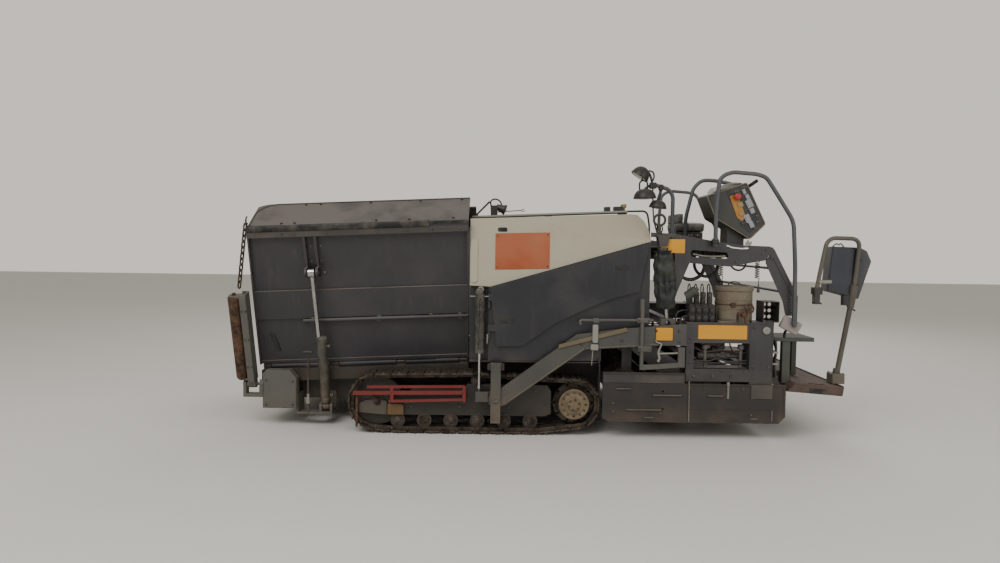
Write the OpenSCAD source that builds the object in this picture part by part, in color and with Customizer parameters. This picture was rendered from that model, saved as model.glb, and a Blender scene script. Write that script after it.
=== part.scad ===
// Small tracked asphalt paver, standing as it parks: hopper wings folded up,
// push rollers folded up, screed raised. Travel is towards -X, the left side is -Y.

/* [Overall] */
// Transport width over the wing rims, tow posts and end plates
transport_w = 2500; // [2440:10:2600]
// Slope of the hopper and hood above the level tracks, in degrees
rake = 2.7; // [1.5:0.1:3.5]
// How far the flanks of the engine housing stay inside the transport width
flank_inset = 100; // [90:5:120]
// Front face of the engine housing
body_front = -765; // [-770:1:-755]
// Rear face of the engine housing
body_rear = 880; // [870:1:890]

/* [Tracks] */
// How far the track shoes stay inside the transport width
track_inset = 90; // [80:5:110]
// Width of a track shoe
shoe_w = 260; // [230:10:280]
// Number of shoes in one track
shoe_count = 34; // [30:1:38]
// Height of a shoe above the link band
shoe_h = 25; // [20:1:30]
// Thickness of the link band
band_h = 25; // [20:1:28]
// Idler centre along the machine
idler_x = -1610; // [-1640:5:-1590]
// Radius over the shoes round the idler
idler_r = 276; // [265:1:285]
// Sprocket centre along the machine
sprocket_x = 206; // [190:2:220]
// Radius over the shoes round the sprocket
sprocket_r = 245; // [235:1:255]
// Height of the idler and sprocket centres
axle_z = 290; // [286:1:300]
// Spacing of the bottom rollers
roller_pitch = 245; // [230:5:260]
// Number of bottom rollers
roller_count = 6; // [4:1:6]
// Height of the top run over its carrier roller
top_run_z = 585; // [575:1:590]

/* [Hopper] */
// Front edge of the hopper wings
wing_front = -2779; // [-2785:1:-2770]
// Rear edge of the hopper wings
wing_rear = -781; // [-784:1:-775]
// How far the wings' hinge lines are inside the transport width
hinge_inset = 450; // [440:5:460]
// Height of the hinge line at the rear of the hopper
hinge_z = 645; // [635:5:660]
// Height of a wing from its hinge to the top of its rim
wing_h = 1386; // [1350:2:1400]
// Thickness of the wing plate
wing_t = 12; // [8:1:16]
// How far the rim box stands out of the wing plate
rim_out = 58; // [40:1:62]
// Height of the rim box
rim_h = 95; // [70:5:110]
// Width of the leaf that leans in over the hopper
leaf_w = 410; // [360:10:430]
// Rise of that leaf above the horizontal, in degrees
leaf_rise = 32; // [25:1:40]
// Radius of the hinge pins
hinge_pin_r = 14; // [10:1:18]

/* [Wing cylinders] */
// Place of the wing cylinders along the machine
wing_cyl_x = -2160; // [-2190:5:-2150]
// Radius of the wing cylinder's barrel
wing_barrel_r = 47; // [40:1:50]
// Radius of the wing cylinder's rod
wing_rod_r = 20; // [16:1:24]
// Length of the wing cylinder's barrel above its eye
wing_barrel_l = 850; // [800:10:880]

/* [Push rollers] */
// Radius of a push roller
push_r = 58; // [50:1:60]
// Length of a push roller
push_l = 800; // [700:10:810]
// How far the hinge of a push roller's bracket is inside the transport width
push_inset = 330; // [310:5:335]
// Height of that hinge
push_z = 400; // [390:5:420]
// Roller axis along the machine
push_x = -2912; // [-2925:1:-2905]

/* [Screed] */
// Underside of the screed plate, as it hangs
screed_z = 160; // [120:5:200]
// Front of the end plates
end_front = 453; // [450:1:480]
// Rear of the end plates
end_rear = 2114; // [2080:5:2130]
// Height of the end plates
end_h = 354; // [320:2:370]
// Thickness of the end plates
end_t = 22; // [12:1:22]
// Radius of the auger flights
auger_r = 165; // [140:5:170]
// Auger axis along the machine
auger_x = 690; // [680:5:700]
// Height of the auger axis
auger_z = 440; // [420:5:450]
// Travel of each screed extension
extension_stroke = 600; // [400:50:700]

/* [Tow arms] */
// Tow pin along the machine
tow_x = -517; // [-525:1:-510]
// Height of the tow pin
tow_z = 345; // [335:5:360]
// Thickness of a tow arm
arm_t = 40; // [30:1:40]
// Radius of the tow pin
tow_pin_r = 25; // [18:1:30]

/* [Platform] */
// Top of the operator's deck
deck_z = 1750; // [1730:5:1760]
// Rear end of the deck
deck_rear = 1930; // [1900:5:1950]
// Radius of the handrail tube
rail_r = 19; // [15:1:22]
// Top of the handrails
rail_top = 2430; // [2380:10:2450]

/* [Hidden] */
$fn = 48;
half_w = transport_w / 2;
body_half = half_w - flank_inset;
track_outer = half_w - track_inset;
hinge_half = half_w - hinge_inset;
push_half = half_w - push_inset;
// Gap left between pieces that rest face to face on different bodies
gap = 0.3;
// Radial running clearance of pins and rods
run = 0.05;
// Least free space round a moving piece
clear = 8;
big = 6000;
slope = tan(rake);

wing_len = wing_rear - wing_front;
wing_lean = asin((half_w - rim_out - hinge_half) / wing_h);
function hinge_z_at(x) = hinge_z + (x - wing_rear) * slope;

// General helpers

module both() {
    children();
    mirror([0, 1, 0]) children();
}

module bar(from, to) {
    translate([min(from[0], to[0]), min(from[1], to[1]), min(from[2], to[2])])
        cube([abs(to[0] - from[0]), abs(to[1] - from[1]), abs(to[2] - from[2])]);
}

// A flat plate in the XZ plane: its outline, and its two faces in Y
module side_plate(outline, y_from, y_to) {
    translate([0, max(y_from, y_to), 0])
        rotate([90, 0, 0])
            linear_extrude(abs(y_to - y_from)) polygon(outline);
}

// A round rod or tube between two points
module rod(a, b, r, fn = 24) {
    d = b - a;
    len_ab = norm(d);
    translate(a)
        rotate([0, acos(d[2] / len_ab), atan2(d[1], d[0])])
            cylinder(h = len_ab, r = r, $fn = fn);
}

module x_cyl(x, y, z, r, l, fn = 48) {
    translate([x, y, z]) rotate([0, 90, 0]) cylinder(h = l, r = r, $fn = fn);
}

module y_cyl(x, y, z, r, l, fn = 48) {
    translate([x, y, z]) rotate([-90, 0, 0]) cylinder(h = l, r = r, $fn = fn);
}

function unit(v) = v / norm(v);

// A route with each inner corner turned into a short curve of the given reach
function rounded(p, reach, steps) = concat([p[0]],
    [for (i = [1 : len(p) - 2], k = [0 : steps])
        let (t = k / steps, cut = min(reach, 0.45 * norm(p[i] - p[i - 1]), 0.45 * norm(p[i + 1] - p[i])),
             a = p[i] + cut * unit(p[i - 1] - p[i]), c = p[i] + cut * unit(p[i + 1] - p[i]))
        (1 - t) * (1 - t) * a + 2 * t * (1 - t) * p[i] + t * t * c],
    [p[len(p) - 1]]);

// A bent tube: one closed skin swept along the route
module pipe(points, r, reach = 60, sides = 12) {
    swept(rounded(points, reach, 3), r, sides);
}
module swept(line, r, sides) {
    n = len(line);
    tangent = [for (i = [0 : n - 1]) unit(line[min(i + 1, n - 1)] - line[max(i - 1, 0)])];
    rings = [for (i = [0 : n - 1])
        let (across = unit(cross(tangent[i], [0.13, 1, 0.07])), up = cross(across, tangent[i]))
        [for (k = [0 : sides - 1])
            line[i] + r * (cos(360 * k / sides) * across + sin(360 * k / sides) * up)]];
    polyhedron(
        points = [for (ring = rings, p = ring) p],
        faces = concat(
            [[for (k = [sides - 1 : -1 : 0]) k]],
            [for (i = [0 : n - 2], k = [0 : sides - 1], h = [0, 1])
                let (a = i * sides + k, b = i * sides + (k + 1) % sides)
                h == 0 ? [a, b + sides, a + sides] : [a, b, b + sides]],
            [[for (k = [0 : sides - 1]) (n - 1) * sides + k]]));
}

// Tracks: one loop round idler, carrier roller, sprocket and the end rollers

track_mid = track_outer - shoe_w / 2;
roller_clear = 1;
ground_path = shoe_h;
roller_r = 68;
roller_z = shoe_h + band_h + roller_clear + roller_r;
roller_x0 = -1420;
carrier_x = -700;
carrier_r = 45;
carrier_z = top_run_z - shoe_h - band_h - roller_clear - carrier_r;
belt_extra = band_h + roller_clear;

// Each circle: centre x, centre z, radius of the path under the shoes, clockwise
belt = [
    [idler_x, axle_z, idler_r - shoe_h],
    [carrier_x, carrier_z, carrier_r + belt_extra],
    [sprocket_x, axle_z, sprocket_r - shoe_h],
    [roller_x0 + (roller_count - 1) * roller_pitch + 60, roller_z, roller_r + belt_extra],
    [roller_x0, roller_z, roller_r + belt_extra]
];
belt_n = len(belt);
function belt_c(i) = [belt[i % belt_n][0], belt[i % belt_n][1]];
function belt_r(i) = belt[i % belt_n][2];
function normal_angle(i) =
    let (d = belt_c(i + 1) - belt_c(i))
    atan2(d[1], d[0]) + acos((belt_r(i) - belt_r(i + 1)) / norm(d));
function turn(a, b) = let (d = a - b) d - 360 * floor(d / 360);
arc_sweep = [for (i = [0 : belt_n - 1]) turn(normal_angle(i + belt_n - 1), normal_angle(i))];
arc_len = [for (i = [0 : belt_n - 1]) belt_r(i) * arc_sweep[i] * PI / 180];
line_len = [for (i = [0 : belt_n - 1])
    let (d = norm(belt_c(i + 1) - belt_c(i)), dr = belt_r(i) - belt_r(i + 1))
    sqrt(d * d - dr * dr)];
function run_sum(v, i) = i < 0 ? 0 : v[i] + run_sum(v, i - 1);
belt_len = run_sum(arc_len, belt_n - 1) + run_sum(line_len, belt_n - 1);

// Place on the loop at distance s: x, z and the angle of the outward normal
function belt_at(s, i = 0) =
    s <= arc_len[i]
        ? let (a = normal_angle(i + belt_n - 1) - s / belt_r(i) * 180 / PI)
            concat(belt_c(i) + belt_r(i) * [cos(a), sin(a)], [a])
        : s <= arc_len[i] + line_len[i]
            ? let (a = normal_angle(i), t = s - arc_len[i])
                concat(belt_c(i) + belt_r(i) * [cos(a), sin(a)] + t * [sin(a), -cos(a)], [a])
            : i < belt_n - 1 ? belt_at(s - arc_len[i] - line_len[i], i + 1) : belt_at(0, 0);
function band_outline(inset, n) = [for (k = [0 : n - 1])
    let (p = belt_at(k * belt_len / n))
    [p[0] - inset * cos(p[2]), p[1] - inset * sin(p[2])]];

shoe_pitch = belt_len / shoe_count;
band_steps = shoe_count * 3;
rail_half = 60;

module shoe() {
    plate_t = 12;
    lug_t = 18;
    translate([-shoe_pitch / 2 + 5, -shoe_w / 2, -4]) cube([shoe_pitch - 10, shoe_w, plate_t + 4]);
    translate([-lug_t / 2, -shoe_w / 2, plate_t - 1]) cube([lug_t, shoe_w, shoe_h - plate_t + 1]);
}

// A track with its band on both sides of the guide gap and its shoes all round
module track() {
    color([0.16, 0.14, 0.12]) translate([0, -track_mid, 0]) {
        for (y = [-1, 1])
            translate([0, y * rail_half, 0]) rotate([90, 0, 0])
                linear_extrude(36, center = true) difference() {
                    polygon(band_outline(0, band_steps));
                    polygon(band_outline(band_h, band_steps));
                }
        for (k = [0 : shoe_count - 1]) {
            p = belt_at((k + 0.5) * shoe_pitch);
            translate([p[0], 0, p[1]]) rotate([0, 90 - p[2], 0]) shoe();
        }
    }
}

frame_beam_half = 76;
frame_out = track_mid + frame_beam_half;
frame_in = track_mid - frame_beam_half;

module track_frame() {
    beam = [
        [-1780, 230], [-1740, 345], [-1350, 345], [-1300, 400], [-820, 400],
        [-780, 455], [-40, 455], [-5, 400], [-5, 190], [-60, 165], [-1500, 165], [-1760, 205]
    ];
    side_plate(beam, -frame_out, -frame_in);
    for (k = [0 : roller_count - 1]) {
        x = roller_x0 + k * roller_pitch;
        y_cyl(x, -track_mid - 88, roller_z, roller_r - 16, 176);
        for (y = [-88, 70]) y_cyl(x, -track_mid + y, roller_z, roller_r, 18);
    }
    // Idler, carrier roller and their forks
    y_cyl(idler_x, -track_mid - 36, axle_z, idler_r - shoe_h - belt_extra, 72, 64);
    for (y = [-84, 60]) y_cyl(idler_x, -track_mid + y, axle_z, 62, 24);
    y_cyl(idler_x, -track_mid - 90, axle_z, 34, 180);
    y_cyl(carrier_x, -track_mid - 84, carrier_z, carrier_r, 168);
    bar([carrier_x - 30, -track_mid - 30, 440], [carrier_x + 30, -track_mid + 30, carrier_z]);
    // Outriggers that carry the machine's frame
    for (x = [-1300, -120])
        bar([x - 90, -frame_in - 2, 215], [x + 90, -main_half - gap, 345]);
}

module track_frames() {
    color([0.33, 0.31, 0.28]) both() track_frame();
}

hub_r = 142;
module sprockets() {
    teeth = 21;
    ring_r = sprocket_r - shoe_h - belt_extra;
    color([0.62, 0.55, 0.42]) both() {
        difference() {
            union() {
                y_cyl(sprocket_x, -track_mid - 30, axle_z, ring_r - 6, 60, 64);
                y_cyl(sprocket_x, -track_mid - 118, axle_z, hub_r, 100, 64);
                y_cyl(sprocket_x, -track_mid - 128, axle_z, 60, 20);
                // Drive housing that reaches the machine's frame
                y_cyl(sprocket_x, -track_mid + 20, axle_z, 120, track_mid - 20 - main_half - gap);
                for (k = [0 : teeth - 1]) {
                    a = 360 * k / teeth;
                    translate([sprocket_x, -track_mid, axle_z]) rotate([0, a, 0])
                        translate([ring_r - 14, -18, -10]) cube([13, 36, 20]);
                }
            }
            for (k = [0 : 9]) {
                a = 36 * k;
                y_cyl(sprocket_x + 175 * cos(a), -track_mid - 60, axle_z + 175 * sin(a), 11, 120, 24);
            }
        }
    }
}

guard_y0 = track_outer + 8;
guard_t = 28;
// Stowed red bars: front end, rear end, height at the front and rear, depth of section
guard_bars = [
    [-1693, -800, 436, 450, 24],
    [-1820, -790, 378, 396, 36],
    [-1494, -790, 306, 330, 24]
];

module track_guards() {
    color([0.55, 0.1, 0.08]) both() {
        for (b = guard_bars)
            side_plate([[b[0], b[2] - b[4] / 2], [b[1], b[3] - b[4] / 2],
                [b[1], b[3] + b[4] / 2], [b[0], b[2] + b[4] / 2]], -guard_y0 - guard_t, -guard_y0);
        for (x = [-820, -1480])
            side_plate([[x, 306], [x + 30, 306], [x + 30, 452], [x, 452]],
                -guard_y0 - guard_t, -guard_y0 + 4);
        // Stems that reach in to the track's frame
        for (x = [-820, -1480])
            bar([x, -guard_y0, 312], [x + 30, -frame_out - gap, 342]);
    }
}

// Machine frame

main_half = hinge_half - 110;
main_t = 30;
main_front = -2560;
main_rear = 500;
main_z0 = 225;
floor_drop = 38;
floor_t = 18;
tunnel_top = 1000;
roof_z0 = tunnel_top - 12;

function floor_z(x) = hinge_z_at(x) - floor_drop;

module main_frame() {
    low_at_front = floor_z(main_front) - floor_t - 0.1 - gap;
    low_at_body = floor_z(body_front) - floor_t - 0.1 - gap;
    color([0.2, 0.2, 0.21]) {
        both() {
            // Long side plate under the hopper and the engine
            side_plate([
                [main_front, main_z0], [main_rear - 120, main_z0], [main_rear, main_z0 + 120],
                [main_rear, roof_z0 - gap], [body_front + 2, roof_z0 - gap],
                [body_front + 2, low_at_body], [main_front, low_at_front]
            ], -main_half, -main_half + main_t);
            // Bracket from the frame to the tow post, over the track
            bar([tow_x - 75, -half_w + 16 + gap, 612], [tow_x + 75, -main_half, 664]);
        }
        // Cross members
        for (x = [-2300, -1700, -1100, -400, 200])
            bar([x, -main_half + main_t, 260], [x + 90, main_half - main_t, 350]);
        // Underguard
        bar([-1900, -main_half + main_t, main_z0], [300, main_half - main_t, main_z0 + 12]);
    }
}

// Roof over the conveyors, with its rear header
module tunnel_roof() {
    color([0.2, 0.2, 0.21]) {
        bar([body_front + 2, -main_half, roof_z0], [main_rear, main_half, tunnel_top]);
        bar([main_rear - 30, -main_half + main_t + gap, 930], [main_rear, main_half - main_t - gap, roof_z0 + 1]);
    }
}

beam_front = -2724;
beam_rear = main_front - gap;
beam_z0 = 175;
beam_z1 = 538;
box_in = hinge_half + 50;
box_out = hinge_half + 150;
box_rear = -2405;
tow_eye_r = 22;
push_pin_x0 = -2905;
wing_foot_y = hinge_half + 62;
wing_foot_drop = 400;
foot_plate_z = 112;

module push_lug(x, l) {
    x_cyl(x, -push_half, push_z, 42, l);
    bar([x, -push_half - 42, push_z - 120], [x + l, -push_half + 42, push_z]);
}

module front_beam() {
    foot_x = wing_foot[0];
    color([0.42, 0.42, 0.41]) difference() {
        union() {
            bar([beam_front, -box_in - 1, beam_z0], [beam_rear, box_in + 1, 394]);
            both() {
                // Bevelled box at each end of the beam
                side_plate([
                    [beam_front, beam_z0], [box_rear, beam_z0], [box_rear, 462],
                    [box_rear - 66, beam_z1], [beam_front + 34, beam_z1], [beam_front, 500]
                ], -box_out, -box_in);
                // Hinge lugs of the push roller and the plate that carries them
                push_lug(push_pin_x0, 28);
                push_lug(beam_front - 30, 34);
                bar([push_pin_x0, -push_half - 42, push_z - 120], [beam_front + 4, -push_half + 42, push_z - 90]);
                x_cyl(push_pin_x0 - 12, -push_half, push_z, hinge_pin_r, beam_front + 8 - push_pin_x0);
                // Foot of the wing cylinder, from the end box to the frame's side plate
                bar([box_rear - 16, -wing_foot_y - 50, foot_plate_z], [box_rear + 8, -main_half - gap, 300]);
                bar([box_rear, -wing_foot_y - 50, foot_plate_z], [foot_x + 62, -wing_foot_y + 60, foot_plate_z + 22]);
                bar([foot_x - 62, -wing_foot_y + 58, foot_plate_z], [foot_x + 62, -main_half - 15, foot_plate_z + 22]);
                bar([foot_x - 62, -main_half - 16, foot_plate_z], [foot_x + 62, -main_half - gap, 300]);
                translate([foot_x, -wing_foot_y, wing_foot[2]]) rotate([0, -rake, 0]) {
                    for (x = [-62, 38]) {
                        x_cyl(x, 0, 0, 34, 24);
                        bar([x, -34, foot_plate_z + 14 - wing_foot[2]], [x + 24, 34, 0]);
                    }
                    x_cyl(-66, 0, 0, 18, 132);
                }
            }
            // Towing lug at the middle
            bar([beam_front - 90, -60, 250], [beam_front + 4, 60, 310]);
        }
        translate([beam_front - 50, 0, 240]) cylinder(h = 80, r = tow_eye_r);
        // Hollow of the box section
        bar([beam_front + 32, -box_in + 20, beam_z0 + 32], [beam_rear - 30, box_in - 20, 364]);
    }
}

// Hopper

module raked() {
    translate([wing_rear, 0, hinge_z]) rotate([0, -rake, 0]) children();
}

// Between the wings' vertical front and rear edges
module wing_slab(x0 = wing_front, x1 = wing_rear) {
    intersection() {
        children();
        translate([x0, -big / 2, -100]) cube([x1 - x0, big, big]);
    }
}

lug_l = 70;
lug_starts = [-1975, -1325, -690, -85];
knuckle_gap = 12;
hinge_r = 27;
sill_top = -36;

module hopper_floor() {
    color([0.36, 0.34, 0.32]) {
        wing_slab(wing_front + 6, wing_rear - 2) raked() {
            // Bed plate and the conveyor's middle cover
            bar([-wing_len - 60, -main_half, -floor_drop - floor_t], [60, main_half, -floor_drop]);
            bar([-wing_len + 120, -46, -floor_drop - 1], [60, 46, 22]);
            both() {
                // Side sill under the hinge
                bar([-wing_len - 60, -hinge_half - 22, -150], [60, -main_half - gap, sill_top]);
                bar([-wing_len - 60, -main_half - 4, -floor_drop - floor_t], [60, -main_half + 4, -floor_drop]);
            }
            // Front lip
            bar([-wing_len + 6, -main_half + 30, -150], [-wing_len + 30, main_half - 30, 130]);
        }
        both() for (x = lug_starts) raked() translate([x, -hinge_half, 0]) {
            x_cyl(0, 0, 0, hinge_pin_r + 12, lug_l);
            bar([0, -20, sill_top - 10], [lug_l, 20, 0]);
        }
        both() raked() x_cyl(lug_starts[0], -hinge_half, 0, hinge_pin_r,
            lug_starts[3] + lug_l - lug_starts[0]);
    }
}

slat_pitch = 180;
conveyor_l = 3060;

module conveyor() {
    color([0.3, 0.24, 0.2]) both() raked() {
        side = main_half - 130;
        bar([-wing_len + 150, -side, -floor_drop + gap], [-wing_len + 150 + conveyor_l, -90, -floor_drop + 8]);
        for (x = [-wing_len + 200 : slat_pitch : -wing_len + 130 + conveyor_l])
            bar([x, -side, -floor_drop + 7], [x + 28, -90, -floor_drop + 30]);
        for (y = [40 - side, -160])
            bar([-wing_len + 150, y - 14, -floor_drop + 7], [-wing_len + 150 + conveyor_l, y + 14, -floor_drop + 22]);
    }
}

module wing_place() {
    translate([wing_rear, -hinge_half, hinge_z]) rotate([0, -rake, 0]) rotate([wing_lean, 0, 0])
        children();
}

// Lower edge of the wing above its hinge line, clear of the floor's lugs
hinge_clear = hinge_pin_r + 20;
wing_eye_p = 963;
wing_eye_q = 108;
post_w = 124;
panel_lo = 492;
panel_hi = 770;
panel_out = 34;
leaf_corner = 200;

module wing_leaf() {
    // A plate with its front top corner rounded, leaning in from the rim
    l = wing_len + 40;
    translate([0, 0, wing_h - 10]) rotate([leaf_rise - 90 - wing_lean, 0, 0])
        rotate([90, 0, 0]) linear_extrude(10) difference() {
            translate([-l, -6]) square([l + 80, leaf_w + 6]);
            difference() {
                translate([-wing_len - 41, leaf_w - leaf_corner]) square([leaf_corner + 41, leaf_corner + 1]);
                translate([-wing_len + leaf_corner, leaf_w - leaf_corner]) circle(r = leaf_corner, $fn = 64);
            }
        }
}

module wing() {
    color([0.23, 0.22, 0.21]) difference() {
        union() {
            wing_slab() wing_place() {
                bar([-wing_len - 80, -wing_t, hinge_clear], [80, 0, wing_h]);
                bar([-wing_len - 80, -rim_out, wing_h - rim_h], [80, -wing_t + 1, wing_h]);
                bar([-wing_len - 80, -panel_out, panel_lo], [80, -wing_t + 1, panel_hi]);
                bar([-wing_len - 80, -26, hinge_clear], [80, -wing_t + 1, 64]);
                wing_leaf();
            }
            wing_slab() wing_place() x_cyl(-wing_len + 470, -46, 470, 17, wing_len, 20);
            wing_slab(wing_front, wing_front + 14) wing_place()
                bar([-wing_len - 80, -rim_out + 8, hinge_clear + 2], [80, -2, wing_h - 4]);
            wing_slab(wing_rear - 14, wing_rear) wing_place()
                bar([-wing_len - 80, -rim_out + 8, hinge_clear + 2], [80, -2, wing_h - 4]);
            // Post with the two ears that hold the cylinder's rod
            wing_place() for (x = [-post_w / 2, post_w / 2 - 22]) {
                bar([cyl_local_x + x, -rim_out, wing_eye_p - 70], [cyl_local_x + x + 22, -2, wing_h - 4]);
                bar([cyl_local_x + x, -wing_eye_q - 10, wing_eye_p - 44],
                    [cyl_local_x + x + 22, -2, wing_eye_p + 44]);
                x_cyl(cyl_local_x + x, -wing_eye_q, wing_eye_p, 38, 22);
            }
            wing_place() x_cyl(cyl_local_x - post_w / 2 - 6, -wing_eye_q, wing_eye_p, wing_pin_r, post_w + 12);
            wing_place() for (k = [0 : 2])
                wing_knuckle(lug_starts[k] + lug_l + knuckle_gap,
                    lug_starts[k + 1] - lug_starts[k] - lug_l - 2 * knuckle_gap);
        }
        wing_place() x_cyl(-wing_len - 60, 0, 0, hinge_pin_r + run, wing_len + 120);
    }
}

module wing_knuckle(x, l) {
    x_cyl(x, 0, 0, hinge_r, l);
    bar([x, -wing_t, 0], [x + l, 0, 40]);
}

// Wing cylinder: its foot pin and rod eye lie in one plane across the raked hinge line
cyl_local_x = (wing_cyl_x - wing_rear) / cos(rake);
wing_foot = [wing_cyl_x + wing_foot_drop * sin(rake), 0,
    hinge_z_at(wing_cyl_x) - wing_foot_drop * cos(rake)];
wing_eye_out = hinge_half + wing_eye_p * sin(wing_lean) + wing_eye_q * cos(wing_lean) - wing_foot_y;
wing_eye_up = wing_foot_drop + wing_eye_p * cos(wing_lean) - wing_eye_q * sin(wing_lean);
wing_cyl_l = norm([wing_eye_out, wing_eye_up]);
wing_cyl_tilt = atan2(wing_eye_out, wing_eye_up);

// side is 1 on the left, -1 on the right
module wing_cyl_place(side) {
    translate([wing_foot[0], -side * wing_foot_y, wing_foot[2]])
        rotate([0, -rake, 0]) rotate([side * wing_cyl_tilt, 0, 0]) children();
}

module wing_barrel(side) {
    color([0.3, 0.31, 0.29]) wing_cyl_place(side) difference() {
        union() {
            x_cyl(-30, 0, 0, 36, 60);
            translate([0, 0, 20]) cylinder(h = 40, r = 30);
            translate([0, 0, 46]) cylinder(h = wing_barrel_l - 46, r = wing_barrel_r);
            translate([0, 0, wing_barrel_l - 40]) cylinder(h = 40, r = wing_barrel_r + 6);
        }
        x_cyl(-31, 0, 0, 18 + run, 62);
        translate([0, 0, 300]) cylinder(h = wing_barrel_l, r = wing_rod_r + run);
    }
}

// The eye is bored out, because a fixed ratio leaves it a little off its pin in mid travel
wing_pin_r = 12;
wing_pin_slack = 16;

module wing_rod(side) {
    color([0.75, 0.75, 0.74]) wing_cyl_place(side) difference() {
        union() {
            translate([0, 0, wing_barrel_l - 240]) cylinder(h = wing_cyl_l - wing_barrel_l + 215, r = wing_rod_r);
            translate([0, 0, wing_cyl_l]) x_cyl(-28, 0, 0, 43, 56);
        }
        translate([0, 0, wing_cyl_l]) x_cyl(-29, 0, 0, wing_pin_r + wing_pin_slack, 58);
    }
}

// Push rollers, folded up beside the hopper's front

push_lean = wing_lean;
push_p0 = 76;
bracket_x0 = -2850;
bracket_x1 = wing_front - 11;
plate_t = 16;

module push_place() {
    translate([0, -push_half, push_z]) rotate([push_lean, 0, 0]) children();
}

module push_bracket() {
    top = push_p0 + push_l + 2 * plate_t + 8;
    color([0.45, 0.45, 0.43]) push_place() difference() {
        union() {
            // Channel behind the roller
            bar([bracket_x1 - 12, -58, 40], [bracket_x1, 58, top]);
            for (y = [-58, 46]) bar([bracket_x0, y, 40], [bracket_x1, y + 12, top]);
            // Bearing plates at both ends of the roller
            for (z = [push_p0 - plate_t - 4, push_p0 + push_l + 4]) {
                bar([push_x, -46, z], [bracket_x1, 46, z + plate_t]);
                translate([push_x, 0, z]) cylinder(h = plate_t, r = 46);
            }
            x_cyl(push_pin_x0 + 34, 0, 0, 36, bracket_x1 - push_pin_x0 - 34);
            bar([bracket_x0, -36, 0], [bracket_x1, 36, 60]);
        }
        x_cyl(push_pin_x0 - 20, 0, 0, hinge_pin_r + run, 300);
        translate([push_x, 0, push_p0 - 60]) cylinder(h = push_l + 120, r = 16 + run);
    }
}

module push_roller() {
    color([0.42, 0.27, 0.18]) push_place() translate([push_x, 0, push_p0]) {
        cylinder(h = push_l, r = push_r, $fn = 64);
        translate([0, 0, -plate_t - 6]) cylinder(h = push_l + 2 * plate_t + 12, r = 16);
    }
}

// Engine housing

hood_t = 8;
function hood_top(x) = 1984 + (x - body_front) * slope;
hood_side = [
    [body_front, 1375], [-575, 1367], [body_rear, 1797], [body_rear, 1905],
    [body_rear - 22, 1985], [body_rear - 75, hood_top(body_rear) - 12],
    [body_rear - 150, hood_top(body_rear - 150)], [body_front, hood_top(body_front)]
];

// The chamfer that grows from nothing at the front to the rear corner
module hood_chamfer(inset) {
    a = [-735, -body_half + inset, hood_top(-735) - inset];
    b = [body_rear + 20, -body_half + inset, 1806 - inset];
    c = [body_rear + 20, -body_half + 330 + inset, hood_top(body_rear) - inset + 6];
    x_dir = unit(b - a);
    n = unit(cross(x_dir, c - b));
    y_dir = cross(n, x_dir);
    m = [
        [x_dir[0], y_dir[0], n[0], a[0]],
        [x_dir[1], y_dir[1], n[1], a[1]],
        [x_dir[2], y_dir[2], n[2], a[2]],
        [0, 0, 0, 1]
    ];
    multmatrix(m) translate([-500, -1500, 0]) cube([3500, 3000, 900]);
}

module hood_body(inset) {
    difference() {
        translate([0, body_half - inset, 0]) rotate([90, 0, 0])
            linear_extrude(2 * (body_half - inset)) polygon(inset == 0 ? hood_side : [
                [body_front + inset, 1200], [body_rear - inset, 1200],
                [body_rear - inset, 1905], [body_rear - 22 - inset, 1975],
                [body_rear - 80 - inset, hood_top(body_rear) - 12 - inset],
                [body_rear - 150 - inset, hood_top(body_rear - 150) - inset],
                [body_front + inset, hood_top(body_front) - inset]
            ]);
        hood_chamfer(inset);
        mirror([0, 1, 0]) hood_chamfer(inset);
    }
}

module hood() {
    color([0.74, 0.73, 0.66]) difference() {
        hood_body(0);
        hood_body(hood_t);
    }
}

// Outline of a side door, clockwise from its front top corner
door_outline = [
    [-575, 1357], [887 - 24, 1780], [775, 1344], [495, 1262],
    [252, 1154], [8, 1038], [-270, 834], [-514, 822]
];
door_t = 28;
door_y = body_half + 2;
door_hinge_x = -588;

skirt_t = 10;
module body_panels() {
    recess = body_half - 62;
    color([0.2, 0.2, 0.22]) {
        both() {
            // Flank behind the door, with the door's opening
            difference() {
                side_plate([
                    [-592, 684], [445, 697], [445, 860], [body_rear - 1, 1000],
                    [body_rear - 1, 1796], [-575, 1367 - gap], [-592, 1367 - gap]
                ], -body_half, -body_half + skirt_t);
                side_plate([
                    [-520, 1330], [800, 1722], [735, 1392], [480, 1312],
                    [230, 1205], [-20, 1088], [-280, 880], [-470, 880]
                ], -body_half - 1, -body_half + skirt_t + 1);
            }
            // Recessed strip beside the level cylinder
            side_plate([
                [body_front, 684], [-590, 684], [-590, 1362], [body_front, 1370]
            ], -recess, -recess + skirt_t);
            bar([-592, -body_half + 1, 684], [-582, -recess + 4, 1360]);
            // Fender over the track
            bar([body_front, -body_half + 2, 674], [440, -main_half - gap, 684]);
            // Hinge pins of the door
            for (z = door_knuckles)
                translate([door_hinge_x, -door_y - 16, z - 70]) cylinder(h = 60, r = 15);
            for (z = door_knuckles) {
                bar([door_hinge_x - 15, -door_y - 16, z - 70], [door_hinge_x + 15, -body_half + 4, z - 10]);
                translate([door_hinge_x, -door_y - 16, z - 20]) cylinder(h = 86, r = 8);
            }
        }
        // Bulkheads at the hopper and at the platform
        difference() {
            bar([body_front, -body_half + 62, 684], [body_front + skirt_t, body_half - 62, 1373]);
            bar([body_front - 1, -main_half, 0], [body_front + 23, main_half, tunnel_top + gap]);
        }
        bar([body_rear - 1 - skirt_t, -body_half + skirt_t, 1000], [body_rear - 1, body_half - skirt_t, 1770]);
    }
}

door_knuckles = [960, 1240];

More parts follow.
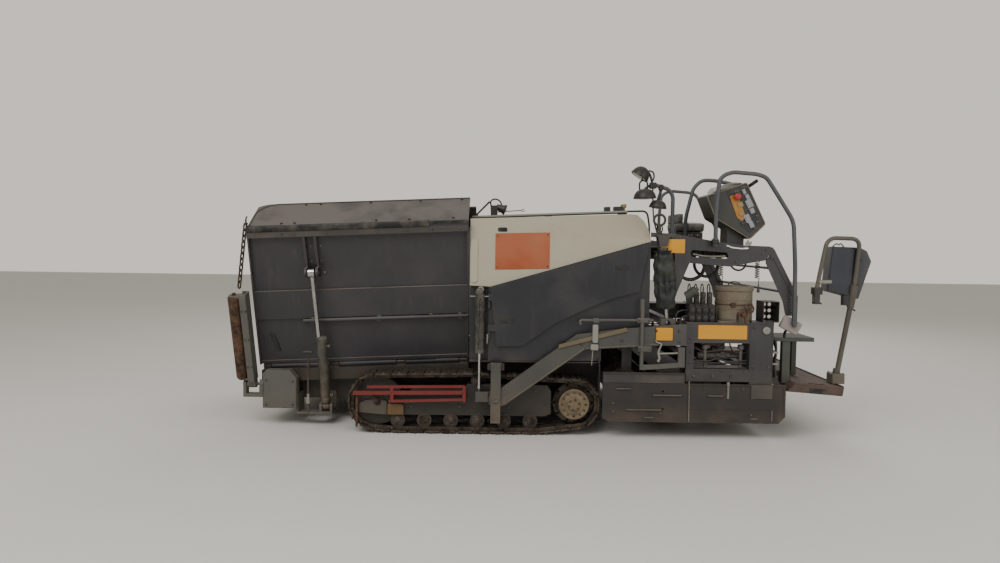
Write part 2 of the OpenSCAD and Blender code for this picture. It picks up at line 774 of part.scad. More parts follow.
module side_door() {
    color([0.19, 0.19, 0.21]) difference() {
        union() {
            side_plate(door_outline, -door_y - door_t, -door_y);
            for (z = door_knuckles) {
                translate([door_hinge_x, -door_y - 16, z]) cylinder(h = 60, r = 15);
                bar([door_hinge_x, -door_y - door_t, z], [-500, -door_y - 4, z + 60]);
            }
        }
        for (z = door_knuckles)
            translate([door_hinge_x, -door_y - 16, z - 80]) cylinder(h = 220, r = 8 + run);
        for (z = door_knuckles)
            translate([door_hinge_x, -door_y - 16, z - 78]) cylinder(h = 70, r = 24);
    }
}

module engine_block() {
    // Engine and radiator at the front, pumps behind them
    color([0.3, 0.3, 0.3]) {
        bar([-735, -360, tunnel_top + gap], [120, 360, 1720]);
        bar([119, -250, tunnel_top + gap], [400, 250, 1350]);
    }
}

rack_y = body_half - 370;

module hood_rack() {
    // A slim stowed bar, its blocks, a folded bracket and a small work lamp
    z0 = hood_top(-600) + gap;
    color([0.3, 0.3, 0.28]) {
        raked_from_hood() {
            bar([0, -rack_y - 60, 12], [1480, -rack_y + 60, 34]);
            for (x = [60, 700, 1400]) bar([x, -rack_y - 50, gap], [x + 60, -rack_y + 50, 13]);
            bar([1270, -rack_y - 50, 33], [1320, -rack_y + 50, 78]);
            bar([1360, -rack_y - 50, 33], [1440, -rack_y + 50, 78]);
            bar([180, -rack_y - 30, 33], [245, -rack_y + 30, 130]);
            translate([40, -rack_y, 33]) rotate([0, 47, 0]) bar([-14, -40, 0], [0, 40, 190]);
            bar([20, -rack_y - 40, 33], [60, -rack_y + 40, 45]);
            translate([236, -rack_y, 118]) rotate([0, 112, 0]) cylinder(h = 90, r1 = 26, r2 = 46);
        }
    }
}

module raked_from_hood() {
    translate([body_front, 0, hood_top(body_front)]) rotate([0, -rake, 0]) children();
}

// Operator's platform

beam_y = body_half;
beam_t = 20;
deck_t = 12;
rib_t = 16;

module platform() {
    color([0.24, 0.24, 0.25]) {
        both() {
            difference() {
                side_plate([
                    [1100, 1330], [1125, 1330], [1235, 1606], [1600, 1578],
                    [1930, 1640], [1965, 1700], [1965, 1768], [1700, 1775],
                    [1534, 1796], [1078, 1872], [body_rear + gap, 1880],
                    [body_rear + gap, 1838], [1100, 1838]
                ], -beam_y, -beam_y + beam_t);
                side_plate([
                    [1250, 1662], [1575, 1650], [1590, 1668], [1575, 1706],
                    [1260, 1726], [1240, 1700]
                ], -beam_y - 1, -beam_y + beam_t + 1);
            }
        }
        // Ears that hang the lift cylinders
        both() {
            for (y = [-lift_y - 50, -lift_y + 35])
                side_plate([
                    [lift_top[0] - 36, lift_top[1] - 34], [lift_top[0] + 36, lift_top[1] - 34],
                    [lift_top[0] + 54, 1842], [lift_top[0] - 54, 1842]
                ], y, y + 15);
            bar([lift_top[0] - 54, -lift_y - 50, 1836], [lift_top[0] + 54, -lift_y + 50, 1852]);
            y_cyl(lift_top[0], -lift_y - 52, lift_top[1], 18, 104);
        }
        // Deck, narrower beside the lift cylinders, and its cross beams
        wide = beam_y - beam_t + 1;
        narrow = lift_y - 65;
        bar([body_rear - 1 + gap, -narrow, deck_z - deck_t], [1063, narrow, deck_z]);
        bar([1062, -wide, deck_z - deck_t], [deck_rear, wide, deck_z]);
        for (b = [[1000, narrow], [1178, wide], [1592, wide], [1850, wide]])
            bar([b[0], -b[1], deck_z - 90], [b[0] + rib_t, b[1], deck_z - deck_t + 1]);
    }
}

module console() {
    // A tilted control box on a short pedestal
    outline = [[1383, 2223], [1747, 2349], [1933, 1970], [1793, 1828], [1467, 2019]];
    color([0.25, 0.25, 0.27]) {
        side_plate(outline, -body_half + 40, -body_half + 390);
        bar([1600, -body_half + 110, deck_z + gap], [1760, -body_half + 320, 1960]);
    }
}

module seat_box() {
    color([0.3, 0.3, 0.3]) {
        bar([1290, -400, deck_z + gap], [1560, 20, 1905]);
        bar([1280, -420, 1904], [1575, 40, 2010]);
        bar([1290, -400, 2009], [1350, 20, 2080]);
    }
}

lamp_y = 250 - body_half;

module lamp_mast() {
    color([0.35, 0.34, 0.32]) {
        pipe([[1127, lamp_y, deck_z + gap], [1127, lamp_y, 2226], [1089, lamp_y, 2290], [919, lamp_y, 2346]], 17);
        bar([1070, lamp_y - 50, deck_z + gap], [1190, lamp_y + 50, deck_z + 14]);
        translate([1127, lamp_y, deck_z + gap]) cylinder(h = 190, r = 30);
        // Lamp bowls: place along the machine, centre height, radius, turn
        for (b = [[905, 2388, 92, 180], [860, 2232, 92, 0], [985, 2130, 70, 0]])
            translate([b[0], lamp_y, b[1]]) rotate([0, b[3], 0]) {
                cylinder(h = 62, r1 = b[2], r2 = b[2] * 0.55);
                translate([0, 0, -8]) cylinder(h = 9, r = b[2]);
            }
        // Flat brackets that hold the bowls
        bar([850, lamp_y - 8, 2285], [872, lamp_y + 8, 2345]);
        bar([978, lamp_y - 8, 2185], [996, lamp_y + 8, 2322]);
        bar([990, lamp_y - 6, 2196], [1127, lamp_y + 6, 2212]);
    }
}

module handrails() {
    y = half_w - 50;
    color([0.55, 0.55, 0.52]) {
        both() {
            pipe([
                [1451, -y, 1815], [1451, -y, 2112], [1473, -y, 2361], [1520, -y, rail_top - 24],
                [1595, -y, rail_top], [1814, -y, rail_top - 16], [1895, -y, rail_top - 44],
                [2007, -y, 2219], [2152, -y, 1994], [2179, -y, 1588], [2188, -y, 1030]
            ], rail_r);
            // Clamp on the platform's side beam and stay to the boarding frame
            bar([1425, -y - 22, 1760], [1477, -beam_y - gap, 1830]);
            bar([2168, -y - 14, 1062], [2206, -beam_y + 8 - gap, 1092]);
        }
        pipe([
            [1363, -450, deck_z + gap], [1363, -450, 2037], [1433, -450, 2340],
            [1514, -450, rail_top - 10], [1640, -450, rail_top - 10], [1826, -450, 2385],
            [1850, -450, 2300], [1850, -450, deck_z + gap]
        ], rail_r);
    }
}

module boarding_ladder() {
    y = beam_y - 20;
    color([0.32, 0.32, 0.32]) both() {
        side_plate([
            [1965 + gap, 1690], [1965 + gap, 1768], [2010, 1740], [2236, 1313], [2236, 1050],
            [2196, 1050], [2196, 1300], [2000, 1660]
        ], -y - 12, -y + 12);
        // Lug on the inner side of the beam's end
        bar([deck_rear + gap, -beam_y + beam_t + gap, 1690], [2002, -beam_y + 56, 1760]);
        bar([1965 + gap, -y + 11, 1690], [2002, -beam_y + 55, 1760]);
    }
}

// Tow points and tow arms

tow_post_in = half_w - 12;
arm_out = half_w - 22;
arm_in = arm_out - arm_t;

module tow_posts() {
    color([0.4, 0.38, 0.35]) both() {
        // Outer strap of the guide and its foot on the track's frame
        bar([tow_x - 45, -half_w, 128], [tow_x + 45, -half_w + 16, 677]);
        bar([tow_x - 45, -half_w + 15, 128], [tow_x, -frame_out - gap, 165]);
    }
}

level_x = -670;
level_y = half_w - 68;
level_top = 1331;
level_low = 760;

module level_barrels() {
    color([0.36, 0.36, 0.34]) both() difference() {
        union() {
            y_cyl(level_x - 6, -level_y - 40, level_top - 8, 34, 80);
            translate([level_x, -level_y, level_low]) cylinder(h = level_top - level_low - 30, r = 42);
            bar([level_x - 40, -level_y + 30, 772], [level_x + 40, -body_half + 62 - gap, 832]);
            bar([level_x - 40, -level_y + 30, 1240], [level_x + 40, -body_half + 62 - gap, 1300]);
        }
        translate([level_x, -level_y, level_low - 10]) cylinder(h = 340, r = 12 + run);
    }
}

module tow_points() {
    // Block behind the strap, the pin through the arm's eye and the level cylinder's rod
    color([0.45, 0.42, 0.38]) both() {
        bar([tow_x - 70, -arm_in + 6, tow_z - 60], [tow_x + 50, -track_outer - 10, tow_z + 60]);
        bar([level_x - 30, -level_y - 26, tow_z - 30], [tow_x - 69, -track_outer - 10, tow_z + 60]);
        y_cyl(tow_x, -arm_out - 1, tow_z, tow_pin_r, arm_t + 9);
        translate([level_x, -level_y, tow_z + 50]) cylinder(h = level_low + 190 - tow_z - 50, r = 12);
    }
}

lift_slot_up = 56;
lift_slot_low = 56;
lift_pin_r = 20;

module tow_arms() {
    color([0.42, 0.4, 0.36]) both() difference() {
        union() {
            side_plate([
                [-560, 310], [-500, 270], [-420, 300], [288, 811], [1003, 857], [1206 - gap, 857],
                [1206 - gap, 1052], [1003, 1038], [600, 1000], [216, 946], [-530, 400]
            ], -arm_out, -arm_in);
            y_cyl(tow_x, -arm_out, tow_z, 62, arm_t);
            // Shelf and the two cheeks with the slot of the lift cylinder's pin
            bar([960, -arm_in - 1, 870], [1206 - gap, -lift_y + 50, 900]);
            bar([1150, -arm_in - 1, 870], [1206 - gap, -lift_y + 50, 1052]);
            for (y = [-lift_y - 47, -lift_y + 30])
                side_plate([[966, 898], [1130, 898], [1112, 1096], [984, 1096]], y, y + 16);
        }
        y_cyl(tow_x, -arm_out - 1, tow_z, tow_pin_r + run, arm_t + 2);
        // The slot lets the arm's front be raised and lowered under the hanging pin
        for (z = [-lift_slot_low, lift_slot_up])
            y_cyl(lift_low[0], -lift_y - 50, lift_low[1] + z, lift_pin_r + 4, 100);
        bar([lift_low[0] - lift_pin_r - 4, -lift_y - 50, lift_low[1] - lift_slot_low],
            [lift_low[0] + lift_pin_r + 4, -lift_y + 50, lift_low[1] + lift_slot_up]);
    }
}

lift_y = body_half - 20;
lift_top = [990, 1790];
lift_low = [1048, 1000];
lift_l = norm(lift_top - lift_low);
lift_tilt = atan2(lift_low[0] - lift_top[0], lift_top[1] - lift_low[1]);

// Hanging from its upper pin: local -Z runs down to the rod's eye
module lift_place(side) {
    translate([lift_top[0], -side * lift_y, lift_top[1]]) rotate([0, -lift_tilt, 0]) children();
}

module lift_barrels() {
    color([0.14, 0.17, 0.15]) for (side = [1, -1]) lift_place(side) difference() {
        union() {
            translate([0, 0, -610]) cylinder(h = 570, r = 52);
            y_cyl(0, -30, 0, 36, 60);
            translate([0, 0, -60]) cylinder(h = 50, r = 30);
        }
        translate([0, 0, -611]) cylinder(h = 470, r = 18 + run);
        y_cyl(0, -31, 0, 18 + run, 62);
    }
}

module lift_rods() {
    color([0.78, 0.78, 0.77]) for (side = [1, -1]) lift_place(side) {
        translate([0, 0, -lift_l + 24]) cylinder(h = lift_l - 24 - 320, r = 18);
        y_cyl(0, -24, -lift_l, 34, 48);
        y_cyl(0, -46, -lift_l, lift_pin_r, 92);
    }
}

// Screed

plate_front = 905;
plate_rear = 1330;
screed_y = half_w - 55;
ext_front = 1345;
ext_rear = 1985;

module screed_plate() {
    color([0.3, 0.27, 0.25])
        side_plate([
            [plate_front - 30, screed_z + 60], [plate_front, screed_z], [plate_rear, screed_z],
            [plate_rear, screed_z + 22], [plate_front + 14, screed_z + 22], [plate_front - 12, screed_z + 66]
        ], -screed_y, screed_y);
}

module screed_frame() {
    z0 = screed_z + 22 + gap;
    color([0.22, 0.2, 0.2]) {
        // Main box beam and the front strike wall
        difference() {
            bar([plate_front + 60, -screed_y, z0 + 60], [plate_rear - 40, screed_y, 610]);
            bar([plate_front + 76, -screed_y + 16, z0 + 76], [plate_rear - 56, screed_y - 16, 594]);
        }
        bar([plate_front - 10, -screed_y, z0 + 46], [plate_front + 8, screed_y, 560]);
        for (y = [-screed_y, -600, 0, 600, screed_y - 20]) {
            bar([plate_front + 7, y, z0 + 60], [plate_front + 61, y + 20, 520]);
            bar([plate_front + 80, y, z0], [plate_rear - 60, y + 20, z0 + 61]);
        }
        // Sleeves that guide the extensions' tubes
        both() difference() {
            union() {
                for (z = guide_z) y_cyl(guide_x, -sleeve_out, z, 46, sleeve_l);
                bar([plate_rear - 41, -sleeve_out, 280], [guide_x - 20, -sleeve_out + sleeve_l, 560]);
            }
            for (z = guide_z) y_cyl(guide_x, -sleeve_out - 1, z, guide_r + run, sleeve_l + 2);
        }
    }
}

guide_x = 1420;
guide_r = 30;
guide_z = [330, 500];
sleeve_out = screed_y - 20;
sleeve_l = 160;

case_t = 8;
portal_out = -half_w + 30;
portal_in = -half_w + 240;

module screed_portals() {
    // Boxes over the screed's ends that take the arms, and a cross tube
    color([0.25, 0.25, 0.26]) {
        both() {
            // Sheet steel casings, open towards the middle
            difference() {
                union() {
                    bar([1206, portal_out, 888], [1783, portal_in, 1070]);
                    bar([1782, portal_out, 620], [1995, portal_in, 1078]);
                }
                bar([1206 + case_t, portal_out + case_t, 888 + case_t], [1784, portal_in + 1, 1070 - case_t]);
                bar([1782 + case_t, portal_out + case_t, 620 + case_t], [1995 - case_t, portal_in + 1, 1078 - case_t]);
            }
            bar([1206, portal_out, 610 + gap], [1278, portal_in, 889]);
            bar([1277, portal_out, 611], [1784, portal_out + 90, 645]);
        }
        bar([1230, portal_out + 1, 920], [1310, -portal_out - 1, 1000]);
    }
}

canister_y = half_w - 210;

module canister() {
    color([0.72, 0.66, 0.52]) {
        translate([1682, -canister_y, 1083]) cylinder(h = 280, r = 165, $fn = 64);
        translate([1682, -canister_y, 1360]) cylinder(h = 34, r = 176, $fn = 64);
        translate([1682, -canister_y, 1380]) cylinder(h = 26, r = 60);
        bar([1500, -half_w + 36, 1070 + gap], [1782, -canister_y + 150, 1084]);
    }
}

module valve_bank() {
    color([0.14, 0.14, 0.14]) {
        bar([1240, portal_out + 40, 1070 + gap], [1470, portal_in - 20, 1230]);
        for (x = [1260, 1320, 1380, 1440]) translate([x, portal_out + 115, 1229]) cylinder(h = 110, r = 22);
        // Perforated step on the side box
        translate([1898, portal_out + 5, 1078 + gap]) difference() {
            bar([0, 0, 0], [146, 190, 190]);
            bar([6, -1, 6], [140, 184, 184]);
            for (i = [0 : 2], j = [0 : 2])
                y_cyl(25 + i * 48, 160, 38 + j * 57, 17, 60, 24);
        }
    }
}

module extension() {
    color([0.24, 0.22, 0.21]) {
        union() {
            union() {
                // Sole, box beam and rear wall
                bar([ext_front + 150, -screed_y + gap, screed_z], [ext_rear, -70, screed_z + 24]);
                difference() {
                    bar([ext_front + 180, -screed_y + gap, screed_z + 23], [ext_front + 320, -70, 545]);
                    bar([ext_front + 194, -screed_y - 1, screed_z + 38], [ext_front + 306, -69, 531]);
                }
                bar([ext_rear - 30, -screed_y + gap, screed_z + 23], [ext_rear, -70, 480]);
                for (y = [-screed_y + gap, -640, -90])
                    bar([ext_front + 319, y, screed_z + 23], [ext_rear - 29, y + 20, 440]);
            }
        }
        // Guide tubes that run in the screed's sleeves, and their two brackets
        for (z = guide_z) y_cyl(guide_x, -screed_y + 5, z, guide_r, screed_y - 390);
        for (y = [-screed_y + gap, -410])
            bar([guide_x - 40, y, 284], [ext_front + 181, y + 14, 540]);
    }
}

module end_plate() {
    z1 = screed_z + end_h;
    color([0.2, 0.17, 0.16]) difference() {
        union() {
            side_plate([
                [end_front, screed_z + 34], [end_front + 60, screed_z + 1], [end_rear - 60, screed_z + 1],
                [end_rear, screed_z + 60], [end_rear, z1], [end_front, z1]
            ], -half_w, -half_w + end_t);
            bar([end_front, -half_w, z1 - 1], [1195, -half_w + 40, z1 + 96]);
            bar([end_front + 50, -half_w - 0, screed_z - 1], [end_rear - 60, -half_w + 40, screed_z + 16]);
            // Arms that hold it on the extension
            for (x = [ext_front + 200, ext_rear - 60])
                bar([x, -half_w + end_t - 1, 240], [x + 40, -screed_y, 420]);
        }
        for (x = [-1, 1], z = [-1, 1])
            y_cyl(bolt_x + x * bolt_dx / 2, -half_w - 1, bolt_z + z * bolt_dz / 2, bolt_r, end_t + 2);
    }
}

bolt_x = 1120;
bolt_z = 360;
bolt_dx = 240;
bolt_dz = 160;
bolt_r = 9;

module sensor_brackets() {
    // Flat bars on the arm's outer face, all within the transport width
    y0 = -half_w + 1;
    y1 = -arm_out - gap;
    color([0.5, 0.5, 0.47]) both() {
        bar([773, y0, 644], [829, y1, 1270]);
        bar([265, y0, 1064], [774, y1 - 2, 1092]);
        bar([828, y0, 645], [1140, y1, 700]);
        bar([1124, y0, 660], [1190, y1, 800]);
        bar([1150, y0, 799], [1190, y1, 880]);
        side_plate([[364, 1066], [380, 1066], [380, 860], [404, 750], [340, 750], [364, 860]], y0, y1 - 2);
    }
}

module walkway() {
    color([0.45, 0.35, 0.32]) {
        difference() {
            side_plate([[2123, 457], [2208, 535], [2640, 500], [2628, 419]], -half_w, half_w);
            side_plate([[2150, 430], [2154, 456], [2215, 520], [2626, 487], [2618, 400]], -half_w + 12, half_w - 12);
            for (s = [-1, 1])
                bar([2330, s * (half_w - 80), 300], [2480, s * (half_w - 20), 700]);
        }
        // Rails that carry it behind the screed
        both() for (y = [half_w - 250, 300])
            bar([ext_rear + 8, -y - 40, 560], [2230, -y + 40, 611]);
        both() for (y = [half_w - 250, 300]) {
            bar([1870, -y - 40, 560], [ext_rear + 9, -y + 40, 620 - gap]);
            bar([2150, -y - 40, 500], [2230, -y + 40, 561]);
        }
        bar([1870, -half_w + 210, 560], [1930, half_w - 210, 620 - gap]);
    }
}

module control_box() {
    y = half_w - 130;
    color([0.3, 0.33, 0.38]) {
        translate([0, 0, 1330]) linear_extrude(440) polygon([
            [2530, -y + 10], [2680, -y - 80], [2970, -y + 60], [2970, -y + 190],
            [2760, -y + 240], [2530, -y + 150]
        ]);
        // Post from the walkway and the rail over the box
        rod([2640, -y + 60, 512], [2733, -y + 60, 1331], 22);
        translate([2640, -y + 60, 505.2]) cylinder(h = 84, r = 60, $fn = 6);
        pipe([
            [2462, -y - 60, 1262], [2455, -y - 60, 1420], [2468, -y - 60, 1708],
            [2518, -y - 60, 1846], [2783, -y - 60, 1859], [2824, -y - 60, 1795],
            [2800, -y - 60, 1500], [2742, -y - 60, 1290]
        ], rail_r);
        bar([2440, -y - 84, 1262], [2500, -y - 29, 1400]);
        bar([2710, -y - 84, 1290], [2790, -y - 29, 1360]);
        bar([2440, -y - 31, 1340], [2525, -y + 20, 1400]);
    }
}

// Auger

auger_half = half_w - 190;
auger_tube_r = 40;
flight_pitch = 330;

// One flight: a helical ribbon as a closed skin of triangles
module flight(turns) {
    steps = 16;
    n = floor(turns * steps);
    t = 10;
    ring = [for (i = [0 : n])
        let (a = 360 * i / steps, y = i * flight_pitch / steps)
        [for (k = [[auger_tube_r - 10, -t / 2], [auger_r, -t / 2], [auger_r, t / 2], [auger_tube_r - 10, t / 2]])
            [k[0] * cos(a), y + k[1], k[0] * sin(a)]]];
    polyhedron(
        points = [for (r = ring, p = r) p],
        faces = concat(
            [[0, 1, 2, 3]],
            [for (i = [0 : n - 1], k = [0 : 3], h = [0, 1])
                let (a = i * 4 + k, b = i * 4 + (k + 1) % 4)
                h == 0 ? [a, a + 4, b + 4] : [a, b + 4, b]],
            [[n * 4 + 3, n * 4 + 2, n * 4 + 1, n * 4]]));
}

module auger() {
    color([0.36, 0.3, 0.26]) {
        // Flat-sided tube, so that the round journals stay true
        y_cyl(auger_x, -auger_half, auger_z, auger_tube_r, auger_half - 90, 12);
        y_cyl(auger_x, -auger_half - 40, auger_z, 18, auger_half, 32);
        translate([auger_x, -auger_half + 12, auger_z]) flight(2.75);
    }
}

module auger_frame() {
    side_z = 900;
    beam_end = half_w - 154;
    color([0.22, 0.22, 0.22]) {
        // Carrier beam over the conveyors' outlet, middle drive case and end bearings
        difference() {
            bar([main_rear + gap, -beam_end, 880], [main_rear + 100, beam_end, 985]);
            bar([main_rear + 10, -beam_end + 10, 890], [main_rear + 90, beam_end - 10, 975]);
        }
        difference() {
            union() {
                bar([auger_x - 70, -70, auger_z - 80], [auger_x + 70, 70, side_z]);
                both() bar([auger_x - 45, -auger_half - 36, auger_z - 50], [auger_x + 45, -auger_half - 12, side_z]);
            }
            y_cyl(auger_x, -auger_half - 60, auger_z, 18 + run, 2 * auger_half + 120, 32);
        }
        both() bar([main_rear + 99, -auger_half - 36, side_z - 20], [auger_x + 45, -auger_half - 12, 940]);
        bar([main_rear + 99, -70, side_z - 20], [auger_x + 70, 70, 960]);
        both() bar([main_rear + 40, -auger_half - 30, 984], [body_rear - 1 - skirt_t - gap, -auger_half, 1012]);
    }
}

// Hydraulic hoses that hang in a bow under the platform: radius of the hose, middle of the
// bow along the machine, distance from the centreline, height of its centre, radius of the bow
under_deck = deck_z - deck_t - gap;
hose_y = body_half - 150;
hose_bows = [
    [17, 1284, hose_y, 1586, 136],
    [14, 1446, hose_y - 60, 1590, 112],
    [9, 1718, hose_y + 20, 1615, 72]
];
function hose_route(b) = concat(
    [[b[1] - b[4], -b[2], under_deck], [b[1] - b[4], -b[2], under_deck - 40]],
    [for (a = [180 : 15 : 360]) [b[1] + b[4] * cos(a), -b[2] + 20 * sin(a), b[3] + b[4] * sin(a)]],
    [[b[1] + b[4], -b[2], under_deck - 40], [b[1] + b[4], -b[2], under_deck]]);

module hoses() {
    color([0.08, 0.08, 0.08]) for (b = hose_bows) swept(hose_route(b), b[0], 8);
}

main_frame();
tunnel_roof();
front_beam();
hopper_floor();
conveyor();
engine_block();
hood();
body_panels();
hood_rack();
lamp_mast();
platform();
console();
seat_box();
handrails();
boarding_ladder();
track();  // track_left
mirror([0, 1, 0]) track();  // track_right
track_frames();
sprockets();
track_guards();
tow_posts();
level_barrels();
auger_frame();
hoses();
wing();  // wing_left
mirror([0, 1, 0]) wing();  // wing_right
wing_barrel(1);  // wing_barrel_left
wing_barrel(-1);  // wing_barrel_right
wing_rod(1);  // wing_rod_left
wing_rod(-1);  // wing_rod_right
push_bracket();  // push_bracket_left
mirror([0, 1, 0]) push_bracket();  // push_bracket_right
push_roller();  // push_roller_left
mirror([0, 1, 0]) push_roller();  // push_roller_right
side_door();  // side_door_left
mirror([0, 1, 0]) side_door();  // side_door_right
tow_points();
auger();  // auger_left
mirror([0, 1, 0]) auger();  // auger_right
tow_arms();
screed_frame();
screed_plate();
screed_portals();
canister();
valve_bank();
extension();  // extension_left
mirror([0, 1, 0]) extension();  // extension_right
end_plate();  // end_plate_left
mirror([0, 1, 0]) end_plate();  // end_plate_right
lift_barrels();
lift_rods();
sensor_brackets();
walkway();
control_box();
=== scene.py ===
import math

import bpy
import numpy as np
from mathutils import Matrix, Vector
from mathutils.bvhtree import BVHTree


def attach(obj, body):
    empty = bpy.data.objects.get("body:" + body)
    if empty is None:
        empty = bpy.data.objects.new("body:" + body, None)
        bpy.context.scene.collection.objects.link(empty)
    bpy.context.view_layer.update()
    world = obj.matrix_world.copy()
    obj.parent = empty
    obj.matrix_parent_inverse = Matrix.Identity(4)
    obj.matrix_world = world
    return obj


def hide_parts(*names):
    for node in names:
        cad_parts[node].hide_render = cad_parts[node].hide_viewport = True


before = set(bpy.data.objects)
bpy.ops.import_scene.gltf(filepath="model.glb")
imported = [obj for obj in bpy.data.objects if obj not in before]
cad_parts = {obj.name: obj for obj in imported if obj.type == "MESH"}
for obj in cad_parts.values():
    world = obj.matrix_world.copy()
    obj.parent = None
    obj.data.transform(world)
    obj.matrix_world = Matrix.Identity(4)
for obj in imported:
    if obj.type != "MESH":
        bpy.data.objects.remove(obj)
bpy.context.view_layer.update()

dice = np.random.default_rng(11)
scene = bpy.context.scene
print("stage: frame loaded,", len(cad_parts), "nodes")

# Driving places of the machine, in metres and degrees; skin is the plane of the body's left side
paver = {
    "rake": 2.7, "halfWidth": 1.25, "bodyFront": -0.765, "hoodFrontHeight": 1.984, "skin": -1.1495,
    "wingRear": -0.781, "wingFront": -2.779, "hingeHalf": 0.8, "hingeHeight": 0.645,
    "wingTall": 1.386, "rimOut": 0.058, "leafWide": 0.41, "leafRise": 32.0, "axleHeight": 0.29,
    "sprocketX": 0.206,
}
rake = math.radians(paver["rake"])
lean = math.asin((paver["halfWidth"] - paver["rimOut"] - paver["hingeHalf"]) / paver["wingTall"])
sides = {"left": 1, "right": -1}      # 1 is the side towards -Y


# sRGB hex to linear light: c/12.92 below 0.04045, else ((c + 0.055) / 1.055) ^ 2.4
def linear(hexColour):
    c = np.array([int(hexColour[i:i + 2], 16) for i in (1, 3, 5)]) / 255
    return (*np.where(c <= 0.04045, c / 12.92, ((c + 0.055) / 1.055) ** 2.4).tolist(), 1.0)


# Adds one shader node with its settings and links, and gives one of its outputs
def addNode(tree, kind, settings=None, inputs=None, out=0):
    node = tree.nodes.new("ShaderNode" + kind)
    for name, value in (settings or {}).items():
        setattr(node, name, value)
    for name, value in (inputs or {}).items():
        if isinstance(value, bpy.types.NodeSocket):
            tree.links.new(value, node.inputs[name])
        else:
            node.inputs[name].default_value = value
    return node.outputs[out] if node.outputs else node


# An empty material and its node tree
def startMaterial(name):
    mat = bpy.data.materials.new(name)
    mat.use_nodes = True
    mat.node_tree.nodes.clear()
    return mat, mat.node_tree


times = {"operation": "MULTIPLY", "use_clamp": True}
plus = {"operation": "ADD", "use_clamp": True}
larger = {"operation": "MAXIMUM", "use_clamp": True}
colours = {"data_type": "RGBA"}
fitted = {"clamp": True}

# Sprayed two-coat machine enamel on steel, weathered: road dust in blotches and thin runs, dust
# lying on level faces, edges rubbed to primer and rust, mud splashed near the ground. Sizes are in
# millimetres: a blotch of dust, the width and length of a run, the grain of the spray (drawn coarse
# enough to show)
paintDefaults = {
    "dust": "#8f8674", "dustShare": 0.3, "rust": "#6a3f26", "rustShare": 0.2, "bare": "#8d8a84",
    "edge": 0.6, "mud": "#75644f", "mudTop": 0.75, "mudShare": 0.7, "rough": 0.45,
    "blotchSize": 450, "runWidth": 55, "runLength": 900, "grainSize": 26, "streak": 0.3,
    "metallic": 0.0, "bump": 0.2, "round": 0.004, "topDust": 0.5, "tone": 0.35,
}


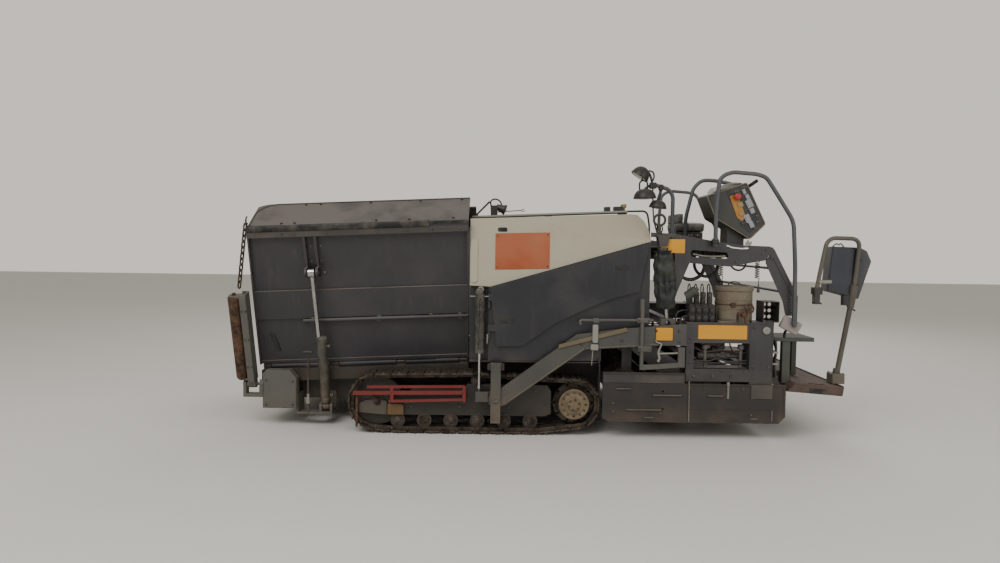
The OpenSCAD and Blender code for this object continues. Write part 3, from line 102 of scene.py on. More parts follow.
def wornPaint(name, paint, **changes):
    s = {**paintDefaults, **changes}
    mat, tree = startMaterial(name)
    place = addNode(tree, "TexCoord", out="Object")
    facing = addNode(tree, "TexCoord", out="Normal")
    flat = addNode(tree, "NewGeometry", out="Normal")
    blotch = addNode(tree, "TexNoise", None, {"Vector": place, "Scale": 1000 / s["blotchSize"],
        "Detail": 7.0, "Roughness": 0.6})
    grain = addNode(tree, "TexNoise", None, {"Vector": place, "Scale": 1000 / s["grainSize"],
        "Detail": 6.0, "Roughness": 0.7})
    run = addNode(tree, "Mapping", None, {"Vector": place, "Scale": (1000 / s["runWidth"],
        1000 / s["runWidth"], 1000 / s["runLength"])})
    run = addNode(tree, "TexNoise", None, {"Vector": run, "Scale": 1.0, "Detail": 5.0,
        "Roughness": 0.6})
    soft = addNode(tree, "Bevel", {"samples": 4}, {"Radius": s["round"]})
    edge = addNode(tree, "VectorMath", {"operation": "DOT_PRODUCT"}, {0: soft, 1: flat}, "Value")
    edge = addNode(tree, "MapRange", fitted, {"Value": edge, "From Min": 0.985, "From Max": 0.86})
    up = addNode(tree, "SeparateXYZ", None, {0: facing}, "Z")
    height = addNode(tree, "SeparateXYZ", None, {0: place}, "Z")
    # How much dust: blotches, runs, and what lies on level faces
    inBlotch = addNode(tree, "MapRange", fitted, {"Value": blotch, "From Min": 0.45,
        "From Max": 0.72, "To Max": s["dustShare"]})
    inRun = addNode(tree, "MapRange", fitted, {"Value": run, "From Min": 0.52, "From Max": 0.78,
        "To Max": s["streak"] * 0.6})
    lying = addNode(tree, "MapRange", fitted, {"Value": up, "From Min": 0.35, "From Max": 0.95,
        "To Max": s["topDust"]})
    spread = addNode(tree, "MapRange", fitted, {"Value": blotch, "From Min": 0.22, "From Max": 0.5})
    lying = addNode(tree, "Math", times, {0: lying, 1: spread})
    dusty = addNode(tree, "Math", larger, {0: inBlotch, 1: inRun})
    dusty = addNode(tree, "Math", larger, {0: dusty, 1: lying})
    # Old enamel is a little darker in soft clouds
    cloud = addNode(tree, "MapRange", fitted, {"Value": blotch, "From Min": 0.6, "From Max": 0.35,
        "To Max": s["tone"]})
    shade = tuple(c * 0.62 for c in linear(paint)[:3]) + (1.0,)
    colour = addNode(tree, "Mix", colours, {0: cloud, 6: linear(paint), 7: shade}, 2)
    colour = addNode(tree, "Mix", colours, {0: dusty, 6: colour, 7: linear(s["dust"])}, 2)
    # Rust in spots, and edges chipped to primer or rust
    spots = addNode(tree, "Math", {"operation": "MULTIPLY"}, {0: blotch, 1: grain})
    spots = addNode(tree, "MapRange", fitted, {"Value": spots, "From Min": 0.32, "From Max": 0.41,
        "To Max": s["rustShare"]})
    colour = addNode(tree, "Mix", colours, {0: spots, 6: colour, 7: linear(s["rust"])}, 2)
    chips = addNode(tree, "Math", times, {0: edge, 1: s["edge"]})
    uneven = addNode(tree, "Math", times, {0: grain, 1: 0.55})
    chips = addNode(tree, "Math", plus, {0: chips, 1: uneven})
    chips = addNode(tree, "MapRange", fitted, {"Value": chips, "From Min": 0.62, "From Max": 0.74,
        "To Max": min(1.0, s["edge"] + 0.1)})
    under = addNode(tree, "MapRange", fitted, {"Value": run, "From Min": 0.35, "From Max": 0.6})
    under = addNode(tree, "Mix", colours, {0: under, 6: linear(s["bare"]), 7: linear(s["rust"])}, 2)
    colour = addNode(tree, "Mix", colours, {0: chips, 6: colour, 7: under}, 2)
    # Mud up to a height
    low = addNode(tree, "MapRange", fitted, {"Value": height, "From Min": s["mudTop"],
        "From Max": s["mudTop"] * 0.15, "To Max": s["mudShare"]})
    spread = addNode(tree, "MapRange", fitted, {"Value": blotch, "From Min": 0.3, "From Max": 0.62})
    low = addNode(tree, "Math", times, {0: low, 1: spread})
    colour = addNode(tree, "Mix", colours, {0: low, 6: colour, 7: linear(s["mud"])}, 2)
    matt = addNode(tree, "Math", larger, {0: dusty, 1: chips})
    matt = addNode(tree, "MapRange", fitted, {"Value": matt, "To Min": s["rough"], "To Max": 0.85})
    relief = addNode(tree, "Math", {"operation": "SUBTRACT"}, {0: grain, 1: chips})
    relief = addNode(tree, "Bump", None, {"Strength": s["bump"], "Distance": 0.002,
        "Height": relief, "Normal": soft})
    shader = addNode(tree, "BsdfPrincipled", None, {"Base Color": colour, "Roughness": matt,
        "Metallic": s["metallic"], "Normal": relief})
    addNode(tree, "OutputMaterial", None, {"Surface": shader})
    return mat


# Bare or plated metal: bright where rubbed, with dark oily or rusty patches of a size in
# millimetres
def bareMetal(name, bright, dark, share=0.5, rough=0.3, patchSize=110, metallic=1.0,
        roundEdge=0.003, bump=0.2):
    mat, tree = startMaterial(name)
    place = addNode(tree, "TexCoord", out="Object")
    patch = addNode(tree, "TexNoise", None, {"Vector": place, "Scale": 1000 / patchSize,
        "Detail": 8.0, "Roughness": 0.68})
    fine = addNode(tree, "TexNoise", None, {"Vector": place, "Scale": 1000 / 8, "Detail": 4.0})
    mask = addNode(tree, "MapRange", fitted, {"Value": patch, "From Min": 0.42, "From Max": 0.62,
        "To Max": share})
    speck = addNode(tree, "MapRange", fitted, {"Value": fine, "From Min": 0.4, "From Max": 0.7,
        "To Max": 0.35})
    colour = addNode(tree, "Mix", colours, {0: mask, 6: linear(bright), 7: linear(dark)}, 2)
    colour = addNode(tree, "Mix", colours, {0: speck, 6: colour, 7: linear(dark)}, 2)
    matt = addNode(tree, "MapRange", fitted, {"Value": mask, "To Min": rough,
        "To Max": min(0.95, rough + 0.5)})
    soft = addNode(tree, "Bevel", {"samples": 4}, {"Radius": roundEdge})
    relief = addNode(tree, "Bump", None, {"Strength": bump, "Distance": 0.002, "Height": patch,
        "Normal": soft})
    shader = addNode(tree, "BsdfPrincipled", None, {"Base Color": colour, "Roughness": matt,
        "Metallic": metallic, "Normal": relief})
    addNode(tree, "OutputMaterial", None, {"Surface": shader})
    return mat


# Rubber, moulded plastic and coated cloth: a fine grain, and pale dust in the hollows
def softSurface(name, base, dust="#8a8272", share=0.35, rough=0.6, grainSize=4, bump=0.35,
        sheen=0.0):
    mat, tree = startMaterial(name)
    place = addNode(tree, "TexCoord", out="Object")
    patch = addNode(tree, "TexNoise", None, {"Vector": place, "Scale": 1000 / 140, "Detail": 7.0,
        "Roughness": 0.65})
    fine = addNode(tree, "TexNoise", None, {"Vector": place, "Scale": 1000 / grainSize,
        "Detail": 3.0})
    mask = addNode(tree, "MapRange", fitted, {"Value": patch, "From Min": 0.45, "From Max": 0.7,
        "To Max": share})
    colour = addNode(tree, "Mix", colours, {0: mask, 6: linear(base), 7: linear(dust)}, 2)
    relief = addNode(tree, "Bump", None, {"Strength": bump, "Distance": 0.0012, "Height": fine})
    shader = addNode(tree, "BsdfPrincipled", None, {"Base Color": colour, "Roughness": rough,
        "Sheen Weight": sheen, "Normal": relief})
    addNode(tree, "OutputMaterial", None, {"Surface": shader})
    return mat


# Every finish, named for the real one; the comment says what it gives the eye
finish = {
    # Charcoal enamel of the hopper's outside: even and dull, faint dust, rust only along worn edges
    "wing": wornPaint("charcoalEnamelOnSteel", "#323134", dust="#6d6661", dustShare=0.1,
        rustShare=0.1, rough=0.48, streak=0.22, mudTop=0.6, mudShare=0.3, topDust=0.92, tone=0.2,
        edge=0.75, bare="#7e7b74"),
    # The same dark enamel on the engine's doors, cleaner and glossier
    "flank": wornPaint("navyBlackEnamel", "#26272c", dust="#5b564d", dustShare=0.2, rustShare=0.06,
        rough=0.36, streak=0.25, edge=0.45, mudTop=0.8, topDust=0.6),
    # Warm light grey enamel of the hood, sun-dulled, with dust on its flat top
    "hood": wornPaint("pebbleGreyEnamel", "#aaa490", dust="#8f8673", rustShare=0.08, rust="#8a6a4a",
        bare="#c9c3b1", rough=0.42, edge=0.35, topDust=0.3, tone=0.12),
    # Chassis enamel, mostly under mud and soot
    "frame": wornPaint("chassisGreyEnamel", "#201f1e", dust="#4f473b", rustShare=0.25, mudTop=1.0,
        mud="#40372c", mudShare=0.6),
    # Front beam and brackets, scraped by truck wheels down to grey primer
    "beam": wornPaint("scrapedGreyEnamel", "#565550", dust="#6f685c", rustShare=0.25,
        bare="#8f8a80", edge=0.85, mudTop=0.5, mud="#5d5243", rough=0.6),
    # Hopper plate and augers, ground bright by gravel and stained by bitumen
    "hopper": wornPaint("gravelPolishedPlate", "#403b36", dust="#2a2523", dustShare=0.7,
        rustShare=0.6, bare="#a19a90", metallic=0.35, rough=0.42, blotchSize=250, mudShare=0.2),
    # Galvanised tube under slate enamel: cool blue grey, chipped pale where hands rub it
    "rail": wornPaint("slateEnamelTube", "#43464a", dust="#6f6b62", rough=0.4, round=0.002,
        edge=0.4, bare="#98968f"),
    # Black powder coat on brackets: faint grain, grey dust on top
    "blackSteel": wornPaint("blackPowderCoat", "#1b1b1b", dust="#5e584d", dustShare=0.25,
        rustShare=0.1, round=0.003, edge=0.45),
    # Brown-grey enamel of the tow arms, worn to steel by the pins and chains
    "towSteel": wornPaint("brownGreyArmEnamel", "#434340", dust="#5d5649", dustShare=0.35,
        rustShare=0.35, bare="#8a8377", edge=0.8, rough=0.55, mudTop=0.6),
    # Faded red enamel of the guard rails, under a brown film
    "red": wornPaint("fadedRedEnamel", "#741719", dust="#553530", edge=0.35, bare="#8f5a50",
        mudTop=0.7, mudShare=0.25, round=0.002),
    # Screed plates: bitumen, rust and burnt paint
    "screed": wornPaint("bitumenStainedPlate", "#2a2624", dust="#453a30", dustShare=0.5,
        rust="#52301f", rustShare=0.6, bare="#7b7064", rough=0.6, blotchSize=200, mudTop=0.35,
        mud="#5a4b3c"),
    # Dark grey enamel of the screed's upper boxes, fairly clean
    "portal": wornPaint("darkGreyEnamel", "#313133", dust="#5c564c", rustShare=0.15, rough=0.42,
        streak=0.35),
    # Tread plate of the rear walkway: red-brown rust, polished on its ridges
    "walkway": wornPaint("rustedTreadPlate", "#483630", dust="#6d6058", dustShare=0.45,
        rust="#54382b", rustShare=0.6, bare="#8b8076", metallic=0.2, rough=0.5, blotchSize=170,
        mudShare=0.2),
    # Cabinet enamel, a grey navy with a dull film
    "navy": wornPaint("navyEnamelCabinet", "#191d27", dust="#55555a", rustShare=0.04, rough=0.42),
    "beige": wornPaint("sandBeigeEnamel", "#746d5b", dust="#565045", dustShare=0.5, rustShare=0.35,
        rough=0.5, streak=0.7),
    # Rubbed stripe under the rubber lip: enamel polished pale by shovels
    "rimBand": wornPaint("rubbedRimEnamel", "#403c39", dust="#6b6257", dustShare=0.5, rustShare=0.3,
        edge=0.75, rough=0.42, mudTop=0.3),
    # Cylinder enamel with pale scuffs and oily runs
    "cylinder": wornPaint("cylinderEnamel", "#33332f", dust="#7a7969", dustShare=0.5,
        rustShare=0.25, bare="#a5a48f", rough=0.4, streak=1.0, blotchSize=120, runWidth=22,
        runLength=180),
    "orange": wornPaint("signalOrangeEnamel", "#a04f2b", dust="#9c7a5c", rustShare=0.05, edge=0.2,
        rough=0.4),
    "yellow": wornPaint("signYellowEnamel", "#cf9114", dust="#a58a4a", dustShare=0.25,
        rustShare=0.05, edge=0.3, bare="#6a6459"),
    # Console and seat base: dark olive-grey structure paint
    "console": wornPaint("oliveGreyEnamel", "#34342f", dust="#5d5a4f", dustShare=0.35,
        rustShare=0.08, edge=0.5, bare="#7a705f", rough=0.5, streak=0.2),
    "paleBrown": wornPaint("rubbedBrownRim", "#6f6354", dust="#8b7f6c", dustShare=0.4,
        rustShare=0.3, edge=0.5, rough=0.5),
    "amberPanel": wornPaint("amberFrontPlate", "#a06a1e", dust="#b58a4c", dustShare=0.45,
        rust="#b04a20", rustShare=0.5, edge=0.2, rough=0.4, blotchSize=60),
    "pale": wornPaint("paleGreyEnamel", "#86877f", dust="#716c61", dustShare=0.4, rustShare=0.15,
        edge=0.4),
    # Forged and rolled track steel, polished on the grousers and caked between them
    "track": bareMetal("wornTrackSteel", "#554b41", "#2b221c", share=0.9, rough=0.5, patchSize=90,
        metallic=0.45, bump=0.5),
    "sprocket": bareMetal("dustyCastSteel", "#776850", "#4c4030", share=0.55, rough=0.6,
        patchSize=70, metallic=0.1, bump=0.4),
    "rust": bareMetal("rustedRollerSteel", "#5e4330", "#2f2119", share=0.95, rough=0.62,
        patchSize=62, metallic=0.2, bump=0.6),
    "chrome": bareMetal("hardChromeRod", "#b9b9b6", "#5b554b", share=0.3, rough=0.16, patchSize=160,
        bump=0.02),
    "chainSteel": bareMetal("oiledChainSteel", "#57503f", "#221c16", share=0.8, rough=0.45,
        patchSize=17, metallic=0.6),
    "zinc": bareMetal("zincPlatedBolt", "#65625b", "#332e27", share=0.75, rough=0.4, patchSize=25,
        metallic=0.7),
    "brightSteel": bareMetal("rubbedSteelHandle", "#8f8b82", "#544d42", rough=0.35, metallic=0.5),
    # Heated plates and the scraped sole: dark blue-brown steel with a bitumen film
    "sole": bareMetal("scouredSoleSteel", "#6f6a63", "#2a2420", share=0.8, rough=0.4, patchSize=80),
    # Hot mix that has set on the steel: black stones in bitumen, about 12 mm each
    "mix": bareMetal("setAsphaltMix", "#2b2927", "#151413", share=0.6, rough=0.75, patchSize=12,
        metallic=0.0, bump=1.0),
    "rubber": softSurface("blackRubber", "#161616", share=0.3, rough=0.7),
    "plastic": softSurface("blackAbsPlastic", "#1a1b1d", share=0.2, rough=0.45, grainSize=3),
    # Mud dried on the shoes, light brown and crumbly
    "mud": bareMetal("driedTrackMud", "#5a4a38", "#33291f", share=0.7, rough=0.9, patchSize=40,
        metallic=0.0, bump=0.8),
    "trackPlate": wornPaint("mudGreyPlate", "#4a4640", dust="#655b4b", dustShare=0.5, rustShare=0.4,
        mudTop=0.6, mud="#57493a"),
    "ochre": wornPaint("ochreAdjusterBlock", "#6b5029", dust="#5b4a35", dustShare=0.5,
        rustShare=0.5, mudTop=0.5, mud="#4d4032"),
    "tanBar": wornPaint("tanBarEnamel", "#665943", dust="#786a52", dustShare=0.5, rustShare=0.3,
        edge=0.7),
    "armSteel": wornPaint("armEdgeSteel", "#58534a", dust="#6c6454", rustShare=0.4, edge=0.8),
    "paleSteel": wornPaint("paleGalvanisedSteel", "#4f4e49", dust="#5f594e", bare="#85837a",
        edge=0.45, rough=0.42),
    "olive": wornPaint("oliveDrabEnamel", "#3f443c", dust="#5d5b4c", dustShare=0.4, rustShare=0.15),
    # Tube of the rear post and its rail, brown grey under hand grease
    "postTube": wornPaint("brownGreyTube", "#4d4840", dust="#6f685a", dustShare=0.4, rough=0.4,
        round=0.002, bare="#8d877b", edge=0.4),
    "boxSide": wornPaint("greyCabinetSide", "#3d3d41", dust="#5f5c57", rustShare=0.04),
    "guardGreen": wornPaint("darkGreenEnamel", "#16281f", dust="#3f4238", rustShare=0.1),
    "signBrown": wornPaint("signBorderFilm", "#4f3620", dust="#5d4f3c", rustShare=0.0, edge=0.1),
    "padGrey": softSurface("mouldedGreyPad", "#8a807b", dust="#a59c92", share=0.4, rough=0.55,
        grainSize=3),
    "redPlastic": softSurface("redKnobPlastic", "#9a2320", share=0.15, rough=0.35, grainSize=3),
    "knob": softSurface("amberKnobPlastic", "#8f7a4a", share=0.3, rough=0.4, grainSize=3),
    "button": softSurface("greyButtonPlastic", "#8b8d90", share=0.3, rough=0.4, grainSize=3),
    # Lamp glass over a silvered bowl: a pale dull shine
    "lens": bareMetal("silveredLampGlass", "#c9cbc9", "#8f8f8a", share=0.2, rough=0.12,
        patchSize=60, bump=0.02),
    # PVC-coated cloth, dark bottle green: soft shine, dusty on the folds
    "sleeve": softSurface("coatedClothSleeve", "#141b17", dust="#4b4a3c", share=0.4, rough=0.55,
        grainSize=3, bump=0.5, sheen=0.1),
    # Seat vinyl faded by sun, embossed grain
    "seat": softSurface("seatVinyl", "#4a4a48", dust="#a29c8c", share=0.6, rough=0.5, grainSize=3),
}
print("stage: finishes made,", len(finish))


# Faces between the rows and columns of a grid of points, closed round the columns if asked
def gridQuads(rows, cols, wrap=False):
    a, b = np.meshgrid(np.arange(rows - 1), np.arange(cols if wrap else cols - 1), indexing="ij")
    nextB = (b + 1) % cols
    return np.stack([a * cols + b, (a + 1) * cols + b, (a + 1) * cols + nextB, a * cols + nextB],
        -1).reshape(-1, 4).tolist()


# Turns the faces outwards by the sign of the volume under them: the sum of a . (b x c) over fans of
# triangles
def outward(points, faces):
    fans = np.array([[f[0], f[k], f[k + 1]] for f in faces for k in range(1, len(f) - 1)])
    v = (points - points.mean(axis=0))[fans]
    volume = np.einsum("ij,ij->i", v[:, 0], np.cross(v[:, 1], v[:, 2])).sum()
    return faces if volume > 0 else [f[::-1] for f in faces]


# Several forms in one, each form's faces numbered on from the last one's points
def joined(*forms):
    points, faces, start = [], [], 0
    for p, f in forms:
        points.append(p)
        faces += [[i + start for i in face] for face in f]
        start += len(p)
    return np.concatenate(points), faces


# A profile of rings: ring i is centre[i] + radius[i] * (cos k * across[i] + sin k * up[i]), both
# ends capped
def ringForm(centre, radius, across, up, count):
    turn = np.arange(count) * 2 * np.pi / count
    cos, sin = np.cos(turn)[None, :, None], np.sin(turn)[None, :, None]
    rings = centre[:, None] + radius[:, None, None] * (cos * across[:, None] + sin * up[:, None])
    n = len(centre)
    caps = [list(range(count)), list(range((n - 1) * count, n * count))[::-1]]
    points = rings.reshape(-1, 3)
    return points, outward(points, gridQuads(n, count, True) + caps)


# A round bar along a path, its rings square to the path
def tubeForm(path, radius, count=12, reference=(0.13, 1.0, 0.07)):
    path = np.asarray(path, float)
    along = np.gradient(path, axis=0)
    along /= np.linalg.norm(along, axis=1, keepdims=True)
    across = np.cross(along, reference)
    across /= np.linalg.norm(across, axis=1, keepdims=True)
    return ringForm(path, np.broadcast_to(np.asarray(radius, float), (len(path),)), across,
        np.cross(across, along), count)


# A profile of (distance along, radius) turned about an axis
def turnedForm(profile, centre, axis, count=32):
    profile = np.asarray(profile, float)
    axis = np.asarray(axis, float) / np.linalg.norm(axis)
    helper = np.array([0.0, 0.0, 1.0]) if abs(axis[2]) < 0.9 else np.array([1.0, 0.0, 0.0])
    across = np.cross(axis, helper)
    across /= np.linalg.norm(across)
    n = len(profile)
    return ringForm(np.asarray(centre, float) + profile[:, :1] * axis, profile[:, 1],
        np.tile(across, (n, 1)), np.tile(np.cross(axis, across), (n, 1)), count)


# Catmull-Rom curve through points, with a number of steps in each stretch
def softPath(points, steps=8):
    p = np.asarray(points, float)
    padded = np.concatenate([p[:1], p, p[-1:]])
    t = (np.arange(steps) / steps)[None, :, None]
    a, b, c, d = (padded[i:len(p) - 1 + i, None] for i in range(4))
    curve = 0.5 * (2 * b + (c - a) * t + (2 * a - 5 * b + 4 * c - d) * t ** 2
        + (3 * b - a - 3 * c + d) * t ** 3)
    return np.concatenate([curve.reshape(-1, 3), p[-1:]])


# A path with each corner rounded by a quadratic curve that starts a set reach before it
def roundedPath(points, reach=0.06, steps=6):
    p = np.asarray(points, float)
    back, ahead = p[:-2] - p[1:-1], p[2:] - p[1:-1]
    lenBack, lenAhead = (np.linalg.norm(v, axis=1, keepdims=True) for v in (back, ahead))
    cut = np.minimum(reach, 0.45 * np.minimum(lenBack, lenAhead))
    a, c = p[1:-1] + back / lenBack * cut, p[1:-1] + ahead / lenAhead * cut
    t = np.linspace(0, 1, steps + 1)[None, :, None]
    bends = (1 - t) ** 2 * a[:, None] + 2 * t * (1 - t) * p[1:-1, None] + t ** 2 * c[:, None]
    return np.concatenate([p[:1], bends.reshape(-1, 3), p[-1:]])


# A block between two corners, turned by an optional 3x3 matrix about its middle
def blockForm(low, high, turn=None):
    low, high = np.asarray(low, float), np.asarray(high, float)
    corner = np.array([[x, y, z] for x in (0, 1) for y in (0, 1) for z in (0, 1)], float)
    middle = (low + high) / 2
    points = (corner - 0.5) * (high - low)
    if turn is not None:
        points = points @ np.asarray(turn).T
    faces = [[0, 1, 3, 2], [4, 6, 7, 5], [0, 4, 5, 1], [2, 3, 7, 6], [0, 2, 6, 4], [1, 5, 7, 3]]
    return points + middle, outward(points, faces)


# A flat outline in its own plane, made solid between two depths: origin + a*u + b*v + depth*w
def plateForm(outline, origin, u, v, depths):
    outline = np.asarray(outline, float)
    u, v = np.asarray(u, float), np.asarray(v, float)
    w = np.cross(u, v)
    flat = np.asarray(origin, float) + outline[:, :1] * u + outline[:, 1:] * v
    n = len(outline)
    points = np.concatenate([flat + depths[0] * w, flat + depths[1] * w])
    ring = [[i, (i + 1) % n, n + (i + 1) % n, n + i] for i in range(n)]
    caps = [list(range(n))[::-1], list(range(n, 2 * n))]
    return points, outward(points, ring + caps)


# A closed profile carried along stations: ring i holds the profile's points at station i
def sweptForm(rings):
    rings = np.asarray(rings, float)
    n, m = rings.shape[:2]
    points = rings.reshape(-1, 3)
    caps = [list(range(m)), list(range((n - 1) * m, n * m))[::-1]]
    return points, outward(points, gridQuads(n, m, True) + caps)


# Faces of a grid that is closed round both its rows and its columns
def hoopQuads(rows, cols):
    x, y = np.meshgrid(np.arange(rows), np.arange(cols), indexing="ij")
    corners = (x, y), ((x + 1) % rows, y), ((x + 1) % rows, (y + 1) % cols), (x, (y + 1) % cols)
    return np.stack([i * cols + k for i, k in corners], -1).reshape(-1, 4).tolist()


# A ring of round wire: circle of radius big about an axis, with wire radius small
def hoopForm(centre, axis, big, small, count=32, sides=10):
    axis = np.asarray(axis, float) / np.linalg.norm(axis)
    helper = np.array([0.0, 0.0, 1.0]) if abs(axis[2]) < 0.9 else np.array([1.0, 0.0, 0.0])
    u = np.cross(axis, helper)
    u /= np.linalg.norm(u)
    v = np.cross(axis, u)
    a = (np.arange(count) * 2 * np.pi / count)[:, None, None]
    b = (np.arange(sides) * 2 * np.pi / sides)[None, :, None]
    outwards = np.cos(a) * u + np.sin(a) * v
    rings = (np.asarray(centre, float) + outwards * (big + small * np.cos(b))
        + small * np.sin(b) * axis)
    points = rings.reshape(-1, 3)
    return points, outward(points, hoopQuads(count, sides))


# The same form on the other side of the machine
def mirrored(form):
    points, faces = form
    return points * np.array([1.0, -1.0, 1.0]), [f[::-1] for f in faces]


# A form of the left side (1), or its mirror image for the right (-1)
def forSide(side, form):
    return form if side == 1 else mirrored(form)


# The form and its mirror image in one
def onBothSides(form):
    return joined(form, mirrored(form))


# The outline of a rectangle with round corners, about its middle
def roundedRect(width, height, corner, steps=5):
    turn = np.linspace(0, np.pi / 2, steps)
    parts = []
    for k, (sx, sy) in enumerate(((1, 1), (-1, 1), (-1, -1), (1, -1))):
        a = turn + k * np.pi / 2
        parts.append(np.stack([sx * (width / 2 - corner) + corner * np.cos(a),
            sy * (height / 2 - corner) + corner * np.sin(a)], 1))
    return np.concatenate(parts)


# A machine bolt with its washer, standing out along +Z from the seat
def boltForm(size):
    washer = turnedForm([(-0.002, size * 1.15), (size * 0.2, size * 1.15)], (0, 0, 0), (0, 0, 1),
        12)
    head = turnedForm([(size * 0.2, size * 0.95), (size * 0.85, size * 0.95),
        (size * 0.95, size * 0.75)], (0, 0, 0), (0, 0, 1), 6)
    return joined(washer, head)


# Copies of a form at points, with its +Z along each point's outward direction
def copiesForm(form, spots, outwards):
    base, faces = form
    spots = np.asarray(spots, float).reshape(-1, 3)
    z = np.broadcast_to(np.asarray(outwards, float), spots.shape)
    z = z / np.linalg.norm(z, axis=1, keepdims=True)
    helper = np.where(np.abs(z[:, 2:]) < 0.9, [[0.0, 0.0, 1.0]], [[1.0, 0.0, 0.0]])
    x = np.cross(helper, z)
    x /= np.linalg.norm(x, axis=1, keepdims=True)
    y = np.cross(z, x)
    points = (spots[:, None] + base[None, :, :1] * x[:, None] + base[None, :, 1:2] * y[:, None]
        + base[None, :, 2:] * z[:, None]).reshape(-1, 3)
    return points, [[i + k * len(base) for i in f] for k in range(len(spots)) for f in faces]


# Machine bolts at spots, standing along an outward direction
def bolts(size, spots, outwards=(0, -1, 0)):
    return copiesForm(boltForm(size), spots, outwards)


# Points in the plane at y, from their (x, z)
def sideSpots(y, spots):
    return [(x, y, z) for x, z in spots]


# A flat outline of (x, z) about a place, made solid between two depths outwards from the left side
def sidePlate(outline, place, depths):
    return plateForm(outline, place, (1, 0, 0), (0, 0, 1), depths)


# A round bar bent softly through points
def bentTube(points, radius, count=12, steps=6):
    return tubeForm(softPath(points, steps), radius, count)


# Puts a form into the scene: smooth below the given angle, edges rounded by a small bevel
def makePiece(name, form, look, body="machine", smooth=35.0, bevel=0.0):
    points, faces = form
    mesh = bpy.data.meshes.new(name)
    mesh.from_pydata(points.tolist(), [], faces)
    mesh.update()
    piece = bpy.data.objects.new(name, mesh)
    scene.collection.objects.link(piece)
    mesh.materials.append(finish[look])
    mesh.polygons.foreach_set("use_smooth", [smooth > 0] * len(mesh.polygons))
    if smooth:
        mesh.set_sharp_from_angle(angle=math.radians(smooth))
    if bevel:
        edge = piece.modifiers.new("edge", "BEVEL")
        edge.width, edge.segments, edge.limit_method = bevel, 2, "ANGLE"
    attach(piece, body)
    return piece


# A piece made of a form and its mirror image
def makePair(name, form, look, body="machine", **how):
    return makePiece(name, onBothSides(form), look, body, **how)


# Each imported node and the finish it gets
nodeLooks = {
    "frame": ["main_frame", "tunnel_roof", "track_frames", "auger_frame"],
    "beam": ["front_beam", "push_bracket_left", "push_bracket_right"],
    "hopper": ["hopper_floor", "conveyor", "auger_left", "auger_right"],
    "blackSteel": ["engine_block", "hood_rack", "lamp_mast", "valve_bank", "console"],
    "hood": ["hood"],
    "flank": ["body_panels", "side_door_left", "side_door_right"],
    "rail": ["handrails"],
    "seat": ["seat_box"],
    "track": ["track_left", "track_right", "sprockets"],
    "red": ["track_guards"],
    "towSteel": ["tow_posts", "tow_points", "tow_arms"],
    "paleSteel": ["sensor_brackets"],
    "rubber": ["hoses"],
    "wing": ["wing_left", "wing_right"],
    "cylinder": ["wing_barrel_left", "wing_barrel_right", "lift_barrels", "level_barrels"],
    "chrome": ["wing_rod_left", "wing_rod_right", "lift_rods"],
    "sole": ["screed_plate"],
    "rust": ["push_roller_left", "push_roller_right"],
    "screed": ["screed_frame", "extension_left", "extension_right", "end_plate_left",
        "end_plate_right"],
    "portal": ["screed_portals", "platform", "boarding_ladder"],
    "beige": ["canister"],
    "walkway": ["walkway"],
    "postTube": ["control_box"],
}
for look, names in nodeLooks.items():
    for name in names:
        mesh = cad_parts[name].data
        mesh.materials.clear()
        mesh.materials.append(finish[look])
print("stage: packed nodes finished,", sum(len(n) for n in nodeLooks.values()))

# Camera at the photograph's place, from the vanishing lines and the machine's width
shot = {"place": (-0.49, -7.85, 1.76), "focalPixels": 735, "photoWidth": 1000, "pitch": 2.95,
    "roll": 0.77}
camera = bpy.data.cameras.new("camera")
camera.sensor_width = 36
camera.lens = camera.sensor_width * shot["focalPixels"] / shot["photoWidth"]
camera.clip_end = 200
cameraObject = bpy.data.objects.new("camera", camera)
scene.collection.objects.link(cameraObject)
pitch, roll = math.radians(shot["pitch"]), math.radians(shot["roll"])
level, above = Vector((1, 0, 0)), Vector((0, math.sin(pitch), math.cos(pitch)))
right = level * math.cos(roll) + above * math.sin(roll)
top = above * math.cos(roll) - level * math.sin(roll)
back = right.cross(top)
turned = Matrix((right, top, back)).transposed().to_4x4()
cameraObject.matrix_world = Matrix.Translation(shot["place"]) @ turned
scene.camera = cameraObject


# Crimped hose end and its hexagon nut, along +Z
def hoseEnd(radius):
    sleeve = turnedForm([(0.0, radius * 1.35), (0.004, radius * 1.45), (0.03, radius * 1.45),
        (0.034, radius * 1.2)], (0, 0, 0), (0, 0, 1), 20)
    nut = turnedForm([(-0.012, radius * 1.55), (0.002, radius * 1.55)], (0, 0, 0), (0, 0, 1), 6)
    return joined(sleeve, nut)


# Hydraulic hoses that hang in bows under the platform: down, half a circle, and up again
hoseBows = {
    "underDeck": 1.7377, "lean": 0.02,
    "bows": [("thickHoseBow", 0.017, 1.284, 0.975, 1.586, 0.136),
        ("hoseBow", 0.014, 1.446, 0.94, 1.59, 0.112),
        ("thinHoseBow", 0.009, 1.718, 1.02, 1.615, 0.072)],
}
for name, radius, middle, side, height, reach in hoseBows["bows"]:
    a = np.linspace(np.pi, 2 * np.pi, 33)
    arc = np.stack([middle + reach * np.cos(a), -side + hoseBows["lean"] * np.sin(a),
        height + reach * np.sin(a)], 1)
    ends = np.linspace(hoseBows["underDeck"], height, 7)[:-1, None]
    down = np.concatenate([np.full((6, 1), middle - reach), np.full((6, 1), -side), ends], 1)
    up = down[::-1] + [2 * reach, 0, 0]
    path = np.concatenate([down, arc, up])
    hose = makePiece(name, tubeForm(path, radius, 18), "rubber")
    tips = makePiece(name + "Ends", copiesForm(hoseEnd(radius), path[[0, -1]] - [0, 0, 0.013],
        (0, 0, -1)), "zinc")
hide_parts("hoses")

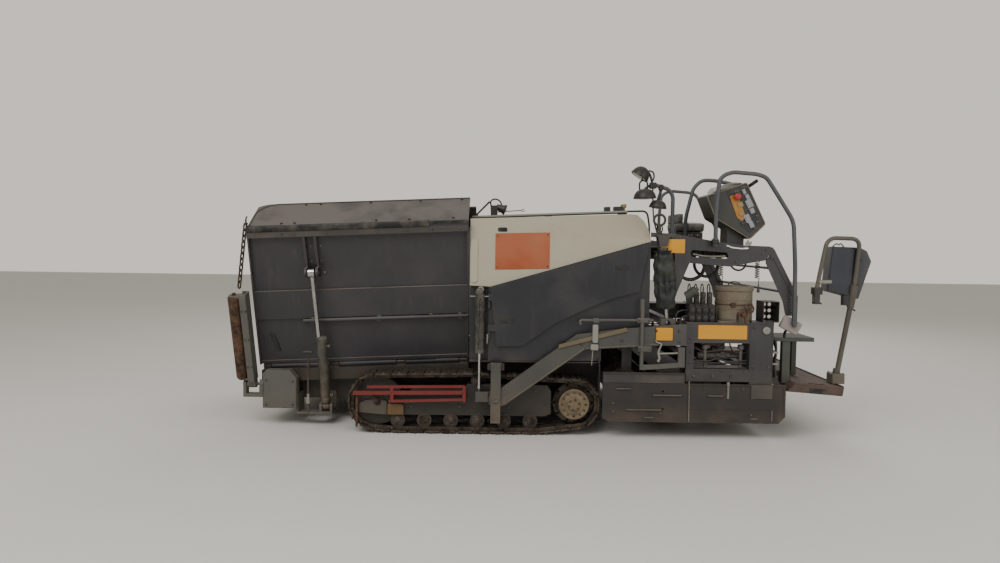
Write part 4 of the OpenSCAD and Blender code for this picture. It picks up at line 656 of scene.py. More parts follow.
# Thin pilot hoses that bow from the valves' posts over into the screed's box
pilotHoses = {"posts": [1.26, 1.32, 1.38, 1.44], "radius": 0.005, "from": -1.105, "to": -1.021,
    "top": 1.339, "rise": 0.03, "low": 1.0705}
for k, x in enumerate(pilotHoses["posts"]):
    s = pilotHoses
    bow = (s["to"] - s["from"]) / 2
    a = np.linspace(np.pi, 0, 19)
    up = np.stack([np.full(4, x), np.full(4, s["from"]),
        np.linspace(s["top"], s["top"] + s["rise"], 5)[:-1]], 1)
    arc = np.stack([np.full(19, x), s["from"] + bow + bow * np.cos(a),
        s["top"] + s["rise"] + bow * np.sin(a)], 1)
    down = np.stack([np.full(12, x), np.full(12, s["to"]),
        np.linspace(s["top"] + s["rise"], s["low"], 13)[1:]], 1)
    path = np.concatenate([up, arc, down])
    hose = makePiece(f"pilotHose{k + 1}", tubeForm(path, s["radius"]), "rubber", "screed")
    tips = makePiece(f"pilotHoseEnds{k + 1}",
        joined(copiesForm(hoseEnd(s["radius"]), path[:1] + [0, 0, 0.012], (0, 0, 1)),
        copiesForm(hoseEnd(s["radius"]), path[-1:] + [0, 0, 0.012], (0, 0, 1))), "zinc", "screed")

# Coiled leads of the hand controls, hanging from under the platform with their plugs. The lead runs
# down a line beside the coil's axis, and its slope eases from upright to the coil's pitch and back:
# with slope w, the turn grows by cos(w) ds / radius and the height falls by sin(w) ds
coiledLeads = {
    "wire": 0.0035, "coil": 0.019, "pitch": 0.0165, "perTurn": 18, "ease": 0.05, "tail": 0.05,
    "leads": [("coiledLeadFront", (1.63, -0.86, 1.7377), 11, 0.05),
        ("coiledLeadRear", (1.905, -1.06, 1.7377), 9, 0.09)],
}
for name, exit, turns, lead in coiledLeads["leads"]:
    s = coiledLeads
    turnLength = 2 * np.pi * s["coil"]
    total = turns * math.hypot(turnLength, s["pitch"]) + s["ease"]
    n = int(total / turnLength * s["perTurn"])
    step = total / n
    along = (np.arange(n) + 0.5) * step
    ease = np.clip(np.minimum(along, total - along) / s["ease"], 0, 1)
    ease = ease * ease * (3 - 2 * ease)
    slope = np.pi / 2 + (math.atan(s["pitch"] / turnLength) - np.pi / 2) * ease
    turned = np.concatenate([[0], np.cumsum(np.cos(slope)) * step / s["coil"]])
    fall = np.concatenate([[0], np.cumsum(np.sin(slope)) * step])
    top = exit[2] - lead
    coil = np.stack([exit[0] - s["coil"] * (1 - np.cos(turned)),
        exit[1] + s["coil"] * np.sin(turned), top - fall], 1)
    path = np.concatenate([[list(exit)], coil, [coil[-1] - [0, 0, s["tail"] / 2],
        coil[-1] - [0, 0, s["tail"]]]])
    lead = makePiece(name, tubeForm(path, s["wire"], 10), "rubber")
    end = path[-1]
    plug = makePiece(name + "Plug", turnedForm([(-0.03, 0.0045), (-0.006, 0.007), (0.0, 0.011),
        (0.03, 0.012), (0.034, 0.014), (0.046, 0.014), (0.05, 0.012)], end, (0, 0, -1), 24),
        "plastic")
    grommet = makePiece(name + "Gland",
        turnedForm([(-0.001, 0.012), (0.008, 0.012), (0.022, 0.006)], exit, (0, 0, -1), 20),
        "plastic")
print("stage: hoses and leads laid")

# A wing's own directions: its hinge's rear end, along it, up its plate and out of it
def wingFrame(side):
    c, s, cl, sl = math.cos(rake), math.sin(rake), math.cos(lean), math.sin(lean)
    origin = np.array([paver["wingRear"], -side * paver["hingeHalf"], paver["hingeHeight"]])
    return (origin, np.array([c, 0, s]), np.array([-s * cl, -side * sl, c * cl]),
        np.array([s * sl, -side * cl, -c * sl]))


# Points on a wing from their place along the machine, height up the plate and distance out of it
def onWing(side, x, up, out):
    origin, along, rise, outwards = wingFrame(side)
    x, up, out = (np.asarray(v, float)[..., None] for v in np.broadcast_arrays(x, up, out))
    reach = (x - origin[0] - up * rise[0] - out * outwards[0]) / along[0]
    return origin + reach * along + up * rise + out * outwards


# Points on the leaf that leans in from the rim: place along, reach across it, height off it
def onLeaf(side, x, reach, off):
    origin, along, rise, outwards = wingFrame(side)
    tilt = math.radians(paver["leafRise"])
    across = np.array([-math.sin(rake) * math.sin(tilt), side * math.cos(tilt),
        math.cos(rake) * math.sin(tilt)])
    normal = np.cross(along, across) * side
    x, reach, off = (np.asarray(v, float)[..., None] for v in np.broadcast_arrays(x, reach, off))
    start = origin + (paver["wingTall"] - 0.01) * rise
    flat = start + reach * across + off * normal
    return flat + (x - flat[..., :1]) / along[0] * along


# A strip with a closed profile of (up, out) carried along places on a wing
def wingStrip(side, stations, profile):
    profile = np.asarray(profile, float)
    return sweptForm(onWing(side, np.asarray(stations, float)[:, None], profile[None, :, 0],
        profile[None, :, 1]))


# The steel chain that holds a folded push roller: round wire bent to long links, each turned a
# quarter to the last
chain = {"wire": 0.0075, "long": 0.066, "wide": 0.031, "from": (-2.797, -1.196, 1.905),
    "to": (-2.862, -1.178, 1.33)}


# Links from start to end: each is a loop of two half circles and two straight sides, and its wire
# is a circle about that loop; s holds the wire's radius and the link's length and width
def chainForm(start, end, s):
    start, end = np.asarray(start), np.asarray(end)
    span = np.linalg.norm(end - start)
    along = (end - start) / span
    pitch = s["long"] - 2 * s["wire"] * 0.92
    count = int(round(span / pitch))
    turn = np.linspace(0, 2 * np.pi, 17)[:-1]
    straight = (s["long"] - s["wide"]) / 2
    loop = np.stack([s["wide"] / 2 * np.cos(turn),
        straight * np.sign(np.round(np.sin(turn), 6)) + s["wide"] / 2 * np.sin(turn)], 1)
    helper = np.cross(along, [0, 1, 0])
    u = helper / np.linalg.norm(helper)
    v = np.cross(along, u)
    forms = []
    for k in range(count):
        middle = start + along * span * (k + 0.5) / count
        angle = np.pi / 2 * (k % 2) + 0.5
        flat = u * math.cos(angle) + v * math.sin(angle)
        ring = middle + loop[:, :1] * flat + loop[:, 1:] * along
        normal = np.cross(flat, along)
        outwards = np.roll(ring, -1, 0) - np.roll(ring, 1, 0)
        outwards = np.cross(outwards, normal)
        outwards /= np.linalg.norm(outwards, axis=1, keepdims=True)
        b = (np.arange(8) * 2 * np.pi / 8)[None, :, None]
        tube = ring[:, None] + s["wire"] * (np.cos(b) * outwards[:, None] + np.sin(b) * normal)
        points = tube.reshape(-1, 3)
        forms.append((points, outward(points, hoopQuads(16, 8))))
    return joined(*forms)


# Hardware of the hopper's wings: rubber lip on the rim, bolts, leaf edging, pins and clamps
wingGear = {
    "lipHigh": 1.398, "lipLow": 1.349, "lipOut": 0.071, "bolt": 0.0085, "leafBolt": 0.011,
    "rimBolts": [-2.7, -2.46, -2.35, -2.05, -1.6, -1.34, -1.1, -0.86],
    "leafBolts": [-2.33, -2.19, -1.72, -1.25, -0.86], "leafTop": 0.404,
}
for name, side in sides.items():
    wing = f"wing_{name}"
    g = wingGear
    origin, along, rise, outwards = wingFrame(side)
    thick = [(g["lipLow"], 0.057), (g["lipLow"], g["lipOut"] - 0.004),
        (g["lipLow"] + 0.006, g["lipOut"]), (g["lipHigh"] - 0.006, g["lipOut"]),
        (g["lipHigh"], g["lipOut"] - 0.005), (g["lipHigh"], 0.026), (1.3865, 0.026),
        (1.3865, 0.0585)]
    thin = [(1.372, 0.057), (1.372, 0.064), (1.3955, 0.064), (1.3955, 0.036), (1.3865, 0.036),
        (1.3865, 0.0585)]
    wave = 0.0022 * np.sin(np.linspace(0, 19, 40)) + 0.0014 * np.sin(np.linspace(1, 47, 40))
    stations = np.linspace(paver["wingFront"] + 0.004, -1.132, 40)
    rings = onWing(side, stations[:, None], np.array(thick)[None, :, 0] + wave[:, None] * 0.5,
        np.array(thick)[None, :, 1] + np.clip(wave[:, None], -0.001, 1))
    makePiece(f"rimLipThick_{name}", sweptForm(rings), "rubber", wing, smooth=40)
    makePiece(f"rimLipThin_{name}", wingStrip(side, [-1.131, -0.79], thin), "rubber", wing)
    # Pale rubbed band under the lip, its bolts, and the bolts along the leaf
    band = [(1.292, 0.057), (1.292, 0.0615), (1.346, 0.0615), (1.346, 0.057)]
    makePiece(f"rimBand_{name}", wingStrip(side, [paver["wingFront"] + 0.003, -0.785], band),
        "rimBand", wing, bevel=0.0015)
    x = np.array(g["rimBolts"])
    makePiece(f"rimBolts_{name}", bolts(g["bolt"], onWing(side, x, 1.319, 0.0612), outwards),
        "zinc", wing)
    tilt = math.radians(paver["leafRise"])
    leafAcross = [-math.sin(rake) * math.sin(tilt), side * math.cos(tilt),
        math.cos(rake) * math.sin(tilt)]
    leafUp = np.cross(along, leafAcross) * side
    leafSpots = np.concatenate([onLeaf(side, np.array(g["leafBolts"]), g["leafTop"] - 0.03, 0.0098),
        onLeaf(side, np.array([-2.48, -2.36, -1.62, -1.32, -0.92]), 0.035, 0.0098)])
    makePiece(f"leafBolts_{name}", bolts(g["leafBolt"], leafSpots, leafUp), "rust", wing)
    # Edge strip round the leaf's front corner and along its top
    corner, wide = 0.2, paver["leafWide"]
    a = np.linspace(np.pi, np.pi / 2, 14)
    front = paver["wingFront"]
    edgeX = np.concatenate([[front + 0.003] * 4, front + corner + (corner - 0.003) * np.cos(a),
        np.linspace(front + corner + 0.1, -0.786, 12)])
    edgeReach = np.concatenate([np.linspace(0.02, wide - corner - 0.02, 4),
        wide - corner + (corner - 0.003) * np.sin(a), np.full(12, wide - 0.003)])
    middleLine = onLeaf(side, edgeX, edgeReach, 0.005)
    inside = onLeaf(side, edgeX + np.concatenate([[0.014] * 4, -0.014 * np.cos(a), np.zeros(12)]),
        edgeReach - np.concatenate([np.zeros(4), 0.014 * np.sin(a), np.full(12, 0.014)]), 0.005)
    inward = inside - middleLine
    corners = (-0.09, -0.0095), (-0.09, 0.0095), (1, 0.0095), (1, -0.0095)
    rings = np.stack([middleLine + k * inward + lift * leafUp for k, lift in corners], 1)
    makePiece(f"leafEdge_{name}", sweptForm(rings), "blackSteel", wing)
    # Lock bolts of the ears, bolts of the eye's plate, clamps of the thin rod, hook at the front
    # corner
    eyeX = onWing(side, -2.16, 0.963, 0.108)
    ears = np.stack([eyeX + along * d for d in (-0.0745, 0.0745)])
    makePiece(f"eyePinHeads_{name}", joined(bolts(0.02, ears[:1], -along),
        bolts(0.02, ears[1:], along)), "zinc", wing)
    makePiece(f"eyePlateBolts_{name}",
        bolts(0.009, onWing(side, np.array([-2.205, -2.115, -2.205, -2.115]),
        np.array([1.06, 1.06, 1.2, 1.2]), 0.0578), outwards), "zinc", wing)
    rodSpots = onWing(side, np.array([-2.24, -1.62, -1.135, -0.86]), 0.47, 0.03)
    clamps = [blockForm(p - [0.018, 0.02, 0.03], p + [0.018, 0.02, 0.03]) for p in rodSpots]
    makePiece(f"rodClamps_{name}", joined(*clamps), "zinc", wing, bevel=0.003)
    hookPath = onWing(side, np.array([-2.768, -2.772, -2.777, -2.776, -2.768]),
        np.array([1.33, 1.385, 1.43, 1.462, 1.487]), np.array([0.03, 0.03, 0.032, 0.028, 0.016]))
    makePiece(f"chainHook_{name}", bentTube(hookPath, np.linspace(0.011, 0.006, 25)), "blackSteel",
        wing)
    # Flat black bar slanted low on the wing: its dark colour is painted shade, standing in for a
    # dark slanting slot
    slantX = np.array([-2.665, -2.625, -2.575, -2.61])
    slantUp = np.array([0.345, 0.345, 0.165, 0.165])
    slant = np.stack([onWing(side, slantX, slantUp, out) for out in (0.0125, 0.024)])
    makePiece(f"slantedShadeBar_{name}", sweptForm(slant), "blackSteel", wing, bevel=0.002)
    # Chain from the hook down to the folded push roller
    start = np.array(chain["from"]) * [1, side, 1]
    end = np.array(chain["to"]) * [1, side, 1]
    makePiece(f"holdChain_{name}", chainForm(start, end, chain), "chainSteel", wing)
    makePiece(f"chainShackle_{name}", tubeForm(np.linspace(start + [0.022, 0.004 * side, 0.006],
        start + [-0.008, 0, -0.004], 5), 0.0075), "zinc", wing)
print("stage: wings fitted out")

# Wing cylinders: gland, scuffed barrel with weld seams and ports, and the tube of the foot's eye. A
# turned profile of (height up the axis, radius) about the line from the foot pin to the rod's eye
wingCylinder = {"x": -2.16, "eyeUp": 0.963, "eyeOut": 0.108, "footDrop": 0.4, "footOut": 0.862,
    "footUp": 0.1804, "radius": 0.0455, "gland": 0.0515, "length": 0.705, "port": 0.013}
for name, side in sides.items():
    s = wingCylinder
    eye = onWing(side, s["x"], s["eyeUp"], s["eyeOut"])
    foot = np.array([s["x"] + math.sin(rake) * s["footDrop"], -side * s["footOut"], s["footUp"]])
    axis = (eye - foot) / np.linalg.norm(eye - foot)
    r, g, l = s["radius"], s["gland"], s["length"]
    profile = [(0.03, 0.024), (0.05, 0.036), (0.052, r), (0.074, r), (0.078, r + 0.003),
        (0.086, r + 0.003), (0.09, r), (l - 0.05, r), (l - 0.048, g), (l - 0.006, g),
        (l - 0.002, g - 0.004), (l, 0.03), (l + 0.006, 0.028), (l + 0.008, 0.024)]
    ports = [turnedForm([(r - 0.01, s["port"]), (r + 0.014, s["port"]),
        (r + 0.016, s["port"] * 1.4), (r + 0.03, s["port"] * 1.4)], foot + axis * h, [1, 0, 0], 10)
        for h in (0.115, l - 0.09)]
    eyeTube = turnedForm([(-0.03, 0.026), (-0.03, 0.036), (0.03, 0.036), (0.03, 0.026)], foot,
        [1, 0, 0], 28)
    barrel = makePiece(f"wingBarrel_{name}", joined(turnedForm(profile, foot, axis, 40), eyeTube,
        *ports), "cylinder", f"wing_barrel_{name}")
    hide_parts(f"wing_barrel_{name}")

# Hood: blank orange plate, small vent, pressed strip, ringed boss, bracket line, seams and hoop
# handle
hoodGear = {"sign": [(-0.536, 1.522), (-0.04, 1.537), (-0.04, 1.868), (-0.536, 1.853)],
    "signThick": 0.004, "vent": (-0.472, 1.888), "ventSize": (0.085, 0.038),
    "strip": (-0.728, 1.605), "stripSize": (0.07, 0.41), "boss": (-0.665, 1.34)}
s = hoodGear
forSign = sidePlate(s["sign"], (0, paver["skin"], 0), (0, s["signThick"]))
makePair("hoodSignPlates", forSign, "orange", bevel=0.0015)
signScrews = bolts(0.006, sideSpots(-1.1535, [(-0.515, 1.545), (-0.06, 1.558), (-0.06, 1.846),
    (-0.515, 1.832)]))
makePair("hoodSignScrews", signScrews, "zinc")
centre = np.array([s["vent"][0], paver["skin"], s["vent"][1]])
frameRing = [sidePlate(roundedRect(s["ventSize"][0], s["ventSize"][1], 0.012), centre, (0, 0.004))]
blades = [sidePlate(roundedRect(s["ventSize"][0] - 0.016, 0.004, 0.0018, 3), centre + [0, 0, dz],
    (0.0035, 0.0075)) for dz in (-0.012, -0.004, 0.004, 0.012)]
makePair("hoodVents", joined(*frameRing, *blades), "plastic", bevel=0.0006)
strip = sidePlate(roundedRect(*s["stripSize"], 0.03, 7), (s["strip"][0], paver["skin"],
    s["strip"][1]), (0, 0.009))
makePair("hoodPressedStrips", strip, "hood", bevel=0.006)
boss = turnedForm([(-0.01, 0.03), (0.028, 0.03), (0.034, 0.026), (0.034, 0.016), (0.026, 0.014),
    (0.026, 0.001)], (s["boss"][0], -1.15, s["boss"][1]), (0, -1, 0), 28)
makePair("ringedBosses", boss, "pale")
bracketLine = blockForm((-0.762, -1.19, 1.274), (-0.59, -1.148, 1.284))
makePair("recessBrackets", bracketLine, "pale", bevel=0.002)
hoop = roundedPath(sideSpots(-0.83, [(0.7, 2.045), (0.7, 2.082), (0.9, 2.088), (0.925, 1.95),
    (0.925, 1.845), (0.872, 1.83)]), 0.05, 7)
makePair("hoodHoops", tubeForm(hoop, 0.009, 14), "blackSteel")
slope = math.tan(rake)


# Height of the raked hood's top: its front height + (x - its front) * slope
def hoodTop(x):
    return paver["hoodFrontHeight"] + (x - paver["bodyFront"]) * slope


lid = []
for y in (-0.62, 0.62):
    run = np.array([[x, y, hoodTop(x) + 0.0005] for x in (-0.757, 0.7)])
    lid.append(sweptForm(run[:, None] + np.array([[0, -0.004, -0.004], [0, 0.004, -0.004],
        [0, 0.004, 0.004], [0, -0.004, 0.004]])))
for x in (-0.28, 0.22):
    z = hoodTop(x) + 0.0005
    lid.append(blockForm((x - 0.004, -0.62, z - 0.004), (x + 0.004, 0.62, z + 0.004)))
makePiece("hoodTopSeals", joined(*lid), "rubber", bevel=0.0015)
latches = [joined(plateForm(roundedRect(0.11, 0.055, 0.012), (x, y, hoodTop(x)), (1, 0, slope),
    (0, 1, 0), (0, 0.004)), plateForm(roundedRect(0.06, 0.02, 0.008), (x, y, hoodTop(x)),
    (1, 0, slope), (0, 1, 0), (0.003, 0.012))) for x in (-0.55, 0.45) for y in (-0.56, 0.56)]
makePiece("hoodLatches", joined(*latches), "blackSteel", bevel=0.002)
louvres = [plateForm([(-0.4, 0.0), (0.4, 0.0), (0.39, 0.012), (-0.39, 0.012)], (0.8815, 0, z),
    (0, -1, 0), (0.35, 0, 1), (0.0, 0.006)) for z in np.arange(1.4, 1.72, 0.032)]
makePiece("rearGrilleBlades", joined(*louvres), "blackSteel", bevel=0.001)
doorPull = [joined(sidePlate(roundedRect(0.13, 0.05, 0.014), (x, -1.1795, z), (0, 0.004)),
    sidePlate(roundedRect(0.045, 0.024, 0.008), (x - 0.03, -1.1795, z), (0.003, 0.011)))
    for x, z in ((0.62, 1.56), (-0.42, 1.06))]
for name, side in sides.items():
    makePiece(f"doorLatches_{name}", forSide(side, joined(*doorPull)), "blackSteel",
        f"side_door_{name}", bevel=0.0015)


# A point on the raked hood: along it, across, and up from its top
def onHood(x, y, z):
    c, k = math.cos(rake), math.sin(rake)
    return np.array([paver["bodyFront"] + x * c - z * k, y,
        paver["hoodFrontHeight"] + x * k + z * c])


# Stowed bar on the hood: pale strip, knob, work lamp with its bent arm and lever
rack = {"y": -0.78, "lampFrom": (0.236, 0.118), "lampTo": (0.3195, 0.0843)}
turn = np.array([[math.cos(rake), 0, -math.sin(rake)], [0, 1, 0],
    [math.sin(rake), 0, math.cos(rake)]])
strip = blockForm(onHood(0.74, rack["y"], 0.035) - [0.738, 0.061, 0.0016],
    onHood(0.74, rack["y"], 0.035) + [0.738, 0.061, 0.0016], turn)
lip = blockForm(onHood(0.74, rack["y"] - 0.0612, 0.028) - [0.738, 0.0014, 0.008],
    onHood(0.74, rack["y"] - 0.0612, 0.028) + [0.738, 0.0014, 0.008], turn)
makePiece("rackPaleStrip", joined(strip, lip), "pale", bevel=0.0008)
makePiece("rackKnob", turnedForm([(-0.03, 0.014), (0.0, 0.014), (0.004, 0.026), (0.03, 0.029),
    (0.038, 0.024), (0.042, 0.01)], onHood(1.455, rack["y"], 0.062),
    (-math.sin(rake), 0, math.cos(rake)), 28), "knob")
lampFrom, lampTo = (onHood(p[0], rack["y"], p[1]) for p in (rack["lampFrom"], rack["lampTo"]))
axis = (lampTo - lampFrom) / np.linalg.norm(lampTo - lampFrom)
makePiece("workLampRim", turnedForm([(-0.012, 0.0455), (-0.012, 0.0505), (0.004, 0.0505),
    (0.006, 0.0475)], lampTo, axis, 36), "blackSteel")
makePiece("workLampLens", turnedForm([(0.0, 0.046), (0.004, 0.045), (0.01, 0.03), (0.012, 0.012),
    (0.0125, 0.001)], lampTo, axis, 36), "lens")
arm = softPath([onHood(x, rack["y"], z) for x, z in [(0.19, 0.125), (0.182, 0.165), (0.215, 0.19),
    (0.262, 0.178), (0.285, 0.142), (0.272, 0.116)]], 7)
makePiece("workLampArm", tubeForm(arm, 0.0075, 14), "blackSteel")
lever = np.array([onHood(x, rack["y"], z) for x, z in [(0.235, 0.066), (0.3, 0.069), (0.39, 0.072),
    (0.478, 0.075)]])
makePiece("rackLever", joined(tubeForm(lever, 0.0055), hoopForm(lever[-1] + [0.012, 0, 0],
    (0, 1, 0), 0.012, 0.004, 20, 8)), "brightSteel")
print("stage: hood and its stowed bar done")


# A lamp: a closed bowl of (depth, radius) about its axis, with a rolled rim; the glass is set just
# inside the rim
def lampBowl(centre, axis, radius, depth):
    r, d = radius, depth
    bowl = [(-d, r * 0.16), (-d * 0.98, r * 0.3), (-d * 0.9, r * 0.52), (-d * 0.72, r * 0.74),
        (-d * 0.45, r * 0.9), (-d * 0.2, r * 0.965), (-0.012, r * 0.975), (-0.012, r),
        (-0.004, r * 1.01), (0.003, r), (0.004, r * 0.95), (-0.004, r * 0.93)]
    glass = [(-0.008, r * 0.945), (-0.001, r * 0.93), (0.008, r * 0.6), (0.011, r * 0.3),
        (0.012, 0.001)]
    return turnedForm(bowl, centre, axis, 40), turnedForm(glass, centre, axis, 40)


# Lamp mast: a bent tube in a socket, three lamps on clamps and brackets, and the upper lamp's guard
# loop
mast = {
    "y": -0.9, "radius": 0.0185,
    "path": [(1.127, 1.742), (1.127, 2.226), (1.089, 2.29), (0.919, 2.342)],
    "upper": {"centre": (0.806, 2.405), "axis": (-0.55, 0, -0.835), "radius": 0.088, "depth": 0.1},
    "middle": {"centre": (0.862, 2.205), "axis": (0.04, 0, -1), "radius": 0.106, "depth": 0.088},
    "lower": {"centre": (0.985, 2.118), "axis": (-0.12, 0, -1), "radius": 0.082, "depth": 0.072},
}
y = mast["y"]
path = roundedPath(sideSpots(y, mast["path"]), 0.06, 9)
socket = [(0.0, 0.03), (0.0, 0.06), (0.012, 0.06), (0.014, 0.034), (0.19, 0.033), (0.194, 0.029),
    (0.194, 0.02)]
tube = makePiece("mastTube", joined(tubeForm(path, mast["radius"], 20),
    turnedForm(socket, (1.127, y, 1.742), (0, 0, 1))), "rail")
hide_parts("lamp_mast")
foot = plateForm(roundedRect(0.12, 0.1, 0.012), (1.13, y, 1.742), (1, 0, 0), (0, 1, 0), (0, 0.013))
footBolts = bolts(0.0085, [(1.13 + a, y + b, 1.755) for a in (-0.045, 0.045)
    for b in (-0.036, 0.036)], (0, 0, 1))
makePiece("mastFoot", joined(foot, footBolts), "blackSteel", bevel=0.0015)
bowls, glasses = [], []
for key in ("upper", "middle", "lower"):
    b = mast[key]
    axis = np.array(b["axis"]) / np.linalg.norm(b["axis"])
    bowl, glass = lampBowl((b["centre"][0], y, b["centre"][1]), axis, b["radius"], b["depth"])
    bowls.append(bowl)
    glasses.append(glass)
makePiece("lampBowls", joined(*bowls), "blackSteel", smooth=50)
makePiece("lampGlasses", joined(*glasses), "lens", smooth=50)
clamps = [blockForm((0.905, y - 0.03, 2.295), (0.965, y + 0.03, 2.352)),
    blockForm((0.99, y - 0.026, 2.28), (1.03, y + 0.026, 2.335)),
    blockForm((0.853, y - 0.02, 2.284), (0.879, y + 0.02, 2.3))]
makePiece("lampClamps", joined(*clamps), "blackSteel", bevel=0.006)
arms = [bentTube([(0.93, y, 2.34), (0.915, y, 2.4), (0.895, y, 2.442), (0.868, y, 2.452),
    (0.852, y, 2.44)], 0.011), bentTube([(0.925, y + 0.02, 2.35), (0.948, y + 0.02, 2.4),
    (0.94, y + 0.02, 2.447), (0.905, y + 0.01, 2.462), (0.872, y, 2.452)], 0.008),
    bentTube([(0.92, y, 2.33), (0.89, y, 2.315), (0.866, y, 2.295), (0.862, y, 2.285)], 0.012),
    bentTube([(1.01, y, 2.3), (1.008, y, 2.26), (0.995, y, 2.22), (0.987, y, 2.185)], 0.014),
    tubeForm([(1.003, y, 2.19), (1.0, y, 2.24), (1.016, y, 2.29)], 0.006, 10)]
makePiece("lampArms", joined(*arms), "blackSteel")
loop = roundedPath([(0.812, y, 2.27), (0.808, y, 2.345), (0.83, y, 2.372), (0.872, y, 2.372),
    (0.885, y, 2.34), (0.884, y, 2.28)], 0.03, 6)
makePiece("lampLoopHandle", tubeForm(loop, 0.008), "blackSteel")
stay = np.array([(0.935, y, 2.3), (0.938, y, 2.2), (0.94, y - 0.02, 2.08), (0.938, y - 0.09, 1.98),
    (0.934, -1.138, 1.876)])
makePiece("lampCableStay", bentTube(stay, 0.007), "blackSteel")

# Lifting ring that stands on the platform's side plate: a hoop on a stem with a nut
ring = {"centre": (0.955, -1.14, 1.994), "radius": 0.05, "wire": 0.0115}
c = np.array(ring["centre"])
stem = turnedForm([(0.0, 0.026), (0.018, 0.026), (0.022, 0.017), (0.06, 0.0145), (0.07, 0.013)],
    (c[0], c[1], 1.874), (0, 0, 1), 24)
ringForms = joined(hoopForm(c, (0.25, 1, 0), ring["radius"], ring["wire"], 36, 12), stem)
makePair("liftingRings", ringForms, "blackSteel")
spare = hoopForm(c + [0.01, 0.03, -0.075], (1, 0.5, 0.2), 0.038, 0.006, 28, 8)
makePair("ringShackles", spare, "chainSteel")
print("stage: lamp mast and rings done")

# Cloth jackets gathered over the lift cylinders. Radius at (height, turn) is
# base + fold * depth(height) * (cos(m*turn + twist*height) + a finer fold), drawn in at two ties
jacket = {"top": (0.99, 1.79), "low": (1.048, 1.0), "y": 1.13, "from": 0.075, "to": 0.6,
    "radius": 0.088, "girth": 0.62, "fold": 0.011, "folds": 9, "thick": 0.0025, "around": 96,
    "rows": 90}
s = jacket
top, low = (np.array([s[k][0], -s["y"], s[k][1]]) for k in ("top", "low"))
along = (low - top) / np.linalg.norm(low - top)
across = np.cross(along, [0, 1, 0])
across /= np.linalg.norm(across)
up = np.cross(across, along)
t = np.linspace(0, 1, s["rows"])[:, None]
a = (np.arange(s["around"]) * 2 * np.pi / s["around"])[None, :]
swell = (1 - 0.3 * np.exp(-((t - 0.03) / 0.035) ** 2) - 0.1 * np.exp(-((t - 0.55) / 0.03) ** 2)
    - 0.22 * np.clip((t - 0.9) / 0.1, 0, 1) ** 2 + 0.1 * np.sin(np.pi * t) ** 2)
depth = 0.55 + 0.45 * np.cos(9 * t + 1)
fold = s["fold"] * depth * (np.cos(s["folds"] * a + 3.1 * t + 0.5 * np.sin(7 * t))
    + 0.45 * np.cos((2 * s["folds"] + 3) * a - 6 * t + 1.3) + 0.3 * np.cos(4 * a + 11 * t))
sag = 0.006 * np.sin(26 * t + 1.7 * np.cos(2 * a))
radius = np.clip(s["radius"] * swell + fold + sag, 0.062, 0.103)
run = s["from"] + (s["to"] - s["from"]) * t
centreLine = top + run[..., None] * along
spoke = np.cos(a)[..., None] * across + np.sin(a)[..., None] * up
outer = centreLine + radius[..., None] * spoke
inner = centreLine + (radius[..., None] - s["thick"]) * spoke
points = np.concatenate([outer, inner[::-1]]).reshape(-1, 3)
rows, count = 2 * s["rows"], s["around"]
last = (rows - 1) * count
closing = [[last + i, i, (i + 1) % count, last + (i + 1) % count] for i in range(count)]
cloth = (points, outward(points, gridQuads(rows, count, True) + closing))
tube = turnedForm([(0.61, 0.019), (0.61, 0.049), (0.05, 0.049), (0.05, 0.03)], top, along, 36)
cylinders = makePair("liftCylinderTubes", tube, "cylinder", "lift_barrels")
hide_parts("lift_barrels")
ties = joined(*[hoopForm(top + along * (s["from"] + (s["to"] - s["from"]) * k), along,
    s["radius"] * w, 0.0045, 36, 8) for k, w in ((0.03, 0.79), (0.55, 0.985))])
makePair("jacketTies", ties, "rubber", "lift_barrels")
for name, side in sides.items():
    piece = makePiece(f"clothJacket_{name}", forSide(side, cloth), "sleeve", "lift_barrels",
        smooth=80)

# Handrails: tubes bent in soft corners, with clamps at their feet
rails = {
    "radius": 0.019, "nearY": -1.2, "farY": -0.45,
    "near": [(1451, 1790), (1451, 2112), (1473, 2361), (1520, 2406), (1595, 2430), (1814, 2414),
        (1895, 2386), (2007, 2219), (2152, 1994), (2179, 1588), (2188, 1036)],
    "far": [(1363, 1752), (1363, 2037), (1433, 2340), (1514, 2420), (1640, 2420), (1826, 2385),
        (1850, 2300), (1850, 1752)],
}
s = rails
nearPath = roundedPath([(x / 1000, s["nearY"], z / 1000) for x, z in s["near"]], 0.07, 9)
farPath = roundedPath([(x / 1000, s["farY"], z / 1000) for x, z in s["far"]], 0.07, 9)
feet = [turnedForm([(0.0, 0.021), (0.0, 0.027), (0.07, 0.027), (0.072, 0.021)],
    (1.451, s["nearY"], 1.762), (0, 0, 1), 24),
    turnedForm([(0.0, 0.02), (0.0, 0.025), (0.03, 0.025), (0.03, 0.02)], (2.187, s["nearY"], 1.062),
    (0, 0, 1), 24)]
near = onBothSides(joined(tubeForm(nearPath, s["radius"], 20), *feet))
far = joined(tubeForm(farPath, s["radius"], 20),
    *[turnedForm([(0.0, 0.034), (0.009, 0.034), (0.012, 0.024), (0.03, 0.022)],
    (x, s["farY"], 1.752), (0, 0, 1), 28) for x in (1.363, 1.85)])
railPiece = makePiece("railTubes", joined(near, far), "rail", smooth=50)
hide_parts("handrails")
clampPlates = joined(blockForm((1.427, -1.196, 1.768), (1.475, -1.152, 1.824)),
    blockForm((2.17, -1.196, 1.064), (2.204, -1.144, 1.09)))
clampBolts = bolts(0.008, [(1.437, -1.228, 1.797), (1.467, -1.228, 1.797)])
saddle = blockForm((1.423, -1.228, 1.775), (1.479, -1.196, 1.819))
makePair("railClamps", joined(clampPlates, saddle, clampBolts), "blackSteel", bevel=0.002)
print("stage: jackets and handrails done")

